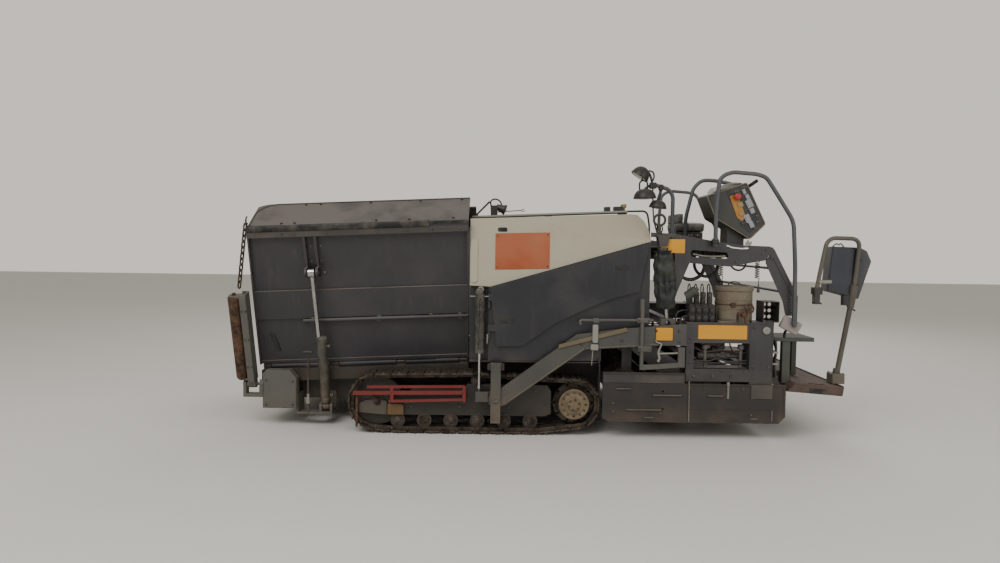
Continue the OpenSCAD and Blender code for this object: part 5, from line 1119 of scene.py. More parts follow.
# Operator's console: a folded box with a raised rim, and its control face on the near side
desk = {"outline": [(1.383, 2.223), (1.747, 2.349), (1.933, 1.97), (1.793, 1.828), (1.467, 2.019)],
    "low": -0.76, "high": -1.108}
s = desk
outline = np.array(s["outline"])
middle = outline.mean(axis=0)


# A closed outline with its corners rounded by short arcs of a given reach
def softOutline(points, reach=0.02, steps=4):
    p = np.asarray(points, float)
    loop = np.concatenate([p[-1:], p, p[:1]])
    back, ahead = loop[:-2] - p, loop[2:] - p
    cutBack = p + back / np.linalg.norm(back, axis=1, keepdims=True) * reach
    cutAhead = p + ahead / np.linalg.norm(ahead, axis=1, keepdims=True) * reach
    t = np.linspace(0, 1, steps + 1)[None, :, None]
    return ((1 - t) ** 2 * cutBack[:, None] + 2 * t * (1 - t) * p[:, None]
        + t ** 2 * cutAhead[:, None]).reshape(-1, 2)


shape = softOutline(outline, 0.018)
body = sidePlate(shape, (0, 0, 0), (-s["low"], -s["high"]))
shrunk = softOutline(middle + (outline - middle) * 0.955, 0.016)
ringA, ringB, ringC, ringD = (np.stack([r[:, 0], np.full(len(r), yy), r[:, 1]], 1)
    for r, yy in ((shape, s["high"] + 0.002), (shape, s["high"] - 0.008),
    (shrunk, s["high"] - 0.008), (shrunk, s["high"] + 0.001)))
rimRings = np.stack([ringA, ringB, ringC, ringD], 1)
points = rimRings.reshape(-1, 3)
rimFaces = outward(points, hoopQuads(len(rimRings), 4))
pedestal = blockForm((1.6, -1.04, 1.742), (1.76, -0.83, 1.95))
casing = makePiece("consoleCasing", joined(body, pedestal), "console", bevel=0.004)
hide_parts("console")
makePiece("consoleRim", (points, rimFaces), "paleBrown")
# Control face, laid out in its own directions: down the slope, and along it
down = np.array([0.186, 0, -0.379]) / np.linalg.norm([0.186, 0, -0.379])
acrossFace = np.array([down[2], 0, -down[0]]) * -1
amber = sidePlate(softOutline([(1.592, 2.222), (1.668, 2.238), (1.748, 2.035), (1.716, 1.992),
    (1.668, 2.026)], 0.014), (0, s["high"] + 0.001, 0), (0, 0.006))
makePiece("controlPanelAmber", amber, "amberPanel", bevel=0.0015)
back = sidePlate(softOutline([(1.56, 2.262), (1.742, 2.322), (1.898, 1.985), (1.79, 1.885),
    (1.7, 1.955)], 0.016), (0, s["high"] + 0.001, 0), (0, 0.003))
makePiece("controlPanelBlack", back, "plastic", bevel=0.001)
spots = {"greyA": [(1.724, 2.262, 0.05, 0.03), (1.757, 2.215, 0.05, 0.034),
    (1.775, 2.155, 0.075, 0.055), (1.803, 2.09, 0.05, 0.04), (1.762, 2.02, 0.075, 0.05),
    (1.8, 1.965, 0.06, 0.04)], "amber": [(1.692, 2.145, 0.05, 0.05), (1.7, 2.06, 0.04, 0.04)]}
for look, rows in (("button", spots["greyA"]), ("knob", spots["amber"])):
    keys = [joined(plateForm(roundedRect(h, w, 0.006), (px, s["high"] - 0.001, pz), -down,
        -acrossFace, (0, 0.012)), plateForm(roundedRect(h * 0.6, w * 0.6, 0.004),
        (px, s["high"] - 0.001, pz), -down, -acrossFace, (0.01, 0.017))) for px, pz, h, w in rows]
    makePiece(f"consoleKeys_{look}", joined(*keys), look, bevel=0.002)
stop = turnedForm([(0.0, 0.017), (0.014, 0.017), (0.016, 0.031), (0.03, 0.033), (0.038, 0.028),
    (0.041, 0.012), (0.042, 0.001)], (1.662, s["high"] - 0.003, 2.215), (0, -1, 0))
makePiece("stopKnob", stop, "redPlastic", smooth=50)
toggles = joined(*[turnedForm([(0.0, 0.008), (0.006, 0.008), (0.008, 0.004), (0.03, 0.0035),
    (0.034, 0.005), (0.038, 0.003)], (px, s["high"] - 0.002, pz), (0.15, -1, 0.1), 12)
    for px, pz in ((1.7, 2.3), (1.727, 2.305), (1.845, 2.045), (1.852, 1.99), (1.832, 1.93),
    (1.722, 1.975), (1.65, 2.262))])
makePiece("consoleToggles", toggles, "brightSteel")
# Ribbed hand lever: a turned grip whose radius is 16 + 3 mm * ribs, on a bellows
grip = np.linspace(0, 1, 61)
ribs = 0.0032 * np.cos(grip * 2 * np.pi * 9) * (grip < 0.97)
profile = np.stack([0.055 + 0.105 * grip,
    0.0155 + ribs - 0.012 * np.clip((grip - 0.94) / 0.06, 0, 1) ** 2], 1)
bellows = np.linspace(0, 1, 31)
boot = np.stack([-0.004 + 0.062 * bellows,
    0.034 - 0.02 * bellows + 0.004 * np.cos(bellows * 2 * np.pi * 4)], 1)
base = np.array([1.762, -0.98, 2.29])
makePiece("handLever", joined(turnedForm(profile, base, (0.82, 0, 0.57), 24),
    turnedForm(boot, base, (0.82, 0, 0.57), 28)), "plastic", smooth=60)
coverTop = [(1.47, 2.262), (1.505, 2.312), (1.63, 2.35), (1.7, 2.348), (1.72, 2.342), (1.71, 2.332),
    (1.62, 2.302)]
lidForm = sidePlate(softOutline(coverTop, 0.01), (0, 0, 0), (0.8, 1.07))
makePiece("consoleTopCover", lidForm, "pale", bevel=0.004)
deskBolts = bolts(0.007, sideSpots(s["high"] - 0.0005, ((1.43, 2.2), (1.49, 2.06), (1.6, 1.965))))
makePiece("consoleBolts", deskBolts, "zinc")
print("stage: console done")


# A cushion: a rounded slab whose top crowns, whose sides bulge and pull in at its corners, with
# sewn channels pressed into it. Over a grid of (u, v) from -1 to 1 its height is
# half * (1 - max(|u|, |v|)^10)^0.28 + crown * (1 - u^2) * (1 - v^2), less a bell-shaped dip per
# channel
def cushionForm(low, high, crown, channels, depth, count=64):
    low, high = np.asarray(low, float), np.asarray(high, float)
    middle, half = (low + high) / 2, (high - low) / 2
    u = np.linspace(-1, 1, count)
    u = np.sign(u) * (1 - (1 - np.abs(u)) ** 1.5)
    gu, gv = np.meshgrid(u, u, indexing="ij")
    reach = np.maximum(np.abs(gu), np.abs(gv))
    pull = (1 - 0.05 * (np.abs(gu) ** 4) * (np.abs(gv) ** 4)
        - 0.025 * (1 - np.abs(gv) ** 2) * np.abs(gu) ** 8)
    rounding = (1 - reach ** 10) ** 0.28
    top = half[2] * rounding + crown * (1 - gu ** 2) * (1 - gv ** 2)
    for c in channels:
        top = top - depth * np.exp(-((gu - c) / 0.045) ** 2) * rounding
    piping = 0.004 * np.exp(-((reach - 0.965) / 0.012) ** 2)
    upper = np.stack([gu * half[0] * pull, gv * half[1] * pull, top + piping], -1)
    lower = np.stack([gu * half[0] * pull * 0.985, gv * half[1] * pull * 0.985,
        -half[2] * rounding], -1)
    points = np.concatenate([upper.reshape(-1, 3), lower.reshape(-1, 3)]) + middle
    quads = gridQuads(count, count)
    shift = count * count
    edgeLoop = np.concatenate([np.arange(count), np.arange(1, count) * count + count - 1,
        (count - 1) * count + np.arange(count - 2, -1, -1), np.arange(count - 2, 0, -1) * count])
    ahead = np.roll(edgeLoop, -1)
    skirt = np.stack([edgeLoop, ahead, ahead + shift, edgeLoop + shift], 1).tolist()
    faces = [f[::-1] for f in quads] + [[i + shift for i in f] for f in quads] + skirt
    return points, outward(points, faces)


# Operator's seat: a pressed base, a seat pad and a back pad in vinyl with sewn channels
seat = {"pad": ((1.283, -0.418, 1.902), (1.573, 0.038, 1.996)), "back": ((1.284, -0.405, 1.985),
    (1.358, 0.025, 2.088)), "crown": 0.014, "channel": 0.006}
s = seat
baseBox = plateForm(roundedRect(0.27, 0.42, 0.03), (1.425, -0.19, 1.752), (1, 0, 0), (0, 1, 0),
    (0, 0.15))
rib = [blockForm((1.3, -0.403, z), (1.55, -0.398, z + 0.012)) for z in (1.79, 1.83, 1.87)]
basePiece = makePiece("seatBase", joined(baseBox, *rib), "console", bevel=0.005)
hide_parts("seat_box")
padPiece = makePiece("seatPad", cushionForm(*s["pad"], s["crown"], (-0.45, 0.0, 0.45),
    s["channel"]), "seat", smooth=70)
low, high = np.array(s["back"][0]), np.array(s["back"][1])
standing = cushionForm((-0.051, low[1], -0.037), (0.051, high[1], 0.037), 0.006, (-0.3, 0.35),
    0.005)
points, faces = standing
backPoints = np.stack([(low[0] + high[0]) / 2 + points[:, 2], points[:, 1],
    (low[2] + high[2]) / 2 + points[:, 0]], 1)
backPiece = makePiece("seatBack", (backPoints, outward(backPoints, faces)), "seat", smooth=70)
print("stage: seat done")

# Tread studs: six-sided lozenges of half length long and half width wide, raised by high, laid
# along the machine at some spots and across it at the others
def treadStuds(long, short, wide, high, alongSpots, acrossSpots, outwards):
    outline = [(-long, 0), (-short, wide), (short, wide), (long, 0), (short, -wide),
        (-short, -wide)]
    stud = plateForm(outline, (0, 0, 0), (1, 0, 0), (0, 1, 0), (-0.001, high))
    crosswise = (stud[0] @ np.array([[0, 1, 0], [-1, 0, 0], [0, 0, 1.0]]), stud[1])
    return joined(copiesForm(stud, alongSpots, outwards),
        copiesForm(crosswise, acrossSpots, outwards))


# Platform: tread studs on its deck, light strip, blank plates, white patch, rungs
deckGear = {"pitch": 0.046, "top": 1.7495}
s = deckGear
gx, gy = np.meshgrid(np.arange(1.09, 1.94, s["pitch"]), np.arange(-1.1, 1.101, s["pitch"]),
    indexing="ij")
odd = (np.round(gx / s["pitch"]) + np.round(gy / s["pitch"])).astype(int) % 2
where = np.stack([gx, gy, np.full(gx.shape, s["top"])], -1)
studs = treadStuds(0.011, 0.004, 0.0035, 0.002, where[odd == 0], where[odd == 1], (0, 0, 1))
makePiece("deckStuds", studs, "portal", smooth=0)
lightStrip = sweptForm([[(x, y, z) for y, z in ((paver["skin"], zz - 0.008), (-1.157, zz - 0.006),
    (-1.157, zz + 0.006), (paver["skin"], zz + 0.008))] for x, zz in ((1.565, 1.771), (1.62, 1.752),
    (1.7, 1.744), (1.765, 1.748))])
makePiece("platformLightStrip", lightStrip, "lens")
blank = sidePlate(softOutline([(0.967, 1.695), (1.19, 1.695), (1.19, 1.822), (0.975, 1.822)],
    0.006), (0, paver["skin"], 0), (0, 0.003))
makePair("platformSigns", blank, "yellow", bevel=0.0008)
patch = sidePlate(softOutline([(1.735, 1.762), (1.79, 1.775), (1.8, 1.815), (1.772, 1.802),
    (1.768, 1.83), (1.738, 1.8)], 0.004), (0, paver["skin"], 0), (0, 0.003))
makePiece("platformPatch", patch, "pale", bevel=0.0008)
slotTube = bentTube([(1.27, -1.12, 1.69), (1.36, -1.1, 1.672), (1.46, -1.11, 1.668),
    (1.57, -1.12, 1.672)], 0.012)
makePiece("slotPipes", slotTube, "brightSteel")
levers = joined(
    *[joined(tubeForm([(x, -1.08, 1.742), (x + 0.004, -1.085, 1.8), (x + lx, -1.09, 1.845)], 0.005,
    10), turnedForm([(-0.012, 0.004), (-0.006, 0.011), (0.004, 0.0125), (0.012, 0.008),
    (0.015, 0.001)], (x + lx, -1.09, 1.85), (0, 0, 1), 16)) for x, lx in ((1.045, 0.01),
    (1.085, -0.012), (1.225, 0.012), (1.262, 0.0), (1.3, 0.014), (1.335, -0.006))])
makePiece("deckLevers", levers, "plastic")
plateBolts = bolts(0.0095, sideSpots(-1.1498, ((0.915, 1.858), (1.02, 1.858), (1.14, 1.84),
    (1.9, 1.7), (1.93, 1.735), (1.66, 1.62), (1.6, 1.735))))
makePair("platformBolts", plateBolts, "zinc")
rung = [tubeForm([(x, -1.118, z), (x, -0.3, z), (x, 0.3, z), (x, 1.118, z)], 0.013, 14)
    for x, z in ((2.1, 1.56), (2.19, 1.34))]
makePiece("boardingRungs", joined(*rung), "rail")
print("stage: platform dressed")

# Track loop: five circles with the straight runs between them. Places at distances along it come
# from the running sums of arc and run lengths: on an arc the normal turns by distance / radius, on
# a run it stays
trackLoop = {"circles": [(-1.61, 0.29, 0.251), (-0.7, 0.489, 0.071),
    (paver["sprocketX"], paver["axleHeight"], 0.22), (-0.135, 0.119, 0.094), (-1.42, 0.119, 0.094)],
    "shoes": 34, "mid": 1.03, "plate": 0.021}
circles = np.array(trackLoop["circles"])
gap = np.roll(circles[:, :2], -1, 0) - circles[:, :2]
apart = np.linalg.norm(gap, axis=1)
shrink = circles[:, 2] - np.roll(circles[:, 2], -1)
normals = np.arctan2(gap[:, 1], gap[:, 0]) + np.arccos(shrink / apart)
arcs = circles[:, 2] * ((np.roll(normals, 1) - normals) % (2 * np.pi))
runs = np.sqrt(apart ** 2 - shrink ** 2)
ends = np.cumsum(np.stack([arcs, runs], 1).reshape(-1))
loopLength = ends[-1]


# Place, forward direction and outward normal in (x, z) at distances along the loop
def onTrack(distance):
    distance = np.asarray(distance) % loopLength
    part = np.searchsorted(ends, distance, side="right")
    circle, isRun = part // 2, part % 2 == 1
    passed = distance - np.concatenate([[0], ends])[part]
    radius = circles[circle, 2]
    angle = np.where(isRun, normals[circle], np.roll(normals, 1)[circle] - passed / radius)
    normal = np.stack([np.cos(angle), np.sin(angle)], 1)
    forward = np.stack([np.sin(angle), -np.cos(angle)], 1)
    straight = np.where(isRun, passed, 0)[:, None]
    place = circles[circle, :2] + radius[:, None] * normal + straight * forward
    return place, forward, normal


# Copies of a form with local X along the track, Y across the machine and Z outwards
def alongTrack(form, distance, depth, across):
    place, forward, normal = onTrack(distance)
    base, faces = form
    flat = (place[:, None] + base[None, :, :1] * forward[:, None]
        + (base[None, :, 2:] + depth) * normal[:, None])
    y = np.broadcast_to(base[None, :, 1] + across, flat.shape[:2])
    points = np.stack([flat[..., 0], y, flat[..., 1]], -1).reshape(-1, 3)
    every = [[i + k * len(base) for i in f] for k in range(len(place)) for f in faces]
    return points, outward(points, every)


s = trackLoop
pitch = loopLength / s["shoes"]
joints = np.arange(s["shoes"]) * pitch
half = pitch / 2
a = np.linspace(-np.pi / 2, np.pi / 2, 7)
r = s["plate"]
linkOutline = np.concatenate([np.stack([half + r * np.cos(a), r * np.sin(a)], 1),
    np.stack([-half - r * np.cos(a), -r * np.sin(a)], 1)])
link = sidePlate(linkOutline, (0, 0, 0), (-0.004, 0.004))
pinHead = turnedForm([(-0.008, 0.012), (0.008, 0.012), (0.011, 0.009), (0.011, 0.004)], (0, 0, 0),
    (0, -1, 0), 10)
even, odd = np.arange(0, s["shoes"], 2), np.arange(1, s["shoes"], 2)
chainLinks = [alongTrack(link, (even + 0.5) * pitch, -0.0125, -s["mid"] + sy * 0.0825)
    for sy in (-1, 1)]
chainLinks += [alongTrack(link, (odd + 0.5) * pitch, -0.0125, -s["mid"] + sy * 0.0915)
    for sy in (-1, 1)]
pins = alongTrack(pinHead, joints, -0.0125, -s["mid"] - 0.0975)
linkForms = joined(*chainLinks, pins)
makePair("trackLinks", linkForms, "track", smooth=40)
shoeBolt = turnedForm([(-0.001, 0.0095), (0.007, 0.0095), (0.0075, 0.006)], (0, 0, 0), (0, 0, 1), 6)
shoeBolts = joined(*[alongTrack(shoeBolt, (np.arange(s["shoes"]) + 0.5) * pitch + dx, 0.012,
    -s["mid"] + dy) for dx in (-0.036, 0.036) for dy in (-0.062, 0.062)])
makePair("shoeBolts", shoeBolts, "track", smooth=0)
# Mud that has packed against each grouser's foot: a low fillet that wanders in height
wander = 0.004 * np.sin(np.linspace(0, 9, 15)) + 0.003 * np.sin(np.linspace(2, 31, 15))
across = np.linspace(-0.122, 0.122, 15)
mudRings = np.stack([np.stack([np.full(15, 0.0088), across, np.full(15, 0.011)], 1),
    np.stack([0.019 + wander, across, np.full(15, 0.011)], 1),
    np.stack([np.full(15, 0.0088), across, 0.0175 + wander * 0.6], 1)], 1)
mudStrip = sweptForm(mudRings)
packed = alongTrack(mudStrip, (np.arange(s["shoes"]) + 0.5) * pitch, 0.0, -s["mid"])
makePair("packedMud", packed, "mud", smooth=50)

# Wheels of the track: dished roller caps, idler and sprocket hubs with their bolts
wheels = {"face": -1.1185, "rollers": [-1.42, -1.175, -0.93, -0.685, -0.44, -0.195],
    "rollerHeight": 0.119}
s = wheels
capProfile = [(-0.004, 0.05), (0.003, 0.05), (0.005, 0.046), (0.003, 0.036), (0.004, 0.03),
    (0.011, 0.027), (0.014, 0.019), (0.015, 0.001)]
caps = [turnedForm(capProfile, (x, s["face"], s["rollerHeight"]), (0, -1, 0), 36)
    for x in s["rollers"]]
a = np.arange(6) * np.pi / 3 + 0.3
capBolts = np.concatenate([np.stack([x + 0.0405 * np.cos(a[::2]), np.full(3, s["face"] - 0.004),
    s["rollerHeight"] + 0.0405 * np.sin(a[::2])], 1) for x in s["rollers"]])
makePair("rollerCaps", joined(*caps), "track")
makePair("rollerCapBolts", bolts(0.0055, capBolts), "track")
idlerCap = turnedForm([(-0.003, 0.058), (0.004, 0.058), (0.007, 0.052), (0.007, 0.036),
    (0.018, 0.034), (0.022, 0.026), (0.023, 0.001)], (-1.61, -1.1145, 0.29), (0, -1, 0), 40)
idlerBolts = np.stack([-1.61 + 0.0455 * np.cos(a), np.full(6, -1.1215), 0.29 + 0.0455 * np.sin(a)],
    1)
carrierCap = turnedForm([(-0.003, 0.04), (0.003, 0.04), (0.006, 0.03), (0.011, 0.022),
    (0.012, 0.001)], (-0.7, -1.1145, 0.489), (0, -1, 0))
makePair("idlerCaps", joined(idlerCap, carrierCap), "track")
makePair("idlerCapBolts", bolts(0.006, idlerBolts), "track")
axleX, axleZ = paver["sprocketX"], paver["axleHeight"]
hub = turnedForm([(-0.004, 0.141), (0.003, 0.141), (0.006, 0.137), (0.006, 0.124), (0.003, 0.12),
    (0.002, 0.098), (0.006, 0.092), (0.008, 0.078), (0.0085, 0.062)], (axleX, -1.1475, axleZ),
    (0, -1, 0), 64)
hubCap = turnedForm([(-0.002, 0.061), (0.006, 0.06), (0.012, 0.054), (0.013, 0.04), (0.01, 0.03),
    (0.013, 0.018), (0.014, 0.001)], (axleX, -1.157, axleZ), (0, -1, 0), 48)
b = np.arange(12) * np.pi / 6
hubBolts = np.concatenate([np.stack([axleX + 0.1085 * np.cos(b), np.full(12, -1.1495),
    axleZ + 0.1085 * np.sin(b)], 1), np.stack([axleX + 0.047 * np.cos(a), np.full(6, -1.169),
    axleZ + 0.047 * np.sin(a)], 1)])
makePair("sprocketHubs", joined(hub, hubCap), "sprocket")
makePair("sprocketHubBolts", bolts(0.0085, hubBolts), "track")
scraper = sidePlate(softOutline([(-1.775, 0.185), (-1.52, 0.165), (-1.52, 0.3), (-1.7, 0.305),
    (-1.775, 0.275)], 0.02), (0, -1.105, 0), (0, 0.022))
makePair("idlerSidePlates", scraper, "trackPlate", bevel=0.003)
block = sidePlate(softOutline([(-1.512, 0.172), (-1.365, 0.172), (-1.365, 0.262), (-1.4, 0.275),
    (-1.512, 0.272)], 0.012), (0, -1.105, 0), (0, 0.04))
slotMarks = [blockForm((x, -1.1465, 0.19), (x + 0.006, -1.1435, 0.255))
    for x in (-1.475, -1.44, -1.405)]
makePair("trackAdjusterBlocks", joined(block, *slotMarks), "ochre", bevel=0.003)
frameBolts = bolts(0.011, sideSpots(-1.1065, ((-1.22, 0.36), (-1.05, 0.36), (-0.55, 0.4),
    (-0.35, 0.4), (-0.15, 0.4), (-1.3, 0.245), (-0.85, 0.245), (-0.4, 0.245))))
makePair("trackFrameBolts", frameBolts, "zinc")
dropBar = sweptForm([[(-1.8 + dx, -1.18 + dy, z) for dx, dy in ((0, 0), (0.02, 0), (0.02, 0.008),
    (0, 0.008))] for z in (0.06, 0.4)])
makePair("guardDropBars", dropBar, "rust", bevel=0.002)
barBolts = bolts(0.007, sideSpots(-1.1965, ((-0.82, 0.443), (-0.82, 0.388), (-0.82, 0.322),
    (-1.48, 0.385), (-1.48, 0.308))))
makePair("guardBolts", barBolts, "zinc")
print("stage: tracks fitted out")

# Tow arms: tan doubler bar, edge welds, bolts, blank yellow plates, pivot boss; and the level
# cylinders' pipes, bands and rods
tow = {"face": -1.2281}
s = tow
doubler = sidePlate(softOutline([(0.045, 0.818), (0.052, 0.855), (0.66, 1.018), (0.672, 0.982)],
    0.008), (0, s["face"], 0), (0, 0.013))
makePair("armDoublers", doubler, "tanBar", "screed", bevel=0.003)
edge = [sidePlate([(a0[0], a0[1]), (a1[0], a1[1]), (a1[0] - 0.004, a1[1] + 0.012),
    (a0[0] - 0.004, a0[1] + 0.012)], (0, s["face"], 0), (-0.002, 0.005))
    for a0, a1 in (((-0.4, 0.322), (0.284, 0.815)), ((0.3, 0.818), (0.995, 0.862)))]
makePair("armEdgeWelds", joined(*edge), "armSteel", "screed", bevel=0.002)
kneeBolts = bolts(0.012, sideSpots(s["face"], ((0.21, 0.9), (0.255, 0.86), (0.55, 0.955),
    (0.62, 0.9), (0.93, 0.99), (0.93, 0.9), (1.14, 0.99), (1.14, 0.9))))
makePair("armBolts", kneeBolts, "zinc", "screed")
armSign = sidePlate(roundedRect(0.15, 0.115, 0.008), (1.005, s["face"], 0.962), (0, 0.003))
makePair("armSigns", armSign, "yellow", "screed", bevel=0.0008)
armBorder = sidePlate(roundedRect(0.17, 0.135, 0.008), (1.005, s["face"] + 0.001, 0.962),
    (0, 0.002))
makePair("armSignBorders", armBorder, "signBrown", "screed", bevel=0.0005)
pivot = turnedForm([(-0.002, 0.034), (0.006, 0.034), (0.009, 0.029), (0.009, 0.016), (0.006, 0.014),
    (0.006, 0.001)], (-0.517, -1.2499, 0.345), (0, -1, 0))
strapBolts = bolts(0.009, [(-0.54, -1.2499, z) for z in (0.65, 0.61, 0.17)] + [(-0.494, -1.2499, z)
    for z in (0.65, 0.61, 0.17)])
topCap = blockForm((-0.566, -1.252, 0.664), (-0.468, -1.23, 0.682))
makePair("guideStrapFittings", joined(pivot, strapBolts, topCap), "towSteel", bevel=0.0015)
pipes = [bentTube([(x, -1.222, 1.25), (x, -1.229, 1.22), (x, -1.229, 0.86), (x, -1.222, 0.8),
    (x + 0.01, -1.205, 0.782)], 0.006, 10) for x in (-0.683, -0.66)]
bands = [hoopForm((-0.67, -1.182, z), (0, 0, 1), 0.0425, 0.005, 32, 8) for z in (0.9, 1.16)]
gland = turnedForm([(0.0, 0.0435), (0.03, 0.0435), (0.034, 0.038)], (-0.67, -1.182, 0.762),
    (0, 0, 1))
lug = turnedForm([(-0.012, 0.03), (0.004, 0.03), (0.008, 0.024), (0.008, 0.001)],
    (-0.676, -1.2225, 1.323), (0, -1, 0), 28)
makePair("levelCylinderPipes", joined(*pipes), "zinc")
makePair("levelCylinderBands", joined(*bands, gland, lug), "paleSteel")
handle = bentTube([(-0.6, -1.149, 0.93), (-0.6, -1.175, 0.93), (-0.6, -1.178, 0.89),
    (-0.6, -1.175, 0.85), (-0.6, -1.149, 0.85)], 0.006, 10)
levelRod = turnedForm([(0.0, 0.0128), (0.3, 0.0128), (0.302, 0.016), (0.33, 0.016)],
    (-0.67, -1.182, 0.765), (0, 0, -1), 24)
makePair("levelRodSleeves", levelRod, "chrome", "tow_points")
makePair("recessHandles", handle, "pale")

# Grade sensor: round bars on clamps, a moulded sensor body, hook and lever. They take the place of
# the flat bars
sensor = {"y": -1.2385, "bar": 0.0185, "rod": 0.0125, "down": 0.013}
s = sensor
y = s["y"]
bars = [tubeForm([(0.8, y, 1.275), (0.8, y, 1.0), (0.8, y, 0.668)], s["bar"], 20),
    bentTube(sideSpots(y, [(0.9, 1.086), (0.62, 1.084), (0.3, 1.08), (0.262, 1.082), (0.24, 1.07),
    (0.238, 1.05), (0.25, 1.042)]), s["rod"], 16, 8),
    tubeForm(sideSpots(y + 0.002, [(0.8, 1.112), (0.79, 1.2), (0.79, 1.272)]), s["down"])]
foot = sweptForm([[(0.782, y - 0.016, 0.634), (0.782, y + 0.018, 0.634), (0.782, y + 0.018, 0.682),
    (0.782, y - 0.016, 0.682)], [(0.9, y - 0.016, 0.64), (0.9, y + 0.018, 0.64),
    (0.9, y + 0.018, 0.684), (0.9, y - 0.016, 0.684)], [(1.176, y - 0.016, 0.664),
    (1.176, y + 0.018, 0.664), (1.176, y + 0.018, 0.708), (1.176, y - 0.016, 0.708)]])
heel = blockForm((1.128, y - 0.018, 0.662), (1.19, y + 0.024, 0.845))
frameOfBars = makePair("sensorBars", joined(*bars), "paleSteel", "screed")
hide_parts("sensor_brackets")
makePair("sensorFeet", joined(foot, heel), "paleSteel", "screed", bevel=0.004)
clamps = [blockForm((0.752, y - 0.02, 1.062), (0.872, y + 0.018, 1.108)),
    blockForm((0.764, y - 0.02, 0.8), (0.888, y + 0.018, 0.852)),
    blockForm((0.356, y - 0.016, 1.056), (0.412, y + 0.014, 1.1))]
makePair("sensorClamps", joined(*clamps), "paleSteel", "screed", bevel=0.008)
clampBolts = bolts(0.008, sideSpots(y - 0.02, ((0.768, 1.085), (0.856, 1.085), (0.78, 0.826),
    (0.872, 0.826))))
makePair("sensorClampBolts", clampBolts, "zinc", "screed")
housing = joined(sidePlate(roundedRect(0.052, 0.17, 0.016), (0.378, y + 0.008, 0.958), (0, 0.022)),
    sidePlate(roundedRect(0.07, 0.055, 0.012), (0.372, y + 0.008, 0.835), (0, 0.024)))
makePair("sensorHousings", housing, "pale", "screed", bevel=0.006)
thin = [tubeForm([(0.358, y, 0.81), (0.354, y, 0.74), (0.35, y, 0.67)], 0.004, 10),
    bentTube(sideSpots(y, [(0.925, 0.905), (0.94, 0.885), (0.978, 0.872), (0.965, 0.835),
    (0.952, 0.79), (0.962, 0.745), (0.95, 0.71)]), np.linspace(0.006, 0.012, 37), 10),
    tubeForm([(0.96, y, 0.785), (1.05, y, 0.788), (1.15, y, 0.792)], 0.0085)]
makePair("sensorLevers", joined(*thin), "pale", "screed")
# Lock pin beside each wing cylinder: T handle, thin stem, bright tip; and the hinge guard under the
# wing
pin = {"x": -2.232, "y": -1.186}
x, y = pin["x"], pin["y"]
stems = joined(tubeForm([(x, y, 0.165), (x, y, 0.45), (x, y, 0.745)], 0.009),
    tubeForm([(x - 0.04, y, 0.745), (x, y, 0.749), (x + 0.036, y, 0.745)], 0.012),
    turnedForm([(0, 0.008), (0.004, 0.018), (0.03, 0.018), (0.034, 0.008)], (x, y, 0.61), (0, 0, 1),
    18))
makePair("lockPins", stems, "blackSteel")
tips = turnedForm([(0.0, 0.019), (0.055, 0.019), (0.06, 0.012), (0.09, 0.012)], (x, y, 0.275),
    (0, 0, 1), 20)
makePair("lockPinTips", tips, "brightSteel")
for name, side in sides.items():
    strip = wingStrip(side, np.linspace(-1.405, -1.095, 3), [(0.0, 0.0135), (0.055, 0.0135),
        (0.055, 0.022), (0.0, 0.022)])
    makePiece(f"hingeGuard_{name}", strip, "guardGreen", f"wing_{name}", bevel=0.002)
print("stage: tow arms dressed")

# Screed boxes: blank yellow plate on a dark border, folded edges, bolts and the machinery in the
# opening
screedGear = {"face": -1.2201, "sign": ((1.534, 0.985), 0.442, 0.126)}
s = screedGear
(signX, signZ), width, tall = s["sign"]
border = sidePlate(roundedRect(width + 0.024, tall + 0.024, 0.006), (signX, s["face"], signZ),
    (0, 0.002))
sign = sidePlate(roundedRect(width, tall, 0.004), (signX, s["face"] - 0.0018, signZ), (0, 0.0022))
makePair("screedSignBorders", border, "signBrown", "screed", bevel=0.0006)
makePair("screedSigns", sign, "yellow", "screed", bevel=0.0006)
lowerBeam = blockForm((1.206, -1.2225, 0.53), (1.8, -1.185, 0.618))
beamNuts = bolts(0.012, [(x, -1.2225, 0.58) for x in (1.28, 1.45, 1.62)])
boxFoot = blockForm((1.784, -1.2235, 0.5), (1.997, -1.19, 0.625))
makePair("lowerBeams", joined(lowerBeam, boxFoot), "portal", "screed", bevel=0.004)
makePair("lowerBeamBolts", beamNuts, "zinc", "screed")
folds = [blockForm((1.204, -1.223, 1.055), (1.784, -1.2, 1.073)), blockForm((1.204, -1.223, 0.884),
    (1.784, -1.2, 0.898)), blockForm((1.781, -1.2235, 1.062), (1.997, -1.2, 1.081)),
    blockForm((1.781, -1.2235, 0.618), (1.793, -1.2, 1.081)), blockForm((1.984, -1.2235, 0.618),
    (1.997, -1.2, 1.081)), blockForm((1.781, -1.2235, 0.617), (1.997, -1.2, 0.632))]
makePair("screedBoxFolds", joined(*folds), "portal", "screed", bevel=0.004)
boxBolts = bolts(0.0095, sideSpots(s["face"], ((1.24, 1.03), (1.24, 0.92), (1.242, 0.8),
    (1.242, 0.7), (1.82, 1.03), (1.96, 1.03), (1.82, 0.67), (1.96, 0.67), (1.3, 0.628),
    (1.53, 0.628), (1.74, 0.628))))
makePair("screedBoxBolts", boxBolts, "zinc", "screed")
disc = turnedForm([(-0.002, 0.034), (0.01, 0.034), (0.014, 0.028), (0.014, 0.012), (0.01, 0.01),
    (0.01, 0.001)], (1.93, s["face"], 1.005), (0, -1, 0), 28)
makePair("screedBoxBosses", disc, "pale", "screed")
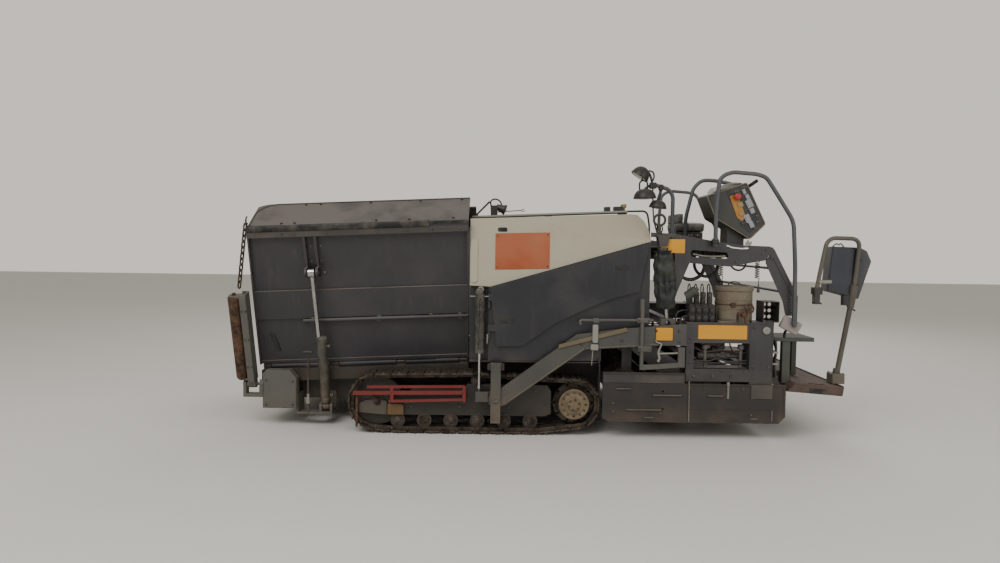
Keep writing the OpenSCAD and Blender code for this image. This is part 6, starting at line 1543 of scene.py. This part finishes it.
works = {
    "shelf": blockForm((1.279, -1.195, 0.646), (1.781, -1.03, 0.658)),
    "cylinder": turnedForm([(0.0, 0.034), (0.006, 0.037), (0.27, 0.037), (0.276, 0.03), (0.3, 0.03),
        (0.302, 0.014), (0.42, 0.014)], (1.33, -1.135, 0.75), (1, 0, 0)),
    "pump": turnedForm([(0.0, 0.045), (0.05, 0.045), (0.055, 0.03), (0.09, 0.03)],
        (1.47, -1.09, 0.8), (1, 0, 0), 28),
    "rail": blockForm((1.29, -1.19, 0.69), (1.77, -1.175, 0.704)),
}
makePair("openingWorks", joined(*works.values()), "blackSteel", "screed", bevel=0.002)
heads = joined(*[turnedForm([(0.0, 0.016), (0.165, 0.016), (0.168, 0.03), (0.205, 0.03),
    (0.21, 0.024)], (x, -1.16, 0.657), (0, 0, 1), 24) for x in (1.395, 1.722)])
makePair("openingPosts", heads, "paleSteel", "screed")
smallPipes = joined(*[bentTube(p, r, 10)
    for p, r in (([(1.3, -1.18, 0.72), (1.42, -1.185, 0.715), (1.5, -1.18, 0.735),
    (1.6, -1.185, 0.712), (1.77, -1.18, 0.722)], 0.008),
    ([(1.3, -1.15, 0.835), (1.38, -1.155, 0.8), (1.5, -1.16, 0.81), (1.56, -1.15, 0.86),
    (1.57, -1.14, 0.887)], 0.009), ([(1.62, -1.15, 0.887), (1.63, -1.16, 0.84), (1.66, -1.165, 0.8),
    (1.74, -1.16, 0.79), (1.78, -1.15, 0.79)], 0.007))])
makePair("openingPipes", smallPipes, "blackSteel", "screed")
nuts = bolts(0.012, sideSpots(-1.172, [(1.45, 0.768), (1.505, 0.768), (1.36, 0.765), (1.6, 0.765)]))
makePair("openingNuts", nuts, "zinc", "screed")
bank = joined(*[bentTube([(2.002, y, 0.93), (2.03, y, 0.9), (2.036 + 0.012 * k, y, 0.8),
    (2.026, y, 0.68), (2.034, y, 0.575), (2.002, y, 0.56)], 0.0095)
    for k, y in enumerate((-1.19, -1.155, -1.12))])
makePair("rearFeedPipes", bank, "blackSteel", "screed")
grips = joined(blockForm((1.994, -1.205, 0.795), (2.052, -1.105, 0.812)),
    blockForm((1.994, -1.205, 0.69), (2.052, -1.105, 0.705)))
makePair("rearPipeClamps", grips, "pale", "screed", bevel=0.002)

# End plates: grab bars, edge strips, bolts, jack rods; all ride the extensions
endGear = {"face": -1.2499, "bars": [(0.578, 0.704, 0.465), (0.91, 1.162, 0.41),
    (1.404, 1.539, 0.41), (0.668, 0.982, 0.275), (0.83, 0.91, 0.205)]}
s = endGear
grab = [tubeForm(roundedPath([(x0, s["face"] + 0.002, z), (x0, s["face"] - 0.017, z),
    (x1, s["face"] - 0.017, z), (x1, s["face"] + 0.002, z)], 0.012, 5), 0.0055, 10)
    for x0, x1, z in s["bars"]]
strips = [blockForm((1.232, s["face"] - 0.004, 0.282), (1.985, s["face"] + 0.001, 0.292)),
    blockForm((1.21, s["face"] - 0.006, 0.5), (2.112, s["face"] + 0.001, 0.514)),
    blockForm((0.456, s["face"] - 0.008, 0.592), (1.193, s["face"] + 0.001, 0.609))]
topBars = joined(blockForm((0.458, s["face"] - 0.005, 0.517), (1.192, s["face"] + 0.001, 0.604)),
    blockForm((1.796, s["face"] - 0.009, 0.385), (1.99, s["face"] + 0.001, 0.512)))
edgeForms = joined(*strips, blockForm((2.092, s["face"] - 0.004, 0.225),
    (2.112, s["face"] + 0.001, 0.51)))
jack = joined(turnedForm([(0.0, 0.011), (0.11, 0.011), (0.112, 0.015), (0.145, 0.015),
    (0.15, 0.012)], (1.588, -1.2545, 0.385), (0, 0, 1), 24),
    tubeForm([(1.234, -1.255, 0.54), (1.236, -1.255, 0.36), (1.238, -1.255, 0.17)], 0.005, 10))
plateBolts = bolts(0.011, sideSpots(s["face"], ((0.55, 0.33), (0.55, 0.25), (1.38, 0.47),
    (1.72, 0.47), (1.95, 0.47), (1.5, 0.235), (1.8, 0.235), (0.98, 0.235))))
rearMark = joined(blockForm((1.985, s["face"] - 0.006, 0.18), (1.998, s["face"] + 0.001, 0.278)),
    blockForm((1.8, s["face"] - 0.005, 0.195), (1.86, s["face"] + 0.001, 0.208)))
for name, side in sides.items():
    body = f"extension_{name}"
    makePiece(f"endPlateTopBars_{name}", forSide(side, topBars), "portal", body, bevel=0.003)
    makePiece(f"endPlateGrabs_{name}", forSide(side, joined(*grab)), "paleSteel", body)
    makePiece(f"endPlateStrips_{name}", forSide(side, edgeForms), "screed", body, bevel=0.0015)
    makePiece(f"endPlateJacks_{name}", forSide(side, jack), "brightSteel", body)
    makePiece(f"endPlateBolts_{name}", forSide(side, plateBolts), "zinc", body)
    makePiece(f"endPlateMarks_{name}", forSide(side, rearMark), "paleSteel", body, bevel=0.001)
print("stage: screed dressed")

# Wide stay plates under the platform's rear corners, with their bolts
stayOutline = [(2.006, 1.744), (2.234, 1.308), (2.234, 1.135), (2.129, 1.135), (2.103, 1.265),
    (1.928, 1.628)]
stay = sidePlate(softOutline(stayOutline, 0.02), (0, -1.128, 0), (0, 0.008))
stayBolts = bolts(0.01, sideSpots(-1.136, ((1.985, 1.66), (2.17, 1.3), (2.18, 1.17))))
makePair("platformStays", stay, "portal", bevel=0.002)
makePair("platformStayBolts", stayBolts, "zinc")

# Rubber flaps behind the tracks, hung from a steel strip: depth bends as a sine of the height
rows, cols = np.meshgrid(np.linspace(0, 1, 9), np.linspace(0, 1, 5), indexing="ij")
flap = np.stack([0.424 + 0.006 * np.sin(rows * 2.4), -1.19 + 0.17 * cols, 0.715 - 0.315 * rows], -1)
flapForm = sweptForm(np.concatenate([flap, flap[:, ::-1] + [0.008, 0, 0]], 1))
makePair("trackFlaps", flapForm, "rubber")
flapStrip = blockForm((0.414, -1.192, 0.685), (0.424, -1.018, 0.722))
makePair("trackFlapStrips", flapStrip, "blackSteel", bevel=0.0015)

# Canister of release oil: turned lid with rolled rim, bands, handle, tap
canister = {"centre": (1.682, -1.04), "radius": 0.165}
cx, cy = canister["centre"]
r = canister["radius"]
shell = turnedForm([(1.0835, r - 0.004), (1.087, r), (1.1, r), (1.104, r + 0.003), (1.11, r),
    (1.19, r), (1.194, r + 0.004), (1.2, r), (1.27, r), (1.274, r + 0.004), (1.28, r), (1.352, r),
    (1.356, r + 0.009), (1.364, r + 0.011), (1.392, r + 0.01), (1.396, r + 0.005),
    (1.398, r - 0.02), (1.394, r - 0.03), (1.394, 0.062), (1.404, 0.06), (1.406, 0.052),
    (1.406, 0.001)], (cx, cy, 0), (0, 0, 1), 72)
tray = plateForm(roundedRect(0.28, 0.324, 0.015), (1.641, -1.052, 1.0705), (1, 0, 0), (0, 1, 0),
    (0, 0.0135))
can = makePiece("canisterShell", joined(shell, tray), "beige", "screed", smooth=30)
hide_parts("canister")
clasp = [hoopForm((cx, cy, 1.232), (0, 0, 1), r + 0.0015, 0.0045, 64, 8),
    blockForm((cx - 0.075, cy - r - 0.008, 1.215), (cx - 0.035, cy - r + 0.03, 1.25))]
bail = bentTube([(cx - 0.05, cy, 1.4), (cx - 0.048, cy, 1.425), (cx, cy, 1.437),
    (cx + 0.048, cy, 1.425), (cx + 0.05, cy, 1.4)], 0.005, 10)
makePiece("canisterBands", joined(*clasp, bail), "rust", "screed")
tapAt = np.array([cx + 0.035, cy - r + 0.012, 1.15])
wheelAt = tapAt + [0.045, -0.05, 0.055]
wheel = hoopForm(wheelAt, (0.2, -1, 0.25), 0.04, 0.008, 32, 8)
spokes = [tubeForm([wheelAt - d, wheelAt + [0, 0.002, 0], wheelAt + d], 0.006, 8)
    for d in (np.array([0.038, 0.0, 0.016]), np.array([-0.016, 0.008, 0.038]))]
tap = joined(turnedForm([(-0.01, 0.02), (0.03, 0.02), (0.034, 0.026), (0.058, 0.026),
    (0.062, 0.015)], tapAt, (0.1, -1, 0), 20), wheel, *spokes,
    tubeForm([tapAt + [0.006, -0.045, 0.0], tapAt + [0.03, -0.048, 0.035], wheelAt + [0, 0.002, 0]],
    0.011), bentTube([tapAt + [-0.02, -0.045, 0.01], tapAt + [-0.055, -0.055, 0.012],
    tapAt + [-0.062, -0.058, -0.035], tapAt + [-0.06, -0.058, -0.07]], 0.011),
    bentTube([tapAt + [0.0, -0.045, -0.01], tapAt + [0.012, -0.052, -0.04],
    tapAt + [0.014, -0.05, -0.072]], 0.013))
makePiece("canisterTap", tap, "rust", "screed")

# Valve bank: spools with caps, solenoids, a filter drum, levers and steel pipes
valves = {"front": -1.1805, "xs": [1.26, 1.32, 1.38, 1.44]}
s = valves
spools = [turnedForm([(-0.004, 0.02), (0.012, 0.02), (0.014, 0.026), (0.026, 0.026), (0.03, 0.014),
    (0.034, 0.013)], (x, s["front"], z), (0, -1, 0), 6 if k % 2 else 20)
    for k, x in enumerate(s["xs"]) for z in (1.105, 1.175)]
bodyRibs = [blockForm((x - 0.026, -1.186, 1.082), (x + 0.026, -1.17, 1.218)) for x in s["xs"]]
makePiece("valveBodies", joined(*bodyRibs, *spools), "blackSteel", "screed", bevel=0.003)
caps = joined(*[turnedForm([(0.0, 0.0225), (0.004, 0.0245), (0.032, 0.0245), (0.036, 0.02)],
    (x, -1.105, z), (0, 0, 1), 20) for x in s["xs"] for z in (1.245, 1.295)])
makePiece("solenoidRings", caps, "zinc", "screed")
drum = turnedForm([(0.0, 0.03), (0.004, 0.042), (0.1, 0.042), (0.108, 0.036), (0.112, 0.02),
    (0.13, 0.018), (0.132, 0.001)], (1.215, -1.145, 1.3), (0.35, -0.2, 0.3))
drumFoot = bentTube([(1.25, -1.1, 1.228), (1.235, -1.12, 1.27), (1.225, -1.14, 1.31)], 0.016, 14, 5)
makePiece("filterDrum", joined(drum, drumFoot), "olive", "screed")
steelPipes = joined(*[bentTube(p, 0.0085) for p in ([(1.243, -1.16, 1.12), (1.2, -1.165, 1.12),
    (1.165, -1.17, 1.1), (1.155, -1.17, 1.06), (1.17, -1.165, 1.03), (1.208, -1.16, 1.02)],
    [(1.243, -1.12, 1.17), (1.19, -1.125, 1.17), (1.14, -1.13, 1.15), (1.125, -1.13, 1.09),
    (1.14, -1.125, 1.035), (1.208, -1.12, 0.99)], [(1.468, -1.13, 1.19), (1.492, -1.135, 1.195),
    (1.498, -1.14, 1.16), (1.495, -1.14, 1.11), (1.49, -1.14, 1.075)])])
makePiece("valvePipes", steelPipes, "blackSteel", "screed")
handles = joined(
    *[joined(tubeForm([(x, -1.185, 1.222), (x - 0.004, -1.196, 1.262), (x - 0.01, -1.205, 1.3)],
    0.005, 10), turnedForm([(-0.014, 0.005), (-0.006, 0.0115), (0.006, 0.0125), (0.013, 0.007),
    (0.015, 0.001)], (x - 0.0105, -1.206, 1.303), (-0.1, -0.2, 1), 16))
    for x in (1.29, 1.35, 1.41)])
makePiece("valveHandles", handles, "plastic", "screed")
stepBolts = bolts(0.007, [(1.905, -1.2152, 1.09), (2.037, -1.2152, 1.09)])
makePiece("stepBolts", stepBolts, "zinc", "screed")
print("stage: canister and valves done")

# Rear walkway: tread studs on its sloping top, left out beside its side slots; black plates laid
# flat on the side slots as painted shade; lip; post, ledge and pad beside it
walk = {"front": (2.212, 0.5345), "rear": (2.636, 0.5005), "pitch": 0.052}
s = walk
front, rear = np.array(s["front"]), np.array(s["rear"])
slopeDir = (rear - front) / np.linalg.norm(rear - front)
upDir = np.array([-slopeDir[1], slopeDir[0]])
t = np.arange(0.025, np.linalg.norm(rear - front) - 0.02, s["pitch"])
yy = np.arange(-1.225, 1.226, s["pitch"])
gt, gy = np.meshgrid(t, yy, indexing="ij")
keep = ~((np.abs(np.abs(gy) - 1.2) < 0.045) & (front[0] + gt > 2.315) & (front[0] + gt < 2.495))
odd = (np.round(gt / s["pitch"]) + np.round(gy / s["pitch"])).astype(int) % 2
where = np.stack([front[0] + gt * slopeDir[0], gy, front[1] + gt * slopeDir[1]], -1)
studs = treadStuds(0.014, 0.005, 0.0045, 0.0025, where[keep & (odd == 0)], where[keep & (odd == 1)],
    (upDir[0], 0, upDir[1]))
makePiece("walkwayStuds", studs, "walkway", "screed", smooth=0)
# A flat black rubber plate on each side slot: painted shade of the slot's hollow
recess = plateForm(roundedRect(0.155, 0.046, 0.01), (2.405, -1.2495, 0.462), (1, 0, -0.08),
    (0, 0, 1), (0, 0.0025))
makePair("walkwaySlotShadePlates", recess, "rubber", "screed", bevel=0.0006)
lip = sweptForm([[(x + dx, y, z + dz) for dx, dz in ((0, 0), (0.012, 0), (0.012, 0.012),
    (0, 0.012))] for y, x, z in ((-1.2495, 2.627, 0.4985), (1.2495, 2.627, 0.4985))])
sideLips = sidePlate([(2.2, 0.521), (2.208, 0.5365), (2.64, 0.5025), (2.637, 0.488)],
    (0, -1.2492, 0), (0, 0.004))
makePiece("walkwayEdges", joined(lip, onBothSides(sideLips)), "walkway", "screed", bevel=0.0015)
postBox = blockForm((2.13, -1.09, 0.5), (2.205, -1.03, 0.916))
ledgePlate = joined(blockForm((2.05, -1.095, 0.916), (2.42, -0.72, 0.93)),
    blockForm((2.05, -1.099, 0.892), (2.42, -1.087, 0.93)),
    blockForm((2.33, -0.8, 0.53), (2.38, -0.75, 0.917)))
makePiece("ledges", joined(postBox, ledgePlate), "olive", "screed", bevel=0.004)
tilt = Matrix.Rotation(math.radians(28), 3, "Y")
pad = blockForm((2.075, -1.178, 0.99), (2.262, -1.145, 1.112), np.array(tilt))
padStem = bentTube([(2.15, -1.155, 1.03), (2.15, -1.12, 1.0), (2.15, -1.08, 0.97),
    (2.15, -1.075, 0.925)], 0.012, 12, 5)
makePiece("controlPad", pad, "padGrey", "screed", bevel=0.012)
makePiece("controlPadStem", padStem, "blackSteel", "screed")
print("stage: walkway done")

# Control box on its post, in place of the plain one: the box leans back, with a dark front and a
# greyer side plate, a bowed rail in front of it, and a post that carries on up as the rail's leg
# through a sleeve
controlGear = {
    "front": [(2.53, 1.775), (2.785, 1.768), (2.73, 1.3), (2.49, 1.362)],
    "side": [(2.885, -1.08, 1.735), (2.968, -1.0, 1.64), (2.81, -1.1, 1.296)], "frontY": -1.15,
    "rearY": -0.9, "post": 0.0235, "rail": 0.019,
}
s = controlGear
front = np.array([[x, s["frontY"], z] for x, z in s["front"]])
around = np.concatenate([front[:2], np.array(s["side"]), front[2:]])
behind = np.stack([np.minimum(around[:, 0] + 0.055, 2.968), np.full(len(around), s["rearY"]),
    around[:, 2]], 1)
boxShell = makePiece("controlBoxShell", sweptForm(np.stack([around, behind])), "boxSide", "screed",
    bevel=0.006)
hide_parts("control_box")
middle = front.mean(axis=0)
doorRing = middle + (front - middle) * [0.93, 1, 0.94] - [0, 0.001, 0]
door = sweptForm(np.stack([doorRing, doorRing - [0, 0.006, 0]]))
makePiece("controlBoxDoor", door, "navy", "screed", bevel=0.003)
topStay = bentTube([(2.53, -1.16, 1.775), (2.56, -1.165, 1.8), (2.58, -1.167, 1.79),
    (2.6, -1.165, 1.8), (2.63, -1.16, 1.772)], 0.006, 10)
railPath = roundedPath([(2.37, -1.185, 1.27), (2.405, -1.185, 1.5), (2.47, -1.185, 1.853),
    (2.765, -1.185, 1.846), (2.735, -1.165, 1.4), (2.648, -1.06, 0.57)], 0.085, 7)
makePiece("controlRail", joined(tubeForm(railPath[:-1], s["rail"], 18), topStay), "postTube",
    "screed")
upper, lower = np.array([2.735, -1.165, 1.4]), np.array([2.648, -1.06, 0.55])
post = tubeForm(np.linspace(lower, upper, 6), s["post"], 22)
sleeve = tubeForm(np.linspace(upper + (upper - lower) * 0.03, upper - (upper - lower) * 0.21, 4),
    s["post"] + 0.009, 24)
makePiece("controlPost", joined(post, sleeve), "postTube", "screed")
brackets = joined(blockForm((2.36, -1.21, 1.25), (2.41, -1.155, 1.4)),
    blockForm((2.37, -1.165, 1.335), (2.452, -1.1, 1.4)),
    blockForm((2.64, -1.17, 1.24), (2.712, -1.115, 1.33)),
    tubeForm([(2.415, -1.18, 1.262), (2.432, -1.18, 1.256), (2.436, -1.18, 1.247)], 0.007, 10),
    tubeForm([(2.72, -1.14, 1.205), (2.75, -1.14, 1.2), (2.765, -1.14, 1.188)], 0.008, 10))
makePiece("controlBrackets", brackets, "blackSteel", "screed", bevel=0.004)
grip = turnedForm([(0.0, 0.012), (0.004, 0.0165), (0.1, 0.0175), (0.113, 0.014), (0.117, 0.001)],
    (2.395, -1.205, 1.452), (1, 0, 0.02), 20)
makePiece("controlBoxGrip", grip, "pale", "screed")
latchSpots = [(2.8, -1.122, 1.65), (2.775, -1.125, 1.42)]
latch = joined(plateForm(roundedRect(0.05, 0.024, 0.008), (0, 0, 0), (1, 0, 0), (0, 1, 0),
    (0.0, 0.01)), plateForm(roundedRect(0.02, 0.014, 0.004), (0.01, 0, 0), (1, 0, 0), (0, 1, 0),
    (0.009, 0.018)))
makePiece("controlBoxLatches", copiesForm(latch, latchSpots, (0.4, -0.9, 0)), "zinc", "screed",
    bevel=0.001)
clampFoot = blockForm((2.585, -1.13, 0.508), (2.7, -1.0, 0.6))
makePiece("controlPostFoot", clampFoot, "postTube", "screed", bevel=0.005)
footBolts = bolts(0.009, [(x, y, 0.6) for x in (2.598, 2.687) for y in (-1.118, -1.012)], (0, 0, 1))
collar = turnedForm([(0.0, 0.032), (0.05, 0.032), (0.055, 0.0235)], (2.6478, -1.06, 0.589),
    (0.1128, 0, 0.9936), 24)
makePiece("postFootBolts", footBolts, "zinc", "screed")
makePiece("postCollar", collar, "towSteel", "screed")
print("stage: control box done")

# Front: push roller caps and scuffs, bracket bolts, beam end covers, and set asphalt on the
# hopper's floor
frontGear = {"hinge": (-0.92, 0.4), "rollerX": -2.912, "from": 0.076, "length": 0.8}
for name, side in sides.items():
    s = frontGear
    axis = np.array([0, -side * math.sin(lean), math.cos(lean)])
    origin = np.array([s["rollerX"], side * s["hinge"][0], s["hinge"][1]])
    ends = [turnedForm([(-0.001, 0.0575), (0.002, 0.0575), (0.0025, 0.045), (0.0015, 0.03)],
        origin + axis * (s["from"] + s["length"] * k), axis * d, 40) for k, d in ((0, -1), (1, 1))]
    makePiece(f"pushRollerEnds_{name}", joined(*ends), "rust", f"push_roller_{name}")
    scuffs = [hoopForm(origin + axis * (s["from"] + s["length"] * k), axis, 0.0578, 0.0018, 48, 6)
        for k in (0.03, 0.34, 0.66, 0.97)]
    makePiece(f"pushRollerRings_{name}", joined(*scuffs), "rust", f"push_roller_{name}")
    nutsAt = [origin + axis * (s["from"] + s["length"] + 0.024)]
    makePiece(f"pushRollerNuts_{name}", bolts(0.018, nutsAt, axis), "zinc", f"push_roller_{name}")
    outSide = np.array([0, -side * math.cos(lean), -math.sin(lean)])
    spots = [origin + np.array([dx, 0, 0]) + axis * h + outSide * 0.0581 for dx in (0.075, 0.112)
        for h in (0.2, 0.48, 0.76)]
    makePiece(f"pushBracketBolts_{name}", bolts(0.008, spots, outSide), "zinc",
        f"push_bracket_{name}")
cover = sidePlate(softOutline([(-2.72, 0.18), (-2.41, 0.18), (-2.41, 0.455), (-2.47, 0.53),
    (-2.66, 0.53), (-2.72, 0.47)], 0.015), (0, -0.9499, 0), (0, 0.004))
coverBolts = bolts(0.0095, sideSpots(-0.9538, ((-2.69, 0.21), (-2.44, 0.21), (-2.69, 0.44),
    (-2.44, 0.43))))
makePair("beamEndCovers", cover, "beam", bevel=0.002)
makePair("beamEndBolts", coverBolts, "zinc")
beamBolts = bolts(0.014, [(-2.7245, y, z) for y in (-0.62, -0.36, -0.12, 0.12, 0.36, 0.62)
    for z in (0.225, 0.345)], (-1, 0, 0))
makePiece("beamFrontBolts", beamBolts, "zinc")
mixGear = {"stones": 420, "size": (0.007, 0.016)}
trees = []
for node in ("hopper_floor", "conveyor"):
    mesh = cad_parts[node].data
    trees.append(BVHTree.FromPolygons([v.co for v in mesh.vertices],
        [p.vertices for p in mesh.polygons]))
spread = np.stack([dice.uniform(-2.65, -0.85, mixGear["stones"]),
    np.sign(dice.uniform(-1, 1, mixGear["stones"])) * dice.beta(2.2, 1.1, mixGear["stones"])
    * 0.655], 1)
heights = [max((hit[0].z for hit in (tree.ray_cast(Vector((x, y, 0.95)), Vector((0, 0, -1)), 1.0)
    for tree in trees) if hit[0]), default=None) for x, y in spread]
stone = turnedForm([(-0.9, 0.25), (-0.45, 0.85), (0.2, 1.0), (0.75, 0.6), (0.95, 0.1)], (0, 0, 0),
    (0, 0, 1), 6)
stones = []
for (x, y), z in zip(spread, heights):
    if z is None:
        continue
    size = dice.uniform(*mixGear["size"]) * np.array([1, dice.uniform(0.6, 1),
        dice.uniform(0.5, 0.8)])
    turn = np.array(Matrix.Rotation(dice.uniform(0, 6.28), 3, "Z"))
    stones.append(((stone[0] * size) @ turn.T + [x, y, z + size[2] * 0.45], stone[1]))
makePiece("setMixOnFloor", joined(*stones), "mix", smooth=40)
print("stage: front and hopper dressed")

# Plain pale floor and soft studio light
floorPoints = np.array([[-30, -30, 0], [30, -30, 0], [30, 30, 0], [-30, 30, 0]], float)
floorMesh = bpy.data.meshes.new("floor")
floorMesh.from_pydata(floorPoints.tolist(), [], [[0, 1, 2, 3]])
floor = bpy.data.objects.new("floor", floorMesh)
scene.collection.objects.link(floor)
floorLook, floorTree = startMaterial("paleStudioFloor")
floorShader = addNode(floorTree, "BsdfPrincipled", None, {"Base Color": linear("#d8d6d2"),
    "Roughness": 0.8})
addNode(floorTree, "OutputMaterial", None, {"Surface": floorShader})
floorMesh.materials.append(floorLook)
lights = {
    "key": {"place": (-4.0, -8.0, 8.0), "aim": (0, 0, 0.8), "size": 6.0, "power": 620},
    "fill": {"place": (6.0, -7.0, 4.0), "aim": (0, 0, 1.0), "size": 6.0, "power": 200},
    "rim": {"place": (2.0, 8.0, 7.0), "aim": (0, 0, 1.0), "size": 6.0, "power": 330},
}
for name, s in lights.items():
    lamp = bpy.data.lights.new(name, "AREA")
    lamp.size, lamp.energy = s["size"], s["power"]
    holder = bpy.data.objects.new(name, lamp)
    holder.location = s["place"]
    aim = Vector(s["aim"]) - Vector(s["place"])
    holder.rotation_euler = aim.to_track_quat("-Z", "Y").to_euler()
    scene.collection.objects.link(holder)
world = bpy.data.worlds.new("studio")
world.use_nodes = True
backdrop = world.node_tree.nodes["Background"]
backdrop.inputs[0].default_value = linear("#ece6db")
seen = addNode(world.node_tree, "LightPath", out="Is Camera Ray")
seen = addNode(world.node_tree, "MapRange", fitted, {"Value": seen, "To Min": 0.62, "To Max": 1.0})
world.node_tree.links.new(seen, backdrop.inputs[1])
scene.world = world
print("stage: camera, floor and lights placed")
